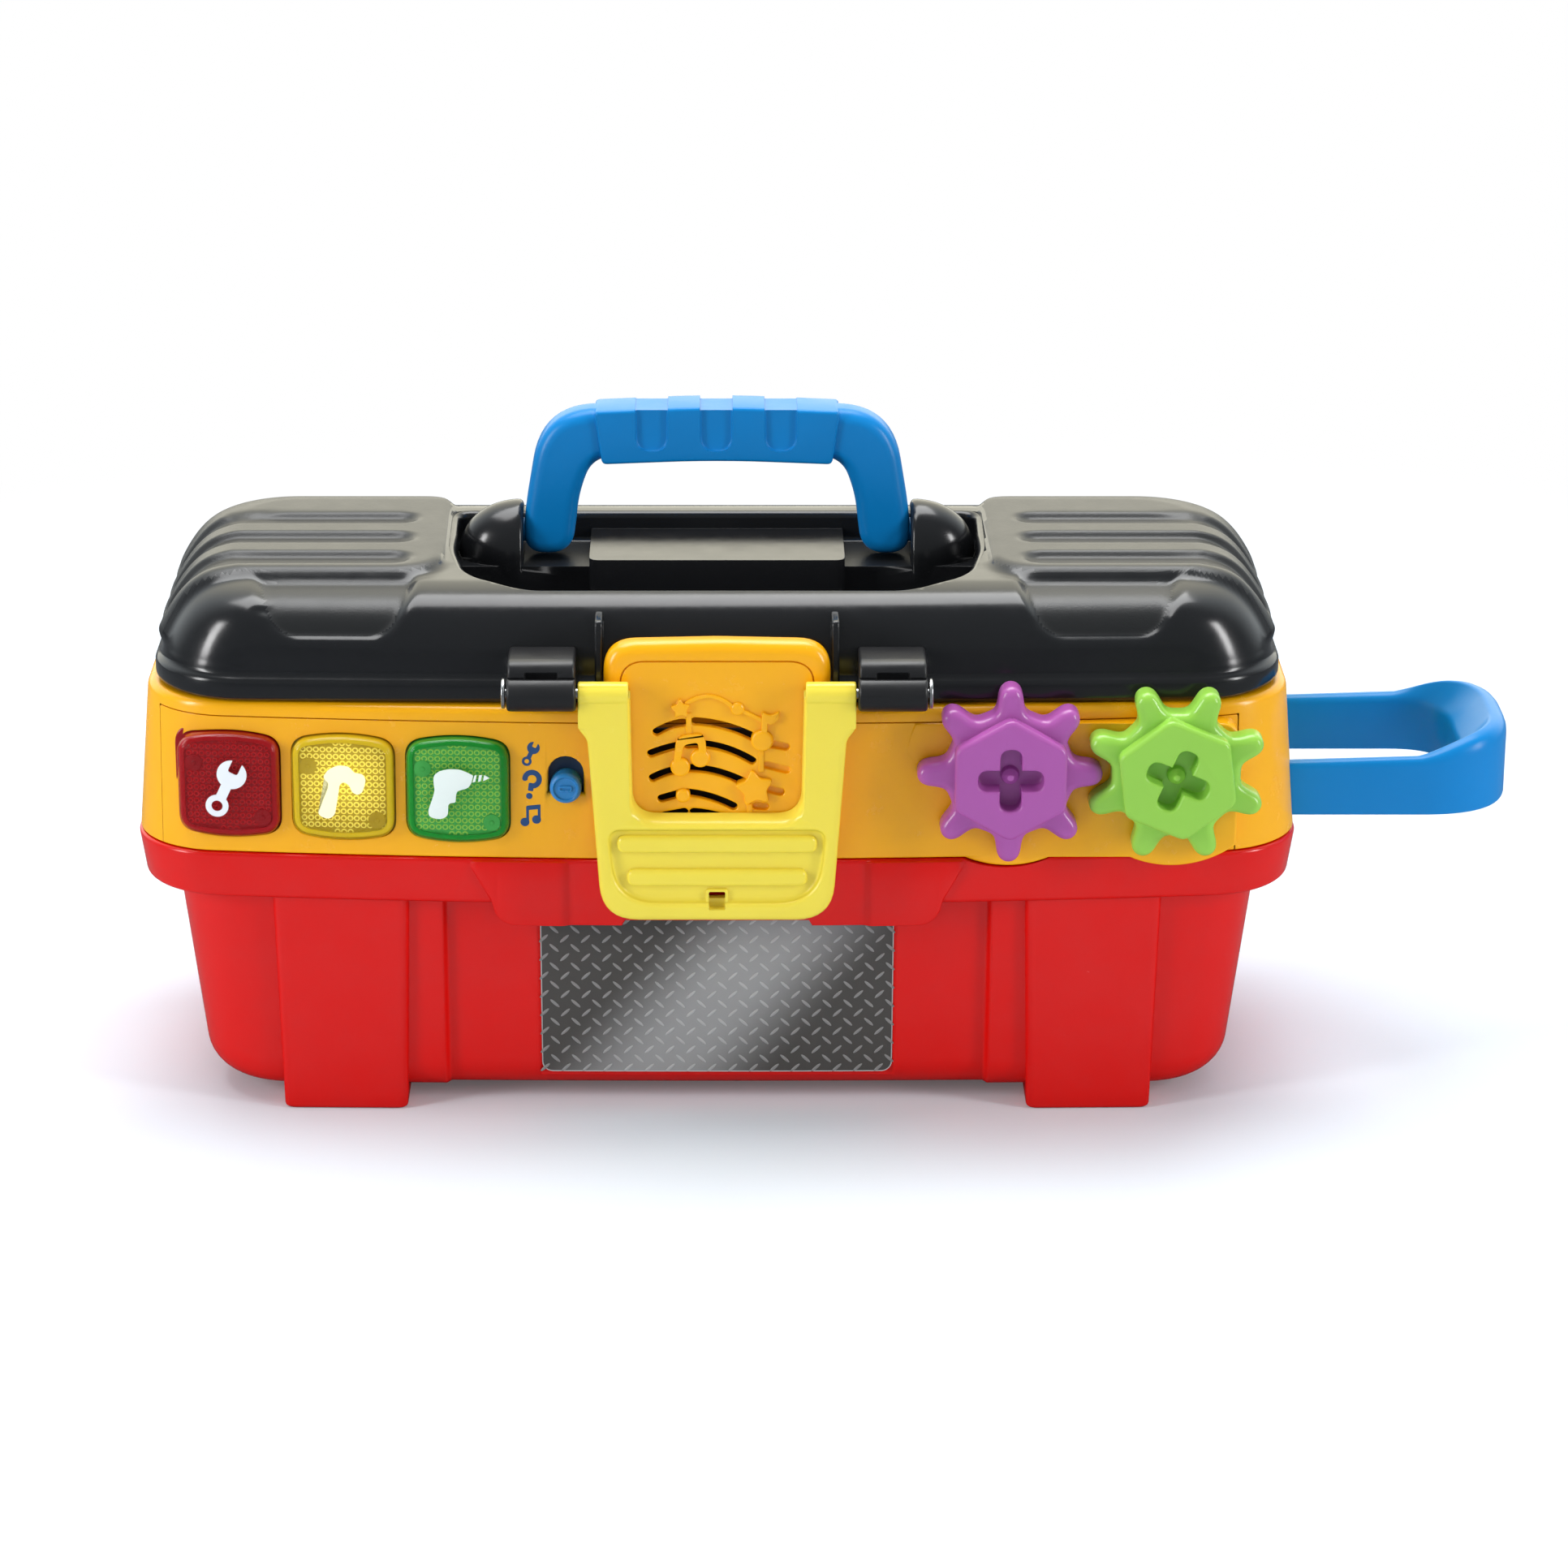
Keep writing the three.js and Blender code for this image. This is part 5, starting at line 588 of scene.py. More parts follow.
def show(name, mesh, body, paint, replaces=(), edge=34, keep_paints=False):
    """Cleans a solid, moves it to its place in the frame and has it ride on its body; edge is in degrees."""
    bm = bmesh.new()
    bm.from_mesh(mesh)
    bmesh.ops.remove_doubles(bm, verts=bm.verts, dist=MERGE_MM)
    bmesh.ops.dissolve_degenerate(bm, dist=SLIVER_MM, edges=bm.edges)
    for face in bm.faces:
        face.smooth = True
    bm.to_mesh(mesh)
    bm.free()
    mesh.transform(Matrix.Translation(ROW_SHIFT) @ Matrix.Scale(MM, 4))
    mesh.set_sharp_from_angle(angle=math.radians(edge))
    mesh.name = name
    piece = bpy.data.objects.new(name, mesh)
    bpy.context.scene.collection.objects.link(piece)
    if not keep_paints:
        mesh.materials.clear()
        mesh.materials.append(PAINT[paint])
    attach(piece, body)
    if replaces:
        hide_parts(*replaces)


# Plans shared by the stacked shells: each draws in with height, and its front bows forward

RIM_LOW, RIM_HIGH = 60.1, 72.5
BAND_LOW, BAND_HIGH = 72.8, 113.3
FLOOR_LOW = 3.8
PLAN_CORNER = 21
FRONT_BOW, BACK_BOW = 8.6, 2
TUB_HALF, TUB_FRONT, TUB_BACK = 142.5, 56.8, 54.6
TUB_END_DRAFT, TUB_SIDE_DRAFT, TUB_BOW_LOSS = 7.4, 4.6, 6.4
RIM_HALF, RIM_FRONT, RIM_BACK, RIM_DRAFT = 152.3, 60.2, 58, 1.9
RIM_MEAN_HALF = 151.4
BAND_HALF, BAND_FRONT, BAND_BACK = 151.8, 59.7, 57.5
BAND_END_DRAFT, BAND_DRAFT = 3.2, 1.4
CORNER_STEPS, BACK_STEPS, FRONT_STEPS = 16, 20, 60
PLAIN_HALF = 80
HINGE_X, HINGE_Y, HINGE_Z = 82, 63.4, 113.6
KNUCKLE_RADIUS, HINGE_BORE = 4.2, 1.9


def plan_ring(half, front, back, corner, front_bow, back_bow, z, front_at=None):
    """One ring of the bowed plan, from the right front corner round; front_at lists the front's x places,
    and those beyond PLAIN_HALF are drawn together or apart to end at the corner."""
    side = half - corner
    if front_at is None:
        front_at = np.linspace(-side, side, FRONT_STEPS + 2)[1:-1]
    else:
        wide = np.abs(front_at)
        squeezed = PLAIN_HALF + (wide - PLAIN_HALF) * (side - PLAIN_HALF) / (np.max(wide) + 3 - PLAIN_HALF)
        front_at = np.sign(front_at) * np.where(wide > PLAIN_HALF, squeezed, wide)
    near_y, far_y = corner - front + front_bow, back - back_bow - corner

    def corners(*centres):
        return [(x + corner * math.cos(math.radians(start + 90 * k / CORNER_STEPS)),
                 y + corner * math.sin(math.radians(start + 90 * k / CORNER_STEPS)))
                for x, y, start in centres for k in range(CORNER_STEPS + 1)]

    flat = corners((side, near_y, -90), (side, far_y, 0))
    flat += [(x, back - back_bow) for x in np.linspace(side, -side, BACK_STEPS + 1)[1:-1]]
    flat += corners((-side, far_y, 90), (-side, near_y, 180))
    flat += [(x, front_bow - front) for x in front_at]
    ring = np.array(flat)
    bow = 1 - (ring[:, 0] / half) ** 2
    ring[:, 1] += np.where(ring[:, 1] < 0, -front_bow * bow, back_bow * bow)
    return placed(ring, ALONG_Z, z)


def tub_drop(z):
    """0 at the rim, 1 at the tub's floor."""
    return np.clip((RIM_LOW - z) / (RIM_LOW - FLOOR_LOW), 0, None)


def band_rise(z):
    """0 at the band's foot, 1 at its top."""
    return (z - BAND_LOW) / (BAND_HIGH - BAND_LOW)


def tub_ring(z, grow=0.0, front_grow=None, front_at=None):
    drop = tub_drop(z)
    front_grow = grow if front_grow is None else front_grow
    return plan_ring(TUB_HALF - TUB_END_DRAFT * drop + grow, TUB_FRONT - TUB_SIDE_DRAFT * drop + front_grow,
                     TUB_BACK - TUB_SIDE_DRAFT * drop + grow, PLAN_CORNER + grow,
                     FRONT_BOW - TUB_BOW_LOSS * drop, BACK_BOW, z, front_at)


def rim_ring(z, grow=0.0, front_at=None):
    draft = RIM_DRAFT * (RIM_HIGH - z) / (RIM_HIGH - RIM_LOW)
    return plan_ring(RIM_HALF - draft + grow, RIM_FRONT + grow, RIM_BACK + grow, PLAN_CORNER + grow,
                     FRONT_BOW, BACK_BOW, z, front_at)


def band_ring(z, grow=0.0):
    rise = band_rise(z)
    return plan_ring(BAND_HALF - BAND_END_DRAFT * rise + grow, BAND_FRONT - BAND_DRAFT * rise + grow,
                     BAND_BACK - BAND_DRAFT * rise + grow, PLAN_CORNER + grow, FRONT_BOW, BACK_BOW, z)


def tub_front(x, z, grow=0.0):
    """How far forward (negative y) the tub's bowed front lies."""
    drop = tub_drop(z)
    bow = (FRONT_BOW - TUB_BOW_LOSS * drop) * (x / (TUB_HALF - TUB_END_DRAFT * drop)) ** 2
    return bow - (TUB_FRONT - TUB_SIDE_DRAFT * drop + grow)


def rim_front(x):
    return FRONT_BOW * (x / RIM_MEAN_HALF) ** 2 - RIM_FRONT


def band_front(x, z):
    rise = band_rise(z)
    return FRONT_BOW * (x / (BAND_HALF - BAND_END_DRAFT * rise)) ** 2 - (BAND_FRONT - BAND_DRAFT * rise)


def on_band(x, z):
    """A frame on the band's front: x along it, y into the box, z up."""
    half = BAND_HALF - BAND_END_DRAFT * band_rise(z)
    lean = math.atan(2 * FRONT_BOW * x / half ** 2)
    return Matrix.Translation((x, band_front(x, z), z)) @ turned(lean, "Z")


def band_body(grow, low, high, low_round=0.0, high_round=0.0):
    return loft([band_ring(z, grow - inset) for z, inset in levels(low, high, low_round, high_round, 5)])


def step(value, edge, width):
    """0 before the edge, 1 after it, eased like a moulded step."""
    t = np.clip((value - edge) / width + 0.5, 0, 1)
    return t * t * (3 - 2 * t)


def near(places, width, spread, low, high):
    """Grid lines: even ones spread apart, with a cluster of close ones at each place."""
    lines = set(np.round(np.linspace(low, high, int((high - low) / spread) + 1), 3))
    for place in places:
        lines = {v for v in lines if abs(v - place) > width}
        lines |= {round(place + width * t, 3) for t in (-0.7, -0.5, -0.3, -0.1, 0.1, 0.3, 0.5, 0.7)}
    return np.array(sorted(v for v in lines if low <= v <= high))


# Tub

APRON_HALF, APRON_FOOT, APRON_CORNER, APRON_PROUD = 64.6, 54.2, 6.2, 0.9
APRON_SLOPE_FROM, APRON_NOTCH_HALF, APRON_NOTCH = 52, 24.2, 1.5
SETBACK_HALF, SETBACK = 71, 2
LABEL_SEAT_HALF, LABEL_SEAT_FOOT, LABEL_SEAT = 46.6, 9.0, 0.8
FOOT_X, FOOT_WIDTH, FOOT_SPREAD, FOOT_PROUD = 98.0, 32.6, 3.8, 2.2
TUB_WALL, TUB_FRONT_WALL, TUB_FLOOR = 2.6, 5.4, 6.6
GEAR_PLACES = ((75.0, 97.3, "purple_gear"), (117.6, 97.3, "green_gear"))
DISC_RADIUS = 27


def apron():
    """The raised plate on the rim's front that hangs over the label, with round lower corners."""
    rings = []
    bend_from = APRON_SLOPE_FROM + APRON_CORNER
    for x in np.linspace(-APRON_HALF, APRON_HALF, 150):
        wide = abs(x)
        into = min(max(wide - APRON_SLOPE_FROM, 0), APRON_CORNER)
        corner = APRON_CORNER - math.sqrt(APRON_CORNER ** 2 - into ** 2)
        notch = APRON_NOTCH * step(APRON_NOTCH_HALF - wide, 0, 0.8)
        foot = APRON_FOOT + corner + 1.8 * max(0, wide - bend_from) + notch
        proud = APRON_PROUD * step(wide, 39, 2.4) * step(APRON_HALF - 0.3 - wide, 0.9, 1.8)
        face, back, top = rim_front(x) - proud, rim_front(x) + 2.8, RIM_HIGH - 0.3
        foot = min(foot, top - 2.4)
        rings.append([(x, back, foot), (x, face + 1, foot), (x, face + 0.3, foot + 0.3), (x, face, foot + 1),
                      (x, face, top - 1), (x, face + 0.3, top - 0.3), (x, face + 1, top), (x, back, top)])
    return loft(rings)


def foot_post(side, at_front):
    """Broad foot that widens upwards and keeps proud of the tub's sloping wall."""
    rings = []
    middle = side * FOOT_X
    for z, inset in sorted(levels(0, RIM_LOW + 0.5, 1.2, 0, 3) + [(4, 0)]):
        half = (FOOT_WIDTH + FOOT_SPREAD * z / RIM_HIGH) / 2 - inset
        if at_front:
            outer, inner = tub_front(middle, z, FOOT_PROUD - inset), -32
        else:
            outer, inner = TUB_BACK - TUB_SIDE_DRAFT * tub_drop(z) + FOOT_PROUD - inset + 0.9, 30
        plan = soft_box(middle - half, middle + half, min(outer, inner), max(outer, inner), 2.4)
        if at_front:
            lead = plan[:, 1] < -40
            plan[lead, 1] += np.array([tub_front(x, z) for x in plan[lead, 0]]) - tub_front(middle, z)
        rings.append(placed(plan, ALONG_Z, z))
    return loft(rings)


def tub_relief(x, z):
    """How far the tub's front is set back: its middle, and the label's seat in it."""
    seat = step(np.minimum(LABEL_SEAT_HALF - np.abs(x), z - LABEL_SEAT_FOOT), 0, 0.9)
    return step(SETBACK_HALF - np.abs(x), 0, 1.5) * SETBACK + seat * LABEL_SEAT


def tub_skin():
    front_at = near((-SETBACK_HALF, SETBACK_HALF, -LABEL_SEAT_HALF, LABEL_SEAT_HALF), 1.6, 4.5, -120, 120)
    rows = levels(FLOOR_LOW, RIM_LOW + 0.6, 9, 0, 9)[:-1]
    rows += [(z, 0) for z in near((LABEL_SEAT_FOOT,), 1.4, 4.0, rows[-1][0] + 0.5, RIM_LOW + 0.6)]
    rings = []
    for z, inset in rows:
        ring = tub_ring(z, -inset, front_at=front_at)
        front = ring[:, 1] < -20
        ring[front, 1] += tub_relief(ring[front, 0], ring[front, 2])
        rings.append(ring)
    return loft(rings)


def make_tub():
    """Tapered tub with its set-back middle, label seat, broad feet, rolled rim, apron and latch keeper."""
    rim_at = near((-24, 24), 1.0, 3.0, -118, 118)
    rim = loft([rim_ring(z, -inset, rim_at) for z, inset in levels(RIM_LOW, RIM_HIGH, 1.6, 1.0, 5)])
    keeper = frontal(soft_box(-8, 8, 64, 72, 1.2), -64.3, -56, 0.5)
    feet = [foot_post(side, at_front) for side in SIDES for at_front in (True, False)]
    inside = loft([tub_ring(z, -TUB_WALL - inset, -TUB_FRONT_WALL - inset)
                   for z, inset in levels(TUB_FLOOR, 90, 6.4, 0, 6)])
    mouth = [(62.7, -4.5), (71.9, -2.6), (72.6, -2.2), (74, -1.2)]
    rim_inside = loft([rim_ring(RIM_HIGH, grow) + (0, 0, z - RIM_HIGH) for z, grow in mouth])
    reliefs = [rod_y(DISC_RADIUS + SEAT_GAP, -FAR, -33, x, z, steps=96) for x, z, _ in GEAR_PLACES]
    reliefs[1] = shaped(reliefs[1], "&", block((60, COVER_SPAN[1]), (-FAR, 0), (0, 150)))
    tub = shaped(tub_skin(), "+", [rim, apron(), keeper] + feet, "-", [inside, rim_inside] + reliefs)
    show("tub_shell", tub, "box", "red_plastic", ("tub",))


# Band and its front cover

BUTTON_PLACES = (("spanner", -126.0, "red"), ("hammer", -96.35, "yellow"), ("drill", -66.7, "green"))
BUTTON_Z = 91.3
BUTTON_HALF, BUTTON_SHOULDER, BUTTON_CROWN = 13.25, 12.5, 14.9
SWITCH_X, SWITCH_Z = -38.9, 92.6
BAY_MIDDLE_Z, SPEAKER_RADIUS = 92.4, 13.4
COVER_SPAN = (-144.4, 134.5)
COVER_TOP, COVER_WALL = 109.5, 2.5
BAY_FRONT = -35.8
DISC_FACE = band_front(GEAR_PLACES[0][0], GEAR_PLACES[0][1]) - 1.1
LOOP_START, LOOP_INSIDE, LOOP_END = 139.8, 197.5, 210
LOOP_LOW, LOOP_HIGH, LOOP_RISE, FLARE_HIGH = 75.3, 89.7, 0.024, 96.7


def button_outline(grow):
    """A rounded square whose upper and lower sides bulge."""
    x, shoulder, crown = BUTTON_HALF + grow, BUTTON_SHOULDER + grow, BUTTON_CROWN + grow
    return soft_outline([(-x, -shoulder, 4.4), (0, -crown, 8.4), (x, -shoulder, 4.4),
                         (x, shoulder, 4.4), (0, crown, 8.4), (-x, shoulder, 4.4)], 10, 4)


def pill(width, height, steps=10):
    """An upright slot shape with round ends."""
    r = width / 2
    turn = np.linspace(0, math.pi, steps + 1)
    upper = np.stack((r * np.cos(turn), height / 2 - r + r * np.sin(turn)), axis=1)
    lower = np.stack((-r * np.cos(turn), -height / 2 + r - r * np.sin(turn)), axis=1)
    return np.vstack((upper, lower))


def loop_body(grow):
    """The tool holder's U strap: rounded arms, and an end wall that dishes and flares up; also its socket."""
    def seen_from_above(start, near_y, end, far_y, corner):
        corners = [(start, near_y, 0), (end, near_y, corner), (end, far_y, corner), (start, far_y, 0)]
        return soft_outline(corners, 18, 1000)

    start = LOOP_START - grow
    outer = seen_from_above(start, -33.6 - grow, LOOP_END + grow, 24.4 + grow, 25 + grow)
    inner = seen_from_above(start, -29.0 + grow, LOOP_INSIDE - grow, 19.8 - grow, 14 - grow)
    rings = []
    for out, back in zip(outer, inner):
        thick = np.linalg.norm(out - back)
        x = (out[0] + back[0]) / 2
        low, high = LOOP_LOW - grow, LOOP_HIGH + LOOP_RISE * (x - LOOP_START) + grow
        arm = np.array([(0, low, 0.8), (thick, low, 1.3), (thick, high, 2.1), (thick / 2, high, 0.05),
                        (0, high, 2.1)])
        wall = np.array([(0, low, 0.8), (thick, low, 1.3), (thick, FLARE_HIGH, 4.4),
                         (thick - 5.2, FLARE_HIGH, 0.8), (0, 88.4, 1.6)])
        share = step(x, 192.5, 24)
        section = soft_outline([tuple(corner) for corner in arm * (1 - share) + wall * share], 5, 1000)
        flat = back + (out - back) / thick * section[:, :1]
        rings.append(np.column_stack((flat, section[:, 1])))
    return loft(rings)


def make_band():
    """Orange ring on the rim: tool space in the middle, electronics bay in front, battery bay behind."""
    ring = band_body(0, BAND_LOW, BAND_HIGH, 0.5, 2)
    store = upright(soft_box(-136, 136, -33, 36.5, 9, 10, 8), 40, BAND_HIGH, 0, -1)
    bay = block((COVER_SPAN[0] + 2.8, COVER_SPAN[1] - 2.8), (-FAR, BAY_FRONT), (BAND_LOW + 2.6, COVER_TOP))
    cover_seat = shaped(block(COVER_SPAN, (-FAR, BAY_FRONT), (20, COVER_TOP)), "-", band_body(-2.8, 20, 150))
    battery = block((-28.15, 28.15), (39.3, FAR), (76.9, 107.9))
    door_seat = shaped(block((-30.85, 38.45), (0, FAR), (74.2, 110.6)), "-", band_body(-COVER_WALL, 20, 150))
    screw_hole = rod_y(1.7, 47, FAR, 33.15, BAY_MIDDLE_Z)
    posts = [rod_y(2.6, -39.1, BAY_FRONT + 0.4, x, z) for x in (-126, -33) for z in (84, 101)]
    leaf = soft_box(53.5, HINGE_Y, 105.2, 111.3, 0.8, 3)
    knuckles = []
    for middle in [side * HINGE_X + end * 12.45 for side in SIDES for end in SIDES]:
        knuckles.append(rod_x(KNUCKLE_RADIUS, (middle - 6, middle + 6), HINGE_Y, HINGE_Z, 0.6))
        knuckles.append(sideways(leaf, (middle - 5.4, middle + 5.4), 0.5))
    cuts = [store, bay, cover_seat, battery, door_seat, screw_hole, loop_body(SEAT_GAP)]
    band = shaped(ring, "-", cuts, "+", posts + knuckles, "-", hinge_bores())
    show("band_shell", band, "box", "orange_plastic", ("band_housing",))


def hinge_bores():
    return [rod_x(HINGE_BORE, (side * HINGE_X - 26, side * HINGE_X + 26), HINGE_Y, HINGE_Z) for side in SIDES]


def make_cover():
    """Bowed front skin with button windows, the switch slot, the speaker hole and the two gear discs."""
    left, right = COVER_SPAN[0] + 0.06, COVER_SPAN[1] - SEAT_GAP
    top = COVER_TOP - SEAT_GAP
    inner = band_body(-COVER_WALL, 20, 150)
    skin = shaped(band_body(0, BAND_LOW, BAND_HIGH, 0.5), "-", inner)
    skin = shaped(skin, "&", frontal(soft_box(left, right, BAND_LOW - 30, top, 0.6, 3, 8), -FAR, BAY_FRONT))
    space = frontal(soft_box(20, right, 20, top, 5.5, 8, 8), DISC_FACE, BAY_FRONT + 5, 0.7)
    discs = [rod_y(DISC_RADIUS, DISC_FACE, BAY_FRONT, x, z, 0.7, 120) for x, z, _ in GEAR_PLACES]
    pads = [shaped(disc, "&", space, "-", inner) for disc in discs]
    web = block([x for x, _, _ in GEAR_PLACES], (DISC_FACE, BAY_FRONT), (BAND_LOW, top))
    pads.append(shaped(web, "-", inner))
    supports = [rod_y(7.4, DISC_FACE + 0.5, DISC_FACE + 8.8, x, z) for x, z, _ in GEAR_PLACES]
    bores = [rod_y(4.45, -FAR, 0, x, z) for x, z, _ in GEAR_PLACES]
    holes = [moved(frontal(button_outline(SEAT_GAP), -6, 30), on_band(x, BUTTON_Z))
             for _, x, _ in BUTTON_PLACES]
    holes.append(moved(frontal(pill(9.2, 15.6), -0.05, 30, -0.8), on_band(SWITCH_X, SWITCH_Z)))
    holes.append(rod_y(SPEAKER_RADIUS, -FAR, 0, 0, BAY_MIDDLE_Z))
    cover = shaped(skin, "+", pads + supports, "-", bores + holes)
    show("cover_shell", cover, "box", "orange_plastic", ("front_cover",))


make_tub()
make_band()
make_cover()


# Lid

LID_LOW, LID_SHOULDER, LID_TOP = 113.6, 121.2, 141.2
LID_HALF, LID_DEPTH, LID_BOW = 144.8, 54.3, 3.2
LID_CORNER, LID_LEAST_CORNER, LID_CORNER_LOSS = 22.3, 3, 6.3
END_SLOPE, FRONT_SLOPE, BACK_SLOPE = 18, 17, 24
LID_WALL, BEAD_PROUD = 2.4, 1.7
# Side profiles as (share of the slope, share of the height), the front one fuller, and a whole slope and
# height in millimetres to measure along them
PROFILE_REACH = (17, 20)
LID_FRONT = ((0, 0), (0.02, 0.15), (0.06, 0.38), (0.13, 0.6), (0.27, 0.78), (0.46, 0.9), (0.7, 0.97), (1, 1))
LID_ENDS = ((0, 0), (0.03, 0.12), (0.14, 0.33), (0.28, 0.55), (0.44, 0.75), (0.6, 0.89), (0.78, 0.97), (1, 1))
PIVOT_Y, PIVOT_Z = -68.45, 120.9
HANDLE_Y, HANDLE_Z = 13.0, 140.0


def smooth_profile(shape, count):
    """A profile as (rise, height) pairs on one smooth curve."""
    points = np.array(shape)
    along = np.concatenate(([0], np.cumsum(np.hypot(*np.diff(points * PROFILE_REACH, axis=0).T))))
    wanted = np.linspace(0, along[-1], count)
    rough = np.stack([np.interp(wanted, along, points[:, k]) for k in (0, 1)], axis=1)
    for _ in range(int(count * 0.9)):
        rough[1:-1] = (rough[:-2] + 2 * rough[1:-1] + rough[2:]) / 4
    return rough


def lid_sides(rise, front_rise, grow, x_lines, y_lines, corner_steps):
    """Front, right, back and left runs of one ring; it starts at the middle of the left front corner."""
    half = LID_HALF - END_SLOPE * rise + grow
    corner = max(LID_CORNER - LID_CORNER_LOSS * rise + grow, LID_LEAST_CORNER)
    front, back = LID_DEPTH - FRONT_SLOPE * front_rise + grow, LID_DEPTH - BACK_SLOPE * rise + grow
    bow = LID_BOW * (1 - rise)
    side, low, high = half - corner, bow - front + corner, back - corner

    def squeezed(lines, limit, start):
        wide = np.abs(lines)
        pulled = start + (wide - start) * (limit - start) / (np.max(wide) + 1.5 - start)
        return np.sign(lines) * np.where(wide > start, pulled, wide)

    def arc(x, y, start):
        turns = np.radians(start + 45 * np.arange(corner_steps + 1) / corner_steps)
        return np.stack((x + corner * np.cos(turns), y + corner * np.sin(turns)), axis=1)

    def run(first, line_x, line_y, last):
        line = np.column_stack(np.broadcast_arrays(line_x, line_y))
        return np.vstack((arc(*first)[:-1], line, arc(*last)))

    xs = squeezed(x_lines, side, 90.0)
    ys = (low + high) / 2 + y_lines / (np.max(np.abs(y_lines)) + 1) * ((high - low) / 2)
    runs = [run((-side, low, 225), xs, low - corner, (side, low, 270)),
            run((side, low, 315), half, ys, (side, high, 0)),
            run((side, high, 45), xs[::-1], back, (-side, high, 90)),
            run((-side, high, 135), -half, ys[::-1], (-side, low, 180))]
    for line in runs:
        fore = line[:, 1] < 0
        line[fore, 1] -= bow * (1 - (line[fore, 0] / half) ** 2) * np.clip(-line[fore, 1] / front, 0, 1) ** 2
    return runs


def lid_rings(grow, low, low_round, x_lines, y_lines, corner_steps, profile_steps):
    """Runs of every level, each with its height: rolled bead, its hollow shoulder and the curved sides."""
    height = LID_TOP - LID_SHOULDER
    stack = [(0, BEAD_PROUD + grow - inset, z) for z, inset in levels(low, LID_SHOULDER - 2.6, low_round, 0)]
    stack += [(0, proud + grow, LID_SHOULDER - under)
              for proud, under in ((1.5, 2.0), (0.9, 1.4), (0.35, 0.9), (0.08, 0.4))]
    stack += [(rise, grow, LID_SHOULDER + (height + grow) * h)
              for rise, h in smooth_profile(LID_ENDS, profile_steps)]
    front_rises, heights = smooth_profile(LID_FRONT, profile_steps).T
    made = []
    for rise, out, z in stack:
        front_rise = np.interp(z - grow, LID_SHOULDER + height * heights, front_rises)
        made.append((z, lid_sides(rise, front_rise, out, x_lines, y_lines, corner_steps)))
    return made


def between_sides(front, right, back, left):
    """Grid points inside four runs that meet at their ends, row by row from the left."""
    wide, deep = len(front) - 1, len(right) - 1
    s, t = np.meshgrid(np.arange(1, wide) / wide, np.arange(1, deep) / deep, indexing="ij")
    s, t = s[..., None], t[..., None]
    across = (1 - t) * front[1:-1][:, None] + t * back[1:-1][:, None]
    along = (1 - s) * left[1:-1][None] + s * right[1:-1][None]
    ends = (1 - s) * (1 - t) * front[0] + s * (1 - t) * front[-1] + (1 - s) * t * back[0] + s * t * back[-1]
    return (across + along - ends).reshape(-1, 2)


def lid_skin(grow, low, low_round, x_lines, y_lines, corner_steps, profile_steps):
    """Closed lid solid with a gridded flat top."""
    stack = lid_rings(grow, low, low_round, x_lines, y_lines, corner_steps, profile_steps)
    top_z, (front, right, back, left) = stack[-1]
    inner = between_sides(front, right, back[::-1], left[::-1])
    rings = [placed(np.vstack([run[:-1] for run in runs]), ALONG_Z, z) for z, runs in stack]
    count, wide, deep = len(rings[0]), len(front) - 1, len(right) - 1
    last = (len(rings) - 1) * count

    def spot(i, j):
        """Index of the top's grid point i from the left and j from the front."""
        if j == 0:
            return last + i
        if i == wide:
            return last + (wide + j) % count
        if j == deep:
            return last + (wide + deep + wide - i) % count
        if i == 0:
            return last + (2 * wide + deep + deep - j) % count
        return len(rings) * count + (i - 1) * (deep - 1) + j - 1

    faces = [tuple(range(count - 1, -1, -1))]
    for level in range(len(rings) - 1):
        faces += ring_faces(level * count, (level + 1) * count, count)
    faces += [(spot(i, j), spot(i + 1, j), spot(i + 1, j + 1), spot(i, j + 1))
              for i in range(wide) for j in range(deep)]
    return outward(closed(np.vstack(rings + [placed(inner, ALONG_Z, top_z)]), faces))


def pressed(mesh, relief, low, rounds=4):
    """Pushes a skin out and in along its normals, then softens what lies above the height low."""
    normals = np.empty(len(mesh.vertices) * 3)
    mesh.vertices.foreach_get("normal", normals)
    bent(mesh, lambda p: p + normals.reshape(-1, 3) * relief(p)[:, None])
    soft = bmesh.new()
    soft.from_mesh(mesh)
    upper = [v for v in soft.verts if v.co.z > low]
    for _ in range(rounds):
        bmesh.ops.smooth_vert(soft, verts=upper, factor=0.5, use_axis_x=True, use_axis_y=True,
                              use_axis_z=True)
    soft.to_mesh(mesh)
    soft.free()
    return mesh


PAD_IN, PAD_MIDDLE, PAD_HALF, PAD_CORNER, PAD_PROUD = 71.0, 3.0, 37.0, 13.0, 2.4
GROOVES, GROOVE_FROM, GROOVE_HALF, GROOVE_DEEP = (-23.4, -5.6, 12.2), 79.5, 5.5, 1.7
SCOOP_X, SCOOP_LOW, SCOOP_HALF, SCOOP_SPREAD = 98.5, 129.6, 14.4, 6.2
SCOOP_CORNER, SCOOP_DEEP, SCOOP_BACK = 4.5, 1.6, -34.9


def pad_depth(p):
    """How far inside the raised end pad a point lies, in plan."""
    qx = PAD_IN - np.abs(p[:, 0]) + PAD_CORNER
    qy = np.abs(p[:, 1] - PAD_MIDDLE) - PAD_HALF + PAD_CORNER
    outside = np.hypot(np.maximum(qx, 0), np.maximum(qy, 0))
    return PAD_CORNER - outside - np.minimum(np.maximum(qx, qy), 0)


def groove_depth(p):
    """How far inside one of a pad's three long grooves a point lies."""
    inner = np.maximum(GROOVE_FROM + GROOVE_HALF - np.abs(p[:, 0]), 0)
    return np.max([GROOVE_HALF - np.hypot(inner, p[:, 1] - y) for y in GROOVES], axis=0)


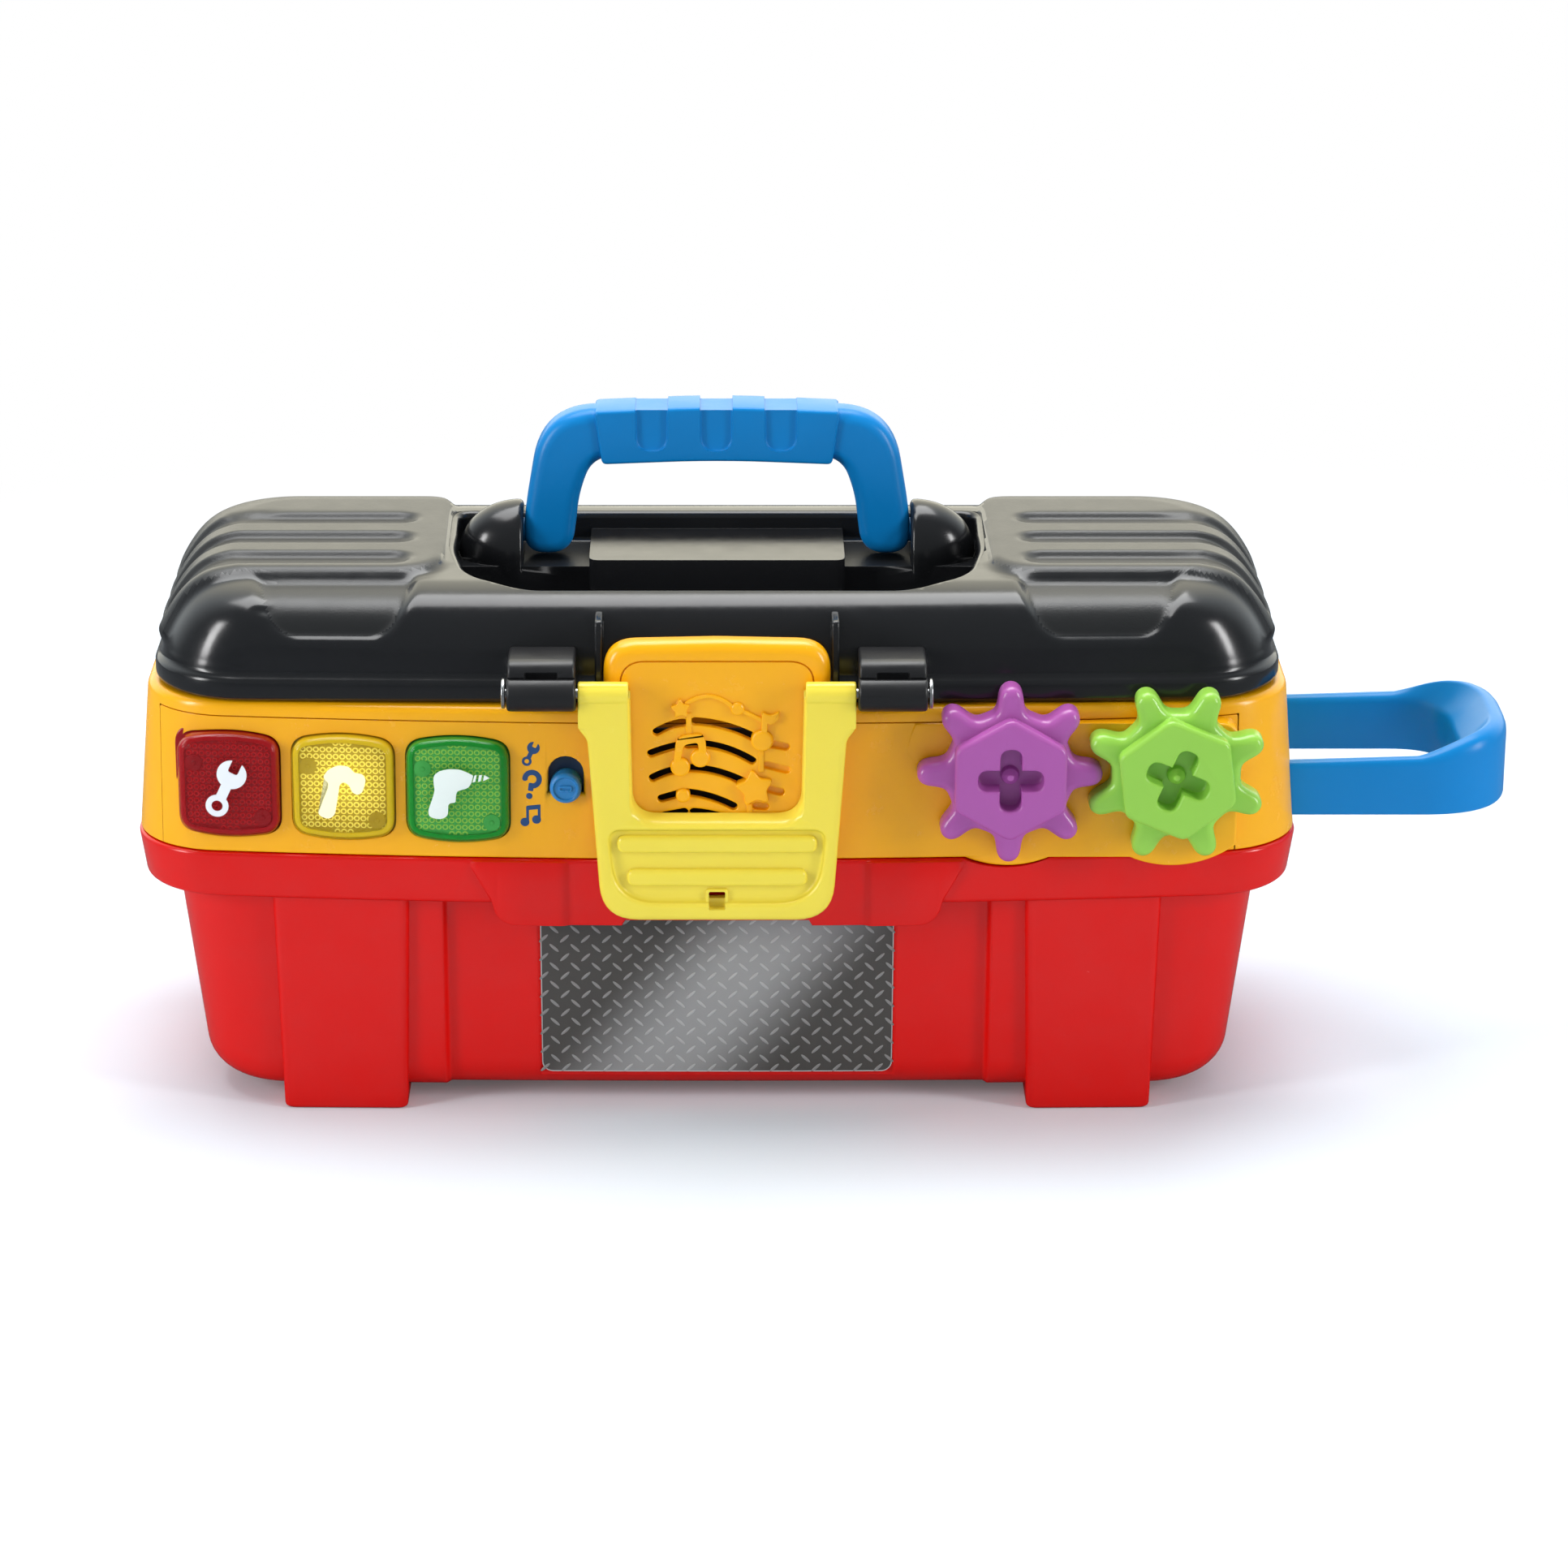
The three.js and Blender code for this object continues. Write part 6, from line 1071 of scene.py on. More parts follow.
def scoop_depth(p):
    """How far inside a front scoop a point lies, seen from the front; its lower corners are round."""
    above = p[:, 2] - SCOOP_LOW
    half = SCOOP_HALF + SCOOP_SPREAD * above / (LID_TOP - SCOOP_LOW)
    side = (half - np.abs(np.abs(p[:, 0]) - SCOOP_X)) * 0.9
    short = np.hypot(np.maximum(SCOOP_CORNER - side, 0), np.maximum(SCOOP_CORNER - above, 0))
    return np.minimum(SCOOP_CORNER - short, SCOOP_BACK - p[:, 1])


def lid_relief(p):
    shown = step(p[:, 2], LID_SHOULDER + 2.6, 3.4)
    pad = PAD_PROUD * step(pad_depth(p), 0.3, 2.6) * shown
    groove = GROOVE_DEEP * step(groove_depth(p), 1.1, 2.2) * step(p[:, 2], LID_SHOULDER + 5.6, 4)
    return pad - groove - SCOOP_DEEP * step(scoop_depth(p), 0.5, 1.8)


WELL_FLOOR, WELL_FRONT_FLOOR, STEP_TOP = 133, 125, 136.6
WELL_HALF = ((51, -42.6, 6), (62, -33.5, 3.6), (65.6, -27, 3.2), (68.8, -9, 5), (69.3, 25, 4))
DOME_FACE, DOME_OUT, DOME_WIDE, DOME_HIGH, DOME_SQUARE = 51.65, 17.4, 11.6, 15.2, 0.92
DOME_STEPS = 84
FIN_X, FIN_HALF = 30.2, 1.0
FIN_SHAPE = ((-61.6, 117, 0.8), (-52, 117, 0.3), (-50, 136.9, 0.3), (-58.6, 136.9, 1.4))


def dome(side):
    """The rounded housing over a handle pin, flat towards the handle."""
    rings = [(0, 1.2, 1.0), (0.3, 0.55, 1.0), (0.8, 0.12, 1.0)]
    rings += [(DOME_OUT * math.sin(t) ** DOME_SQUARE, 0, math.cos(t) ** DOME_SQUARE)
              for t in np.linspace(0.09, math.pi / 2 - 0.08, 24)]
    turn = np.linspace(0, 2 * math.pi, DOME_STEPS, endpoint=False)
    made = []
    for out, inset, share in rings:
        outline = np.stack((HANDLE_Y + (DOME_WIDE * share - inset) * np.cos(turn),
                            WELL_FLOOR + (DOME_HIGH * share - inset) * np.sin(turn)), axis=1)
        made.append(placed(outline, ALONG_X, side * (DOME_FACE + out)))
    return loft(made)


def well_outline(grow=0.0):
    """The handle well seen from above; its ends widen towards the pin domes."""
    return grown(mirror_halved(WELL_HALF, 8, 8), grow)


def lid_hollow():
    """The space inside the lid, less the walls round the well."""
    space = lid_skin(-LID_WALL, 60, 0, np.linspace(-120, 120, 40), np.linspace(-30, 30, 14), 8, 16)
    behind = block((-90, 90), (2 + LID_WALL, 60), (100, WELL_FLOOR - LID_WALL))
    liner = shaped(upright(well_outline(LID_WALL), WELL_FRONT_FLOOR - LID_WALL, 190), "-", behind)
    return shaped(space, "-", liner)


def paint_lid(mesh):
    """Gloss all over, but spark texture on the pads, in the scoops and on the well's shelf."""
    mesh.materials.clear()
    mesh.materials.append(PAINT["black_plastic"])
    mesh.materials.append(PAINT["black_texture"])
    centres = np.empty(len(mesh.polygons) * 3)
    mesh.polygons.foreach_get("center", centres)
    centres = centres.reshape(-1, 3)
    matt = (pad_depth(centres) > 0.7) & (centres[:, 2] > LID_SHOULDER + 2)
    matt |= (scoop_depth(centres) > 0.9) & (centres[:, 1] < -30)
    matt |= (np.abs(centres[:, 2] - WELL_FLOOR) < 0.1) & (np.abs(centres[:, 0]) < 62)
    mesh.polygons.foreach_set("material_index", matt.astype(np.int32))


def make_lid():
    """Glossy lid with a rolled rim, a well with a shelf, end pads, scoops, pin domes and hinge knuckles."""
    dense = list(near((), 0, 2.6, -69, 69))
    ends = list(np.arange(69, 121.6, 0.8))
    x_lines = np.array(sorted([-x for x in ends] + dense + ends))
    skin = lid_skin(0, LID_LOW, 2, x_lines, np.linspace(-30, 30, 112), 12, 46)
    skin = pressed(skin, lid_relief, LID_SHOULDER + 1.5)
    shelf = upright(well_outline(), WELL_FLOOR, 175, 1.4)
    rolled_edge = upright(well_outline(), 136, LID_TOP + 0.01, 0, -1.8, 6)
    above = upright(well_outline(1.8), LID_TOP - 0.02, 175)
    front_part = shaped(upright(well_outline(), WELL_FRONT_FLOOR, 175, 2.2), "&",
                        block((-90, 90), (-60, 2), (100, 180)))
    raised = [dome(side) for side in SIDES]
    raised.append(upright(soft_box(-33.9, 33.9, -4.2, 28, 3, 6, 6), 128, STEP_TOP))
    pins = [rod_x(3.5, (side * 50, side * 59.2), HANDLE_Y, HANDLE_Z) for side in SIDES]
    leaf = soft_box(53.6, HINGE_Y, 114.6, 117.2, 0.6, 3)
    knuckles = []
    for middle in (-HINGE_X, HINGE_X):
        knuckles.append(rod_x(KNUCKLE_RADIUS, (middle - 6, middle + 6), HINGE_Y, HINGE_Z, 0.6))
        knuckles.append(sideways(leaf, (middle - 6, middle + 6), 0.4))
    fins = [sideways(soft_outline(FIN_SHAPE, 4), (side * FIN_X - FIN_HALF, side * FIN_X + FIN_HALF), 0.6)
            for side in SIDES]
    lid = shaped(skin, "-", [front_part, shelf, rolled_edge, above], "+", raised, "-", lid_hollow(),
                 "+", knuckles + fins, "-", pins + hinge_bores())
    paint_lid(lid)
    show("lid_shell", lid, "lid", "black_plastic", ("lid",), keep_paints=True, edge=66)


make_lid()


# Latch, its knuckles, the speaker panel, the handle and the tool holder

PANEL_FACE = -65.0
LATCH_FACE, LATCH_BACK = -70.65, -65.45
LATCH_FOOT, LATCH_FOOT_HALF, LATCH_SPREAD = 59.7, 29.6, 0.07
LATCH_CORNER, LATCH_INNER_CORNER = 9.5, 3.4
LATCH_HALF, LATCH_BORE = 35.3, 1.6
# The opening's rings as (y, bottom, half width, corner); they widen towards the front
OPENING_TOP, OPENING_LEAN = 140, 0.9
OPENING = ((-80, 83.5, 24.6, 7.4), (-70.75, 84.9, 23.3, 7), (-70.1, 85.9, 22.7, 6.8),
           (-68.8, 86.9, 22.5, 6.6), (-65.7, 87.7, 22.4, 6.5), (-60, 87.8, 22.4, 6.5))
# The two finger ribs as (half width, height of their middle)
RIBS, RIB_HALF_HIGH = ((25.6, 80.5), (23.1, 71.4)), 2.3


def latch_outline():
    half = ((LATCH_FOOT_HALF, LATCH_FOOT, LATCH_CORNER), (33.0, 108.6, 1.4), (LATCH_HALF, 111.6, 1.2),
            (LATCH_HALF, PIVOT_Z, 0), (20, PIVOT_Z, 0), (20, 92, 0))
    return mirror_halved(half, 8, 5)


def latch_foot(side_inset, bottom_inset, top, corner=LATCH_CORNER):
    """The latch's foot up to the height top, drawn in at its sides and bottom."""
    x = LATCH_FOOT_HALF - side_inset
    slant = (top - LATCH_FOOT) * LATCH_SPREAD
    return mirror_halved(((x, LATCH_FOOT + bottom_inset, corner), (x + slant, top, LATCH_INNER_CORNER)), 8, 5)


def latch_opening():
    rings = []
    for y, bottom, half, corner in OPENING:
        outline = mirror_halved(((half - OPENING_LEAN, bottom, corner), (half, OPENING_TOP, 0)), 10, 500)
        rings.append(placed(outline, ALONG_Y, y))
    return loft(rings)


def latch_bore(side):
    return rod_x(LATCH_BORE, (side * 15, side * 61), PIVOT_Y, PIVOT_Z)


def make_latch():
    """Yellow U latch with a framed finger field, two ribs and a keeper hole, hung on two barrels."""
    plate = frontal(latch_outline(), LATCH_FACE, LATCH_BACK, 1.9, 0.5, 6)
    lip = shaped(frontal(latch_foot(0.8, 0.8, 73.6), LATCH_BACK - 0.5, -60.45, 0, 0.5),
                 "-", frontal(latch_foot(3.4, 3.4, 150), LATCH_BACK - 0.4, 0))
    field = frontal(latch_foot(3.5, 5.0, 84.4, 11), LATCH_FACE - 0.01, LATCH_FACE + 1.9, -1.3, 1.0, 6)
    ribs = [frontal(soft_box(-half, half, z - RIB_HALF_HIGH, z + RIB_HALF_HIGH, 2.2), LATCH_FACE + 0.3,
                    LATCH_BACK - 1, 1.2, 0, 5) for half, z in RIBS]
    hole = frontal(soft_box(-2.1, 2.1, 65.1, 67.5, 0.5), -FAR, 0)
    slot = frontal(soft_box(-2.1, 2.1, 62.9, 65.9, 0.4), LATCH_FACE - 2, LATCH_FACE + 3.0, 0, 0.3)
    collar = frontal(soft_box(-2.9, 2.9, 61.6, 68.2, 1.0), LATCH_FACE + 1.1, LATCH_BACK - 1, 0.4, 0)
    cheek = soft_outline([(LATCH_FACE, 112, 0), (LATCH_FACE, PIVOT_Z + 2.9, 1.5),
                          (PIVOT_Y, PIVOT_Z + 3.0, 0.4), (LATCH_BACK - 0.6, PIVOT_Z, 0.3),
                          (LATCH_BACK - 0.6, 112, 0)], 6, 3)
    barrels = []
    for side in SIDES:
        ends = (side * 22.5, side * LATCH_HALF)
        barrels += [rod_x(3.0, ends, PIVOT_Y, PIVOT_Z, 0.5), sideways(cheek, ends, 0.5)]
    bores = [latch_bore(side) for side in SIDES]
    latch = shaped(plate, "-", [field, latch_opening()], "+", [lip, collar] + ribs + barrels,
                   "-", [hole, slot] + bores)
    show("latch_shell", latch, "latch", "yellow_plastic", ("latch",))


def make_knuckles():
    """Black bearing block each side: half barrel over the pin, hood above it and a shallow tool slot."""
    x_lines, y_lines = np.linspace(-120, 120, 60), np.linspace(-30, 30, 14)
    lid_space = lid_skin(SEAT_GAP, LID_LOW - SEAT_GAP, 2, x_lines, y_lines, 10, 40)
    hood_front = -69.65
    profile = soft_outline([(hood_front, PIVOT_Z, 0.5), (hood_front, 129.5, 4.4), (-44, 127.8, 0.5),
                            (-41, 115, 0.5), (PIVOT_Y + 2, 115, 1.5)], 8, 4)
    for side, label in zip(SIDES, ("left", "right")):
        low, high = sorted((side * 35.8, side * 53.4))
        middle = (low + high) / 2
        barrel = rod_x(4.6, (low, high), PIVOT_Y, PIVOT_Z, 0.9)
        hood = sideways(profile, (low + 0.2, high - 0.2), 0.9)
        slot = frontal(soft_box(middle - 4.2, middle + 4.2, 123.7, 126.7, 0.5), hood_front - 0.01, -67.6,
                       -0.3, 0.3)
        seam = frontal(soft_box(low - 1, high + 1, 125.0, 125.4, 0), -FAR, -69.1)
        bearing = shaped(barrel, "+", hood, "-", [lid_space, slot, seam, latch_bore(side)])
        show(f"knuckle_{label}", bearing, "lid", "black_fittings", (f"latch_bracket_{label}",))
        inner, head, outer = side * 22.7, side * 53.7, side * 54.7
        pin = rod_x(1.3, (inner, outer), PIVOT_Y, PIVOT_Z, 0.3, 32)
        cap = rod_x(3.9, (head, outer), PIVOT_Y, PIVOT_Z, 0.35)
        show(f"latch_pin_{label}_turned", shaped(pin, "+", cap), "lid", "plated_steel",
             (f"latch_pin_{label}",))


LANE_STEPS = 14


def lane(points, width):
    """Outline of a bar with round ends laid along a smooth curve through the points (x, z)."""
    line = np.array(points, dtype=float)
    curve = np.polyfit(line[:, 0], line[:, 1], min(2, len(points) - 1))
    xs = np.linspace(line[0, 0], line[-1, 0], LANE_STEPS)
    mid = np.stack((xs, np.polyval(curve, xs)), axis=1)
    way = np.gradient(mid, axis=0)
    way /= np.linalg.norm(way, axis=1)[:, None]
    side = np.stack((-way[:, 1], way[:, 0]), axis=1) * width / 2
    turn = np.linspace(0, math.pi, 9)[1:-1]
    far = [mid[-1] + side[-1] * math.cos(t) + way[-1] * width / 2 * math.sin(t) for t in turn][::-1]
    near_end = [mid[0] + side[0] * math.cos(t) - way[0] * width / 2 * math.sin(t) for t in turn]
    return np.vstack((mid - side, far, (mid + side)[::-1], near_end))


def star_outline(x, z, radius, turn=0.0):
    """A plump five-pointed star; its tips are rounder than its notches."""
    corners = []
    for i in range(10):
        reach, soft = (radius * 1.12, radius * 0.3) if i % 2 == 0 else (radius * 0.62, radius * 0.18)
        angle = math.pi / 2 + i * math.pi / 5 + turn
        corners.append((x + reach * math.cos(angle), z + reach * math.sin(angle), soft))
    return soft_outline(corners, 4)


SOUND_SLOTS = [[(-15.4, 109.3), (-13, 110.6), (-8.6, 111.8)],
               [(-5.6, 112.1), (-2.5, 112), (3, 110.5), (10, 107.6)],
               [(-16.8, 103.5), (-14.1, 104.5), (-9.5, 105.7)],
               [(-7.6, 105.9), (-3.5, 106.2), (3.6, 104.1), (9, 101.6)],
               [(-16.4, 96.9), (-14.1, 98), (-9.5, 99.2)],
               [(-7.4, 99.5), (-3.6, 99.4), (0.8, 98.2), (7.6, 95.4)],
               [(-14.2, 91.3), (-9.6, 92.6)], [(-7.8, 92.9), (-2.5, 92), (0.8, 90.7), (4.2, 89.2)],
               [(-13.4, 86.6), (-8.4, 87.6)], [(-6, 87.6), (-1.4, 86.9), (3, 85.4)]]
BLIND_SLOTS = [[(12.6, 106.4), (17.6, 105.3)], [(12.7, 100.4), (17.8, 99.1)], [(12.4, 94.1), (16.3, 93.1)],
               [(10, 89.3), (12.4, 89.1)]]
# Raised balls as (x, z, radius), and the plain bars as their two x and two z places
BALLS = ((5.2, 115.7, 1.75), (-8.7, 92.3, 1.85), (11.5, 107.2, 2.85), (-9.4, 100.1, 2.55), (-4.3, 102.5, 2.5))
BARS = ((-7.9, -6.5, 108.4, 114.6), (10.6, 12, 98.6, 104.4), (7.6, 9, 85.4, 90))
STEM = ((11.2, 107.3, 0.2), (12.7, 107.3, 0.2), (12.9, 113.4, 0.3), (11.4, 114.9, 0.4))
FLAG = ((11.4, 114.9, 0.4), (11.5, 112.6, 0.3), (13.8, 111.4, 0.7), (15.6, 112.9, 0.7), (15.9, 115.0, 0.3),
        (13.9, 114.0, 0.8))
BEAM = ((-11.2, 100.4, 0.2), (-9.6, 100.4, 0.2), (-8.5, 106.2, 1.2), (-4.9, 106.8, 0.8), (-4.4, 102.6, 0.2),
        (-2.7, 102.6, 0.2), (-2.9, 107.4, 1.6), (-3.9, 109.1, 0.8), (-8.9, 108.9, 1.8), (-10.5, 107, 1))


def panel_marks():
    """Stars, balls, notes and strokes that stand up from the panel, each with its height and round edge."""
    figures = [(circle(r, x, z, 40), 0.8 + r * 0.15, min(0.9, r * 0.45)) for x, z, r in BALLS]
    figures += [(star_outline(-9.3, 115.8, 2.5, 0.1), 1.2, 0.25),
                (star_outline(9.6, 94.4, 4.9, 0.15), 1.4, 0.5),
                (soft_outline(STEM, 3), 1.0, 0.2), (soft_outline(FLAG, 4), 1.0, 0.16),
                (soft_outline(BEAM, 4), 1.05, 0.2),
                (lane([(-7.8, 117.1), (-1.4, 119), (3.8, 116.4)], 1.1), 0.7, 0.3),
                (lane([(6.6, 115), (9.1, 113.8), (11.7, 112.5)], 1.1), 0.7, 0.3)]
    figures += [(soft_box(*bar, 0.3), 0.3, 0.25) for bar in BARS]
    return [frontal(outline, PANEL_FACE - proud, PANEL_FACE + 2, round_mm, 0, 5)
            for outline, proud, round_mm in figures]


def make_panel():
    """Raised orange speaker panel: framed field, curved sound slots, raised stars, balls and notes."""
    outline = soft_outline([(-28.9, 75.5, 6.6), (28.9, 75.5, 6.6), (28.9, 132.9, 8.4), (0, 133.5, 2),
                            (-28.9, 132.9, 8.4)], 10)
    plate = frontal(outline, PANEL_FACE, -60, 3.2, 0, 8)
    inner = mirror_halved(((24.8, 79.6, 6.2), (24.8, 128.4, 6.6)), 10)
    seam = shaped(frontal(inner, PANEL_FACE - 0.01, PANEL_FACE + 0.7, -0.2, 0.1), "-",
                  frontal(grown(inner, -0.35), PANEL_FACE - 1, PANEL_FACE + 2))
    pocket = frontal(soft_box(-22.5, 22.5, 82, 116.4, 4, 6), PANEL_FACE + 2.2, -50)
    cuts = [frontal(lane(line, 2.15), PANEL_FACE - 0.01, 0, -0.4, 0) for line in SOUND_SLOTS]
    cuts += [frontal(lane(line, 2.0), PANEL_FACE - 0.01, PANEL_FACE + 1.5, -0.35, 0.5)
             for line in BLIND_SLOTS]
    panel = shaped(plate, "-", [seam, pocket] + cuts, "+", panel_marks())
    show("panel_shell", panel, "box", "orange_plastic", ("speaker_panel",))
    cloth = frontal(soft_box(-22, 22, 82.5, 109, 3.5, 6), -61.1, -60.1, 0.3, 0.3)
    show("dust_cloth", cloth, "box", "black_felt")


BAIL_HALF_DEEP, SLEEVE_PROUD, SLEEVE_TOP = 5.7, 1.1, 174.55
BAIL_HALF = ((33.0, 160.9, 5.5), (36.6, 151, 4), (38.7, 134.3, 6.2), (51.8, 134.3, 6.2), (51.2, 146, 5),
             (46.4, 174.2, 15))
NOTCHES, NOTCH_HALF = (-17.3, -0.2, 16.9), 4.3


def make_handle():
    """Blue bail: legs that spread and round off at the pins, and a square-edged sleeve with notches."""
    front, back = HANDLE_Y - BAIL_HALF_DEEP, HANDLE_Y + BAIL_HALF_DEEP
    bail = frontal(mirror_halved(BAIL_HALF, 12, 4), front, back, 3.6, 3.6, 9)
    pins = [rod_x(3.2, (side * 40, side * 58.2), HANDLE_Y, HANDLE_Z, 0.4) for side in SIDES]
    sleeve_shape = soft_outline([(-30.5, 159.7, 1.4), (0, 160.9, 14), (30.5, 159.7, 1.4),
                                 (32.5, 174.3, 1.4), (0, 175.7, 14), (-32.5, 174.3, 1.4)], 6, 3)
    sleeve = frontal(sleeve_shape, front - SLEEVE_PROUD, back + SLEEVE_PROUD, 0.9, 0.9, 5)
    above = soft_box(front - 6, back + 6, SLEEVE_TOP, 190, 0)
    notches = []
    for x in NOTCHES:
        low, high = x - NOTCH_HALF, x + NOTCH_HALF
        notch = soft_outline([(low, 163.4, 4.1), (high, 163.4, 4.1), (high, 190, 0), (low, 190, 0)], 10, 3)
        notches += [frontal(notch, front - 6, front - 0.15, 0, 0.6),
                    frontal(notch, back + 0.15, back + 6, 0.6, 0),
                    sideways(above, (low, high))]
    handle = shaped(bail, "+", [shaped(sleeve, "-", notches)] + pins)
    show("handle_shell", handle, "handle", "blue_plastic", ("carry_handle",))


make_latch()
make_knuckles()
make_panel()
make_handle()
# The tool holder: a round-edged U strap from the band's end, its far wall dished and flared up
show("loop_strap", loop_body(0), "box", "blue_plastic", ("tool_loop",))


# What repeats comes from Geometry Nodes: the lens rings behind the buttons and the label's tread marks

FIELD_SIZES = {"Columns": 13, "Rows": 14, "Pitch X": 1.7, "Pitch Z": 1.86, "Row Shift": 0.0, "Lean": 0.0,
               "Crown": 12.2, "Droop": 0.016, "Bead Length": 1.5, "Bead Width": 1.5, "Bead Height": 1.5,
               "Ring Radius": 0.0, "Ring Wire": 0.22}


def maths(tree, operation, *terms):
    """A maths node; each term is a number or (node, socket)."""
    node = add_node(tree, "ShaderNodeMath", operation=operation)
    for socket, term in enumerate(terms):
        if isinstance(term, tuple):
            tree.links.new(term[0].outputs[term[1]], node.inputs[socket])
        else:
            node.inputs[socket].default_value = term
    return node, 0


def bead_field(paint, **sizes):
    """Rows of small beads, or rings, on the XZ plane round its middle; every second row can be shifted and
    lean the other way, and the first and last rows end where the crown line droops."""
    tree = bpy.data.node_groups.new("bead_field", "GeometryNodeTree")
    tree.interface.new_socket("Geometry", in_out="OUTPUT", socket_type="NodeSocketGeometry")
    values = {**FIELD_SIZES, **sizes}
    for label in values:
        kind = "NodeSocketInt" if label in ("Columns", "Rows") else "NodeSocketFloat"
        tree.interface.new_socket(label, in_out="INPUT", socket_type=kind)
    tree.interface.new_socket("Finish", in_out="INPUT", socket_type="NodeSocketMaterial")
    given = add_node(tree, "NodeGroupInput")
    end = add_node(tree, "NodeGroupOutput")

    def from_middle(number, count):
        """How many columns or rows a number lies from the field's middle."""
        half = maths(tree, "MULTIPLY", maths(tree, "SUBTRACT", (given, count), 1), 0.5)
        return maths(tree, "SUBTRACT", number, half)

    index = add_node(tree, "GeometryNodeInputIndex")
    row = maths(tree, "FLOOR", maths(tree, "DIVIDE", (index, 0), (given, "Columns")))
    column = maths(tree, "MODULO", (index, 0), (given, "Columns"))
    odd = maths(tree, "SUBTRACT", maths(tree, "MODULO", row, 2), 0.5)
    spare = maths(tree, "MULTIPLY", odd, (given, "Row Shift"))
    lean = maths(tree, "MULTIPLY", odd, (given, "Lean"))
    x = maths(tree, "MULTIPLY", maths(tree, "ADD", from_middle(column, "Columns"), spare), (given, "Pitch X"))
    z = maths(tree, "MULTIPLY", from_middle(row, "Rows"), (given, "Pitch Z"))
    droop = maths(tree, "MULTIPLY", maths(tree, "POWER", x, 2), (given, "Droop"))
    reach = maths(tree, "SUBTRACT", (given, "Crown"), droop)
    inside = maths(tree, "LESS_THAN", maths(tree, "ABSOLUTE", z), reach)
    place = add_node(tree, "ShaderNodeCombineXYZ", [("X", *x), ("Z", *z)])
    spin = add_node(tree, "ShaderNodeCombineXYZ", [("Y", *lean)])
    size = add_node(tree, "ShaderNodeCombineXYZ",
                    [("X", given, "Bead Length"), ("Y", given, "Bead Height"), ("Z", given, "Bead Width")])

    count = maths(tree, "MULTIPLY", (given, "Columns"), (given, "Rows"))
    line = add_node(tree, "GeometryNodeMeshLine", [("Count", *count)])
    points = add_node(tree, "GeometryNodeSetPosition", [("Geometry", line, 0), ("Position", place, 0)])
    if values["Ring Radius"]:
        loop = add_node(tree, "GeometryNodeCurvePrimitiveCircle", [("Radius", given, "Ring Radius")],
                        {"Resolution": 12})
        wire = add_node(tree, "GeometryNodeCurvePrimitiveCircle", [("Radius", given, "Ring Wire")],
                        {"Resolution": 5})
        ring = add_node(tree, "GeometryNodeCurveToMesh", [("Curve", loop, 0), ("Profile Curve", wire, 0)])
        bead = add_node(tree, "GeometryNodeTransform", [("Geometry", ring, 0)],
                        {"Rotation": (math.pi / 2, 0, 0)})
    else:
        bead = add_node(tree, "GeometryNodeMeshUVSphere", inputs={"Segments": 10, "Rings": 6, "Radius": 0.5})
    smooth = add_node(tree, "GeometryNodeSetShadeSmooth", [(0, bead, 0)])
    laid = add_node(tree, "GeometryNodeInstanceOnPoints",
                    [("Points", points, 0), ("Selection", *inside), ("Instance", smooth, 0),
                     ("Rotation", spin, 0), ("Scale", size, 0)])
    real = add_node(tree, "GeometryNodeRealizeInstances", [(0, laid, 0)])
    painted = add_node(tree, "GeometryNodeSetMaterial", [(0, real, 0), ("Material", given, "Finish")])
    tree.links.new(painted.outputs[0], end.inputs[0])

    blank = bpy.data.objects.new("blank", bpy.data.meshes.new("blank"))
    bpy.context.scene.collection.objects.link(blank)
    repeat = blank.modifiers.new("repeat", "NODES")
    repeat.node_group = tree
    for socket in tree.interface.items_tree:
        if socket.in_out == "INPUT":
            repeat[socket.identifier] = PAINT[paint] if socket.name == "Finish" else values[socket.name]
    seen = bpy.context.evaluated_depsgraph_get()
    mesh = bpy.data.meshes.new_from_object(blank.evaluated_get(seen))
    bpy.data.objects.remove(blank)
    return mesh


# Buttons, switch and printed marks on the band's front

CAP_FACE, PLATE_FACE = -3.2, -0.8
# Two moulding bosses with a pip on each, as (radius, steps, height above the plate, round edge)
BOSS_PLACES = ((-9, 5.7), (8.7, -8.7))
BOSSES = ((2.3, 32, 0.5, 0.2), (0.65, 20, 0.8, 0.25))
RINGS = {"Ring Radius": 0.62, "Bead Length": 1.0, "Bead Width": 1.0, "Bead Height": 1.0}
CAP_PRINT, BAND_PRINT = 0.07, 0.06
HAMMER_MARK = [(-4.7, 3.7, 0.5), (-3.4, 5.6, 0.8), (-0.8, 6.9, 1), (1.9, 6.6, 0.8), (3.4, 4.9, 0.4),
               (5.5, 4.6, 0.6), (6.3, 3.2, 0.7), (5.9, 1.2, 0.5), (5.3, -0.4, 0.6), (4.1, -1.2, 0.7),
               (2.7, -0.4, 0.5), (2, 1.4, 0.7), (0.6, 2.4, 0.7), (-0.5, 1.6, 0.6), (-0.8, -0.3, 0.6),
               (-1.3, -3.4, 0.5), (-2, -7, 1.2), (-3.8, -7.9, 0.8), (-6.1, -7, 0.9), (-6.3, -5.8, 0.5),
               (-4.9, -2.2, 0.6), (-3.5, 0.8, 0.7), (-3.5, 2, 0.4), (-4.3, 2.9, 0.4)]
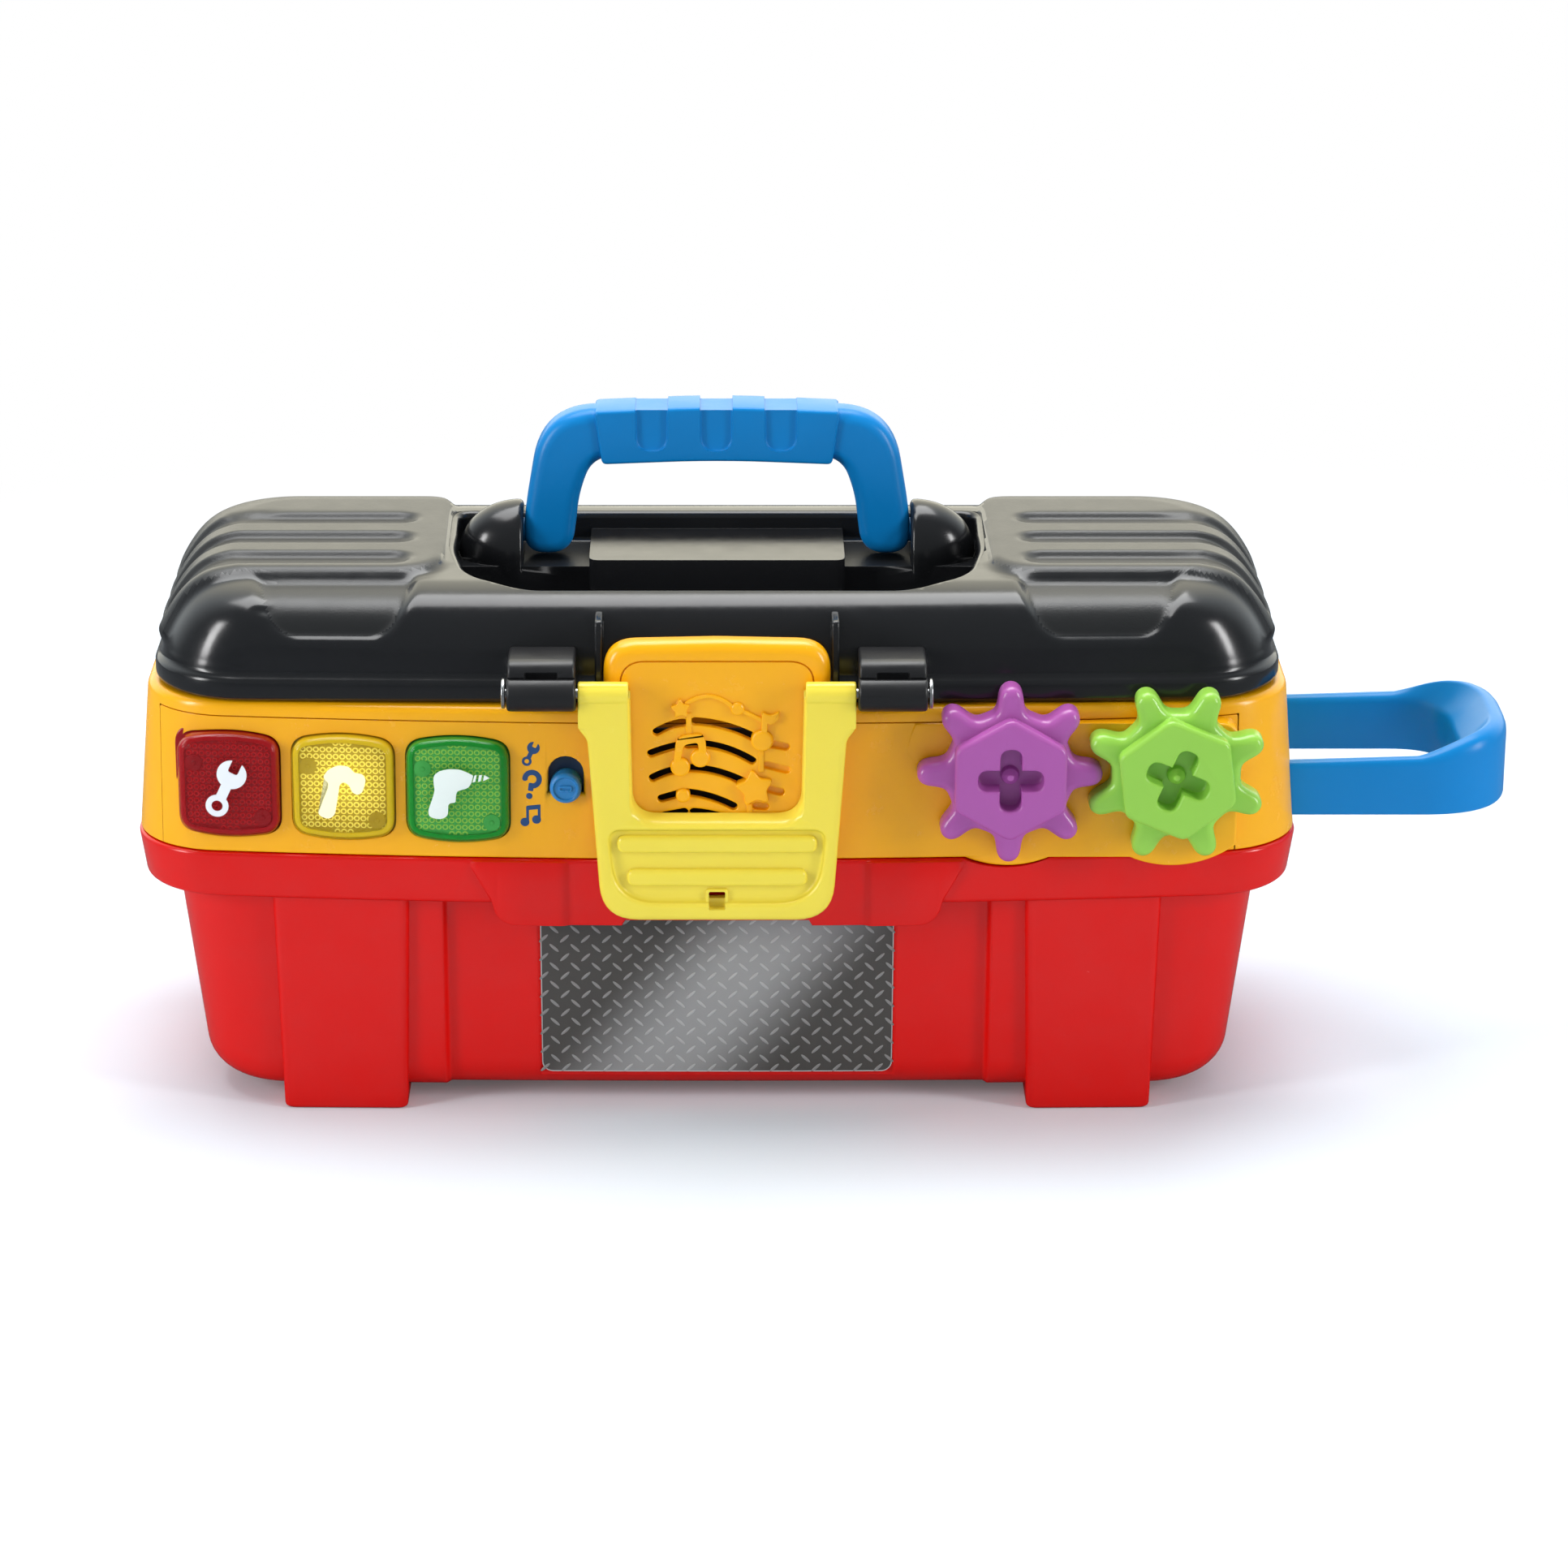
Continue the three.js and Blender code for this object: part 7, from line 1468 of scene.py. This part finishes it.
DRILL_MARK = [(-5.9, 4.6, 0.7), (-4.5, 5.8, 0.7), (-2.3, 6.4, 0.9), (0.8, 6.4, 1), (3.4, 5.3, 0.8),
              (4.3, 4.7, 0.2), (3.8, 2.8, 0.2), (3, 1.4, 0.8), (0.2, 0.5, 0.3), (-0.2, -0.4, 0.3),
              (-0.4, -2.6, 0.3), (-1.9, -2.9, 0.3), (-2.3, -3.5, 0.3), (-2.4, -6.2, 0.8),
              (-3.8, -7.2, 0.8), (-5.7, -7.2, 0.8), (-7.3, -6.5, 0.6), (-7.5, -5, 0.7), (-6.4, -1.8, 0.8),
              (-5.7, 0.6, 0.8), (-6, 2.6, 0.8)]
BIT_MARKS = [[(4.6, 4.8), (5.2, 5), (4.8, 3.1), (4.1, 2.9)], [(5.8, 4.9), (6.6, 5), (6.2, 3.3), (5.5, 3.1)],
             [(7.1, 5), (8.5, 4.2), (6.8, 3.3)]]


def raised_mark(outline, face, proud):
    return frontal(outline, face - proud, face + 0.2, proud * 0.6, 0, 2)


def spanner_mark(face, proud):
    """Open jaw and ring spanner, upright, its ring's middle at the origin."""
    jaw = frontal(soft_box(-1.35, 1.35, 9.9, 16, 0.7, 4), face - 1, face + 1)
    head = shaped(raised_mark(circle(3.9, 0, 9.5, 56), face, proud), "-", jaw)
    shaft = raised_mark(soft_box(-1.4, 1.4, 1.8, 7.5, 0.2, 2), face, proud)
    ring = shaped(raised_mark(circle(3.0), face, proud), "+", [shaft, head])
    return shaped(ring, "-", frontal(circle(1.45, steps=36), face - 1, face + 1))


def marked(kind, face, proud):
    """The tool printed on a button."""
    if kind == "spanner":
        lean = Matrix.Translation((-2.8, 0, -5.15)) @ turned(math.radians(25.4))
        return moved(spanner_mark(face, proud), lean)
    if kind == "hammer":
        return raised_mark(soft_outline(HAMMER_MARK[::-1], 4), face, proud)
    bits = [raised_mark(soft_outline([(x, z, 0.12) for x, z in bit][::-1], 2), face, proud)
            for bit in BIT_MARKS]
    return shaped(raised_mark(soft_outline(DRILL_MARK[::-1], 4), face, proud), "+", bits)


def make_button(kind, x, colour):
    """Hollow tinted cap over a plate of lens rings, with two moulding bosses and a white printed tool."""
    body = f"{kind}_button"
    place = on_band(x, BUTTON_Z)
    outline = button_outline(0)
    stem_end = -48.5 - band_front(x, BUTTON_Z)
    cap = shaped(frontal(outline, CAP_FACE, 4.6, 2.5, 0, 9), "-",
                 frontal(grown(outline, -1.4), CAP_FACE + 1.3, 8, 1.5, 0, 6))
    plate = frontal(grown(outline, -1.7), PLATE_FACE, 3.4, 0.3, 0, 3)
    flange = frontal(button_outline(1.3), 2.9, 4.5, 0.4, 0.4, 3)
    stem = rod_y(2.6, 4.0, max(4.8, stem_end), 0, 1.9, 0.3, 24)
    bosses = [frontal(circle(radius, bx, bz, steps), PLATE_FACE - proud, PLATE_FACE + 1, round_mm, 0, 3)
              for radius, steps, proud, round_mm in BOSSES for bx, bz in BOSS_PLACES]
    core = shaped(plate, "+", [flange, stem] + bosses)
    wall = shaped(frontal(grown(outline, -0.3), -1.5, 3.2, 1.2, 0, 5), "-",
                  frontal(grown(outline, -1.9), -9, PLATE_FACE + 0.2))
    # The rings are painted brighter than the plate under them, as painted highlights on the lens cells.
    rings = moved(bead_field(f"{colour}_ring", **RINGS), Matrix.Translation((0, PLATE_FACE, 0)))
    slot = f"{colour}_lens"
    show(f"{kind}_cap", moved(cap, place), body, slot, (body,), edge=50)
    for part, mesh, paint in (("plate", core, "core"), ("wall", wall, "wall"), ("lens_rings", rings, "ring"),
                              ("print", marked(kind, CAP_FACE, CAP_PRINT), "print")):
        show(f"{kind}_{part}", moved(mesh, place), body, f"{colour}_{paint}")


def make_switch():
    """Blue three-way slider: a dished round knob with a grip mark, on a plate behind its slot that is painted
    dark blue, partly its own colour and partly painted shade inside the slot.
    """
    place = on_band(SWITCH_X, SWITCH_Z)
    plate = frontal(pill(17.4, 23.8), 2.85, 4.95, 0.4, 0.4)
    show("switch_plate", moved(plate, place), "mode_switch", "navy_plastic")
    knob = frontal(circle(4.1, 0, -0.3, 56), -2.1, 3.2, 1.1, 0, 7)
    dish = frontal(circle(3.0, 0, -0.3), -2.11, -1.6, -0.35, 0.35, 5)
    grip = shaped(frontal(soft_box(-1.8, 1.8, -1.1, 0.5, 0.75), -2.05, -1.2, 0.15, 0, 3), "-",
                  frontal(soft_box(-1.3, 1.3, -0.62, 0.02, 0.3), -3, -1.75))
    show("switch_knob", moved(shaped(knob, "-", dish, "+", grip), place), "mode_switch", "sky_blue_plastic",
         ("mode_switch",))


def question_mark():
    hook = shaped(raised_mark(circle(2.2, 0, 1.3), 0, BAND_PRINT), "-",
                  [frontal(circle(1.0, 0, 1.3, 32), -1, 1), block((-4, 0.0), (-1, 1), (-4, 1.0))])
    rest = (soft_box(-0.6, 0.6, -1.5, 0.4, 0.3, 3), circle(0.72, -0.1, -2.7, 28), circle(0.6, -1.6, 1.25, 24))
    return shaped(hook, "+", [raised_mark(outline, 0, BAND_PRINT) for outline in rest])


def joined_notes():
    beam = soft_outline([(-1.5, 1.5, 0.2), (2.2, 1.9, 0.2), (2.2, 3.1, 0.2), (-1.5, 2.7, 0.5)], 3)
    rest = [soft_box(x - 0.35, x + 0.35, low, 2.4, 0.1, 2) for x, low in ((-1.15, -1.5), (1.85, -0.9))]
    rest += [circle(1.15, x, z, 28) for x, z in ((-1.85, -1.7), (1.15, -1.0))]
    return shaped(raised_mark(beam, 0, BAND_PRINT), "+",
                  [raised_mark(outline, 0, BAND_PRINT) for outline in rest])


def make_prints():
    """Dark blue pad-printed marks beside the switch: a spanner, a question mark and two joined notes."""
    draft = turned(-math.atan(BAND_DRAFT / (BAND_HIGH - BAND_LOW)), "X")
    for name, mark, x, z, lean, scale in (("spanner", spanner_mark(0, BAND_PRINT), -48.9, 99.0, 26, 0.42),
                                          ("question", question_mark(), -47.8, 92.7, 8, 1.15),
                                          ("notes", joined_notes(), -47.7, 84.3, 0, 1)):
        place = on_band(x, z) @ draft @ turned(math.radians(lean)) @ Matrix.Diagonal((scale, 1, scale, 1))
        show(f"print_{name}", moved(mark, place), "box", "blue_print")


# Gears

TEETH, TOOTH_HALF, TOOTH_TIP, TOOTH_ROOT = 8, 3.15, 20.9, 16.6
BOSS_REACH, CROSS_LONG, CROSS_SHORT = 16.5, 8.4, 2.8
# The centre cone as (depth, radius)
CONE = ((-8.2, 0.3), (-8.05, 0.8), (-7.2, 1.3), (-6.5, 2.1), (-4.6, 2.5))


def gear_outline():
    """Eight round-ended teeth with wide concave roots, one smooth closed line."""
    points = []
    for i in range(TEETH):
        turn = 2 * math.pi / TEETH * i
        along = np.array((math.cos(turn), math.sin(turn)))
        across = np.array((-math.sin(turn), math.cos(turn)))
        foot, flank = along * (TOOTH_ROOT + 1.6), across * (TOOTH_HALF + 0.2)
        points.append(foot - flank)
        points += [along * (TOOTH_TIP + TOOTH_HALF * math.sin(a)) - across * TOOTH_HALF * math.cos(a)
                   for a in np.linspace(-0.1, math.pi + 0.1, 15)]
        points.append(foot + flank)
        for shift in (-0.16, 0, 0.16):
            valley = turn + math.pi / TEETH + shift
            points.append(TOOTH_ROOT * np.array((math.cos(valley), math.sin(valley))))
    line = []
    for point, after in zip(points, points[1:] + points[:1]):
        parts = max(1, int(np.linalg.norm(after - point) / 0.6))
        line += [point + (after - point) * k / parts for k in range(parts)]
    line = np.array(line)
    for _ in range(7):
        line = (np.roll(line, 1, axis=0) + 2 * line + np.roll(line, -1, axis=0)) / 4
    return line


def make_gear(body, x, z, turn):
    """Toy gear on its disc: soft teeth, six-sided boss with a driver cross and centre cone, and an axle."""
    wheel = frontal(gear_outline(), -7.0, 0, 2.3, 0.6, 8)
    corners = [(BOSS_REACH * math.cos(a), BOSS_REACH * math.sin(a), 1.8)
               for a in (math.pi / 6 + k * math.pi / 3 for k in range(6))]
    boss = frontal(soft_outline(corners, 8, 3), -10.8, -3, 1.3, 0, 7)
    cross = [frontal(soft_box(-wide, wide, -high, high, 2.7, 8, 2), -10.82, -4.8, -0.7, 0.6, 5)
             for wide, high in ((CROSS_LONG, CROSS_SHORT), (CROSS_SHORT, CROSS_LONG))]
    cone = loft([placed(circle(r, steps=32), ALONG_Y, y) for y, r in CONE])
    axle = rod_y(4, -3, 9.25, 0, 0, 0.2)
    gear = shaped(wheel, "+", boss, "-", cross, "+", [cone, axle], "-", rod_y(1.6, 5.5, 30, 0, 0))
    place = Matrix.Translation((x, DISC_FACE - RUNNING_GAP, z)) @ turned(turn)
    show(f"{body}_moulding", moved(gear, place), body, body.replace("gear", "plastic"), (body,))


# Label: a printed tread-plate sheet in the tub's front recess

LABEL_HALF, LABEL_FOOT, LABEL_CORNER, LABEL_TOP = 45.9, 9.7, 2.6, 59.6
LABEL_MIDDLE, LABEL_THICK, LABEL_SUNK = 34.7, 0.3, 0.03
TREAD = {"Columns": 17, "Rows": 19, "Pitch X": 5.5, "Pitch Z": 2.68, "Row Shift": 0.5,
         "Lean": math.radians(87), "Crown": 40.0, "Droop": 0.0, "Bead Length": 3.3, "Bead Width": 0.85,
         "Bead Height": 0.34}


def label_seat(x, z):
    return tub_front(x, z) + SETBACK + LABEL_SEAT


def label_part(grow, back):
    """A sheet that follows the tub's bow, with round lower corners."""
    half, corner = LABEL_HALF + grow, LABEL_CORNER + grow
    bends = corner * (1 - np.cos(np.linspace(0, 1.5, 7)))
    stations = np.unique(np.concatenate((np.linspace(-half, half, 64), half - bends, bends - half)))
    rings = []
    for x in stations:
        into = max(0.0, abs(x) - half + corner)
        foot = LABEL_FOOT - grow + corner - math.sqrt(max(0.0, corner ** 2 - into ** 2))
        heights = np.linspace(foot, LABEL_TOP, 22)
        front = [(x, label_seat(x, z) - LABEL_THICK + back, z) for z in heights]
        rings.append(front + [(x, label_seat(x, z) + LABEL_SUNK + back, z) for z in heights[::-1]])
    return loft(rings)


def on_label(points):
    """Lays points meant for the XZ plane on the bowed sheet."""
    x, z = points[:, 0], points[:, 2] + LABEL_MIDDLE
    return np.stack((x, label_seat(x, z) - LABEL_THICK + points[:, 1], z), axis=1)


def make_label():
    """The foil, the pale cut edge round it and the tread marks on it."""
    for part, mesh, paint in (("sheet", label_part(0, 0), "foil"), ("rim", label_part(0.28, 0.06), "edge"),
                              ("tread", bent(bead_field("label_mark", **TREAD), on_label), "mark")):
        show(f"label_{part}", mesh, "box", f"label_{paint}")


for kind, x, colour in BUTTON_PLACES:
    make_button(kind, x, colour)
make_switch()
make_prints()
for i, (x, z, body) in enumerate(GEAR_PLACES):
    make_gear(body, x, z, i * (math.pi / 2 + math.pi / 8))
make_label()
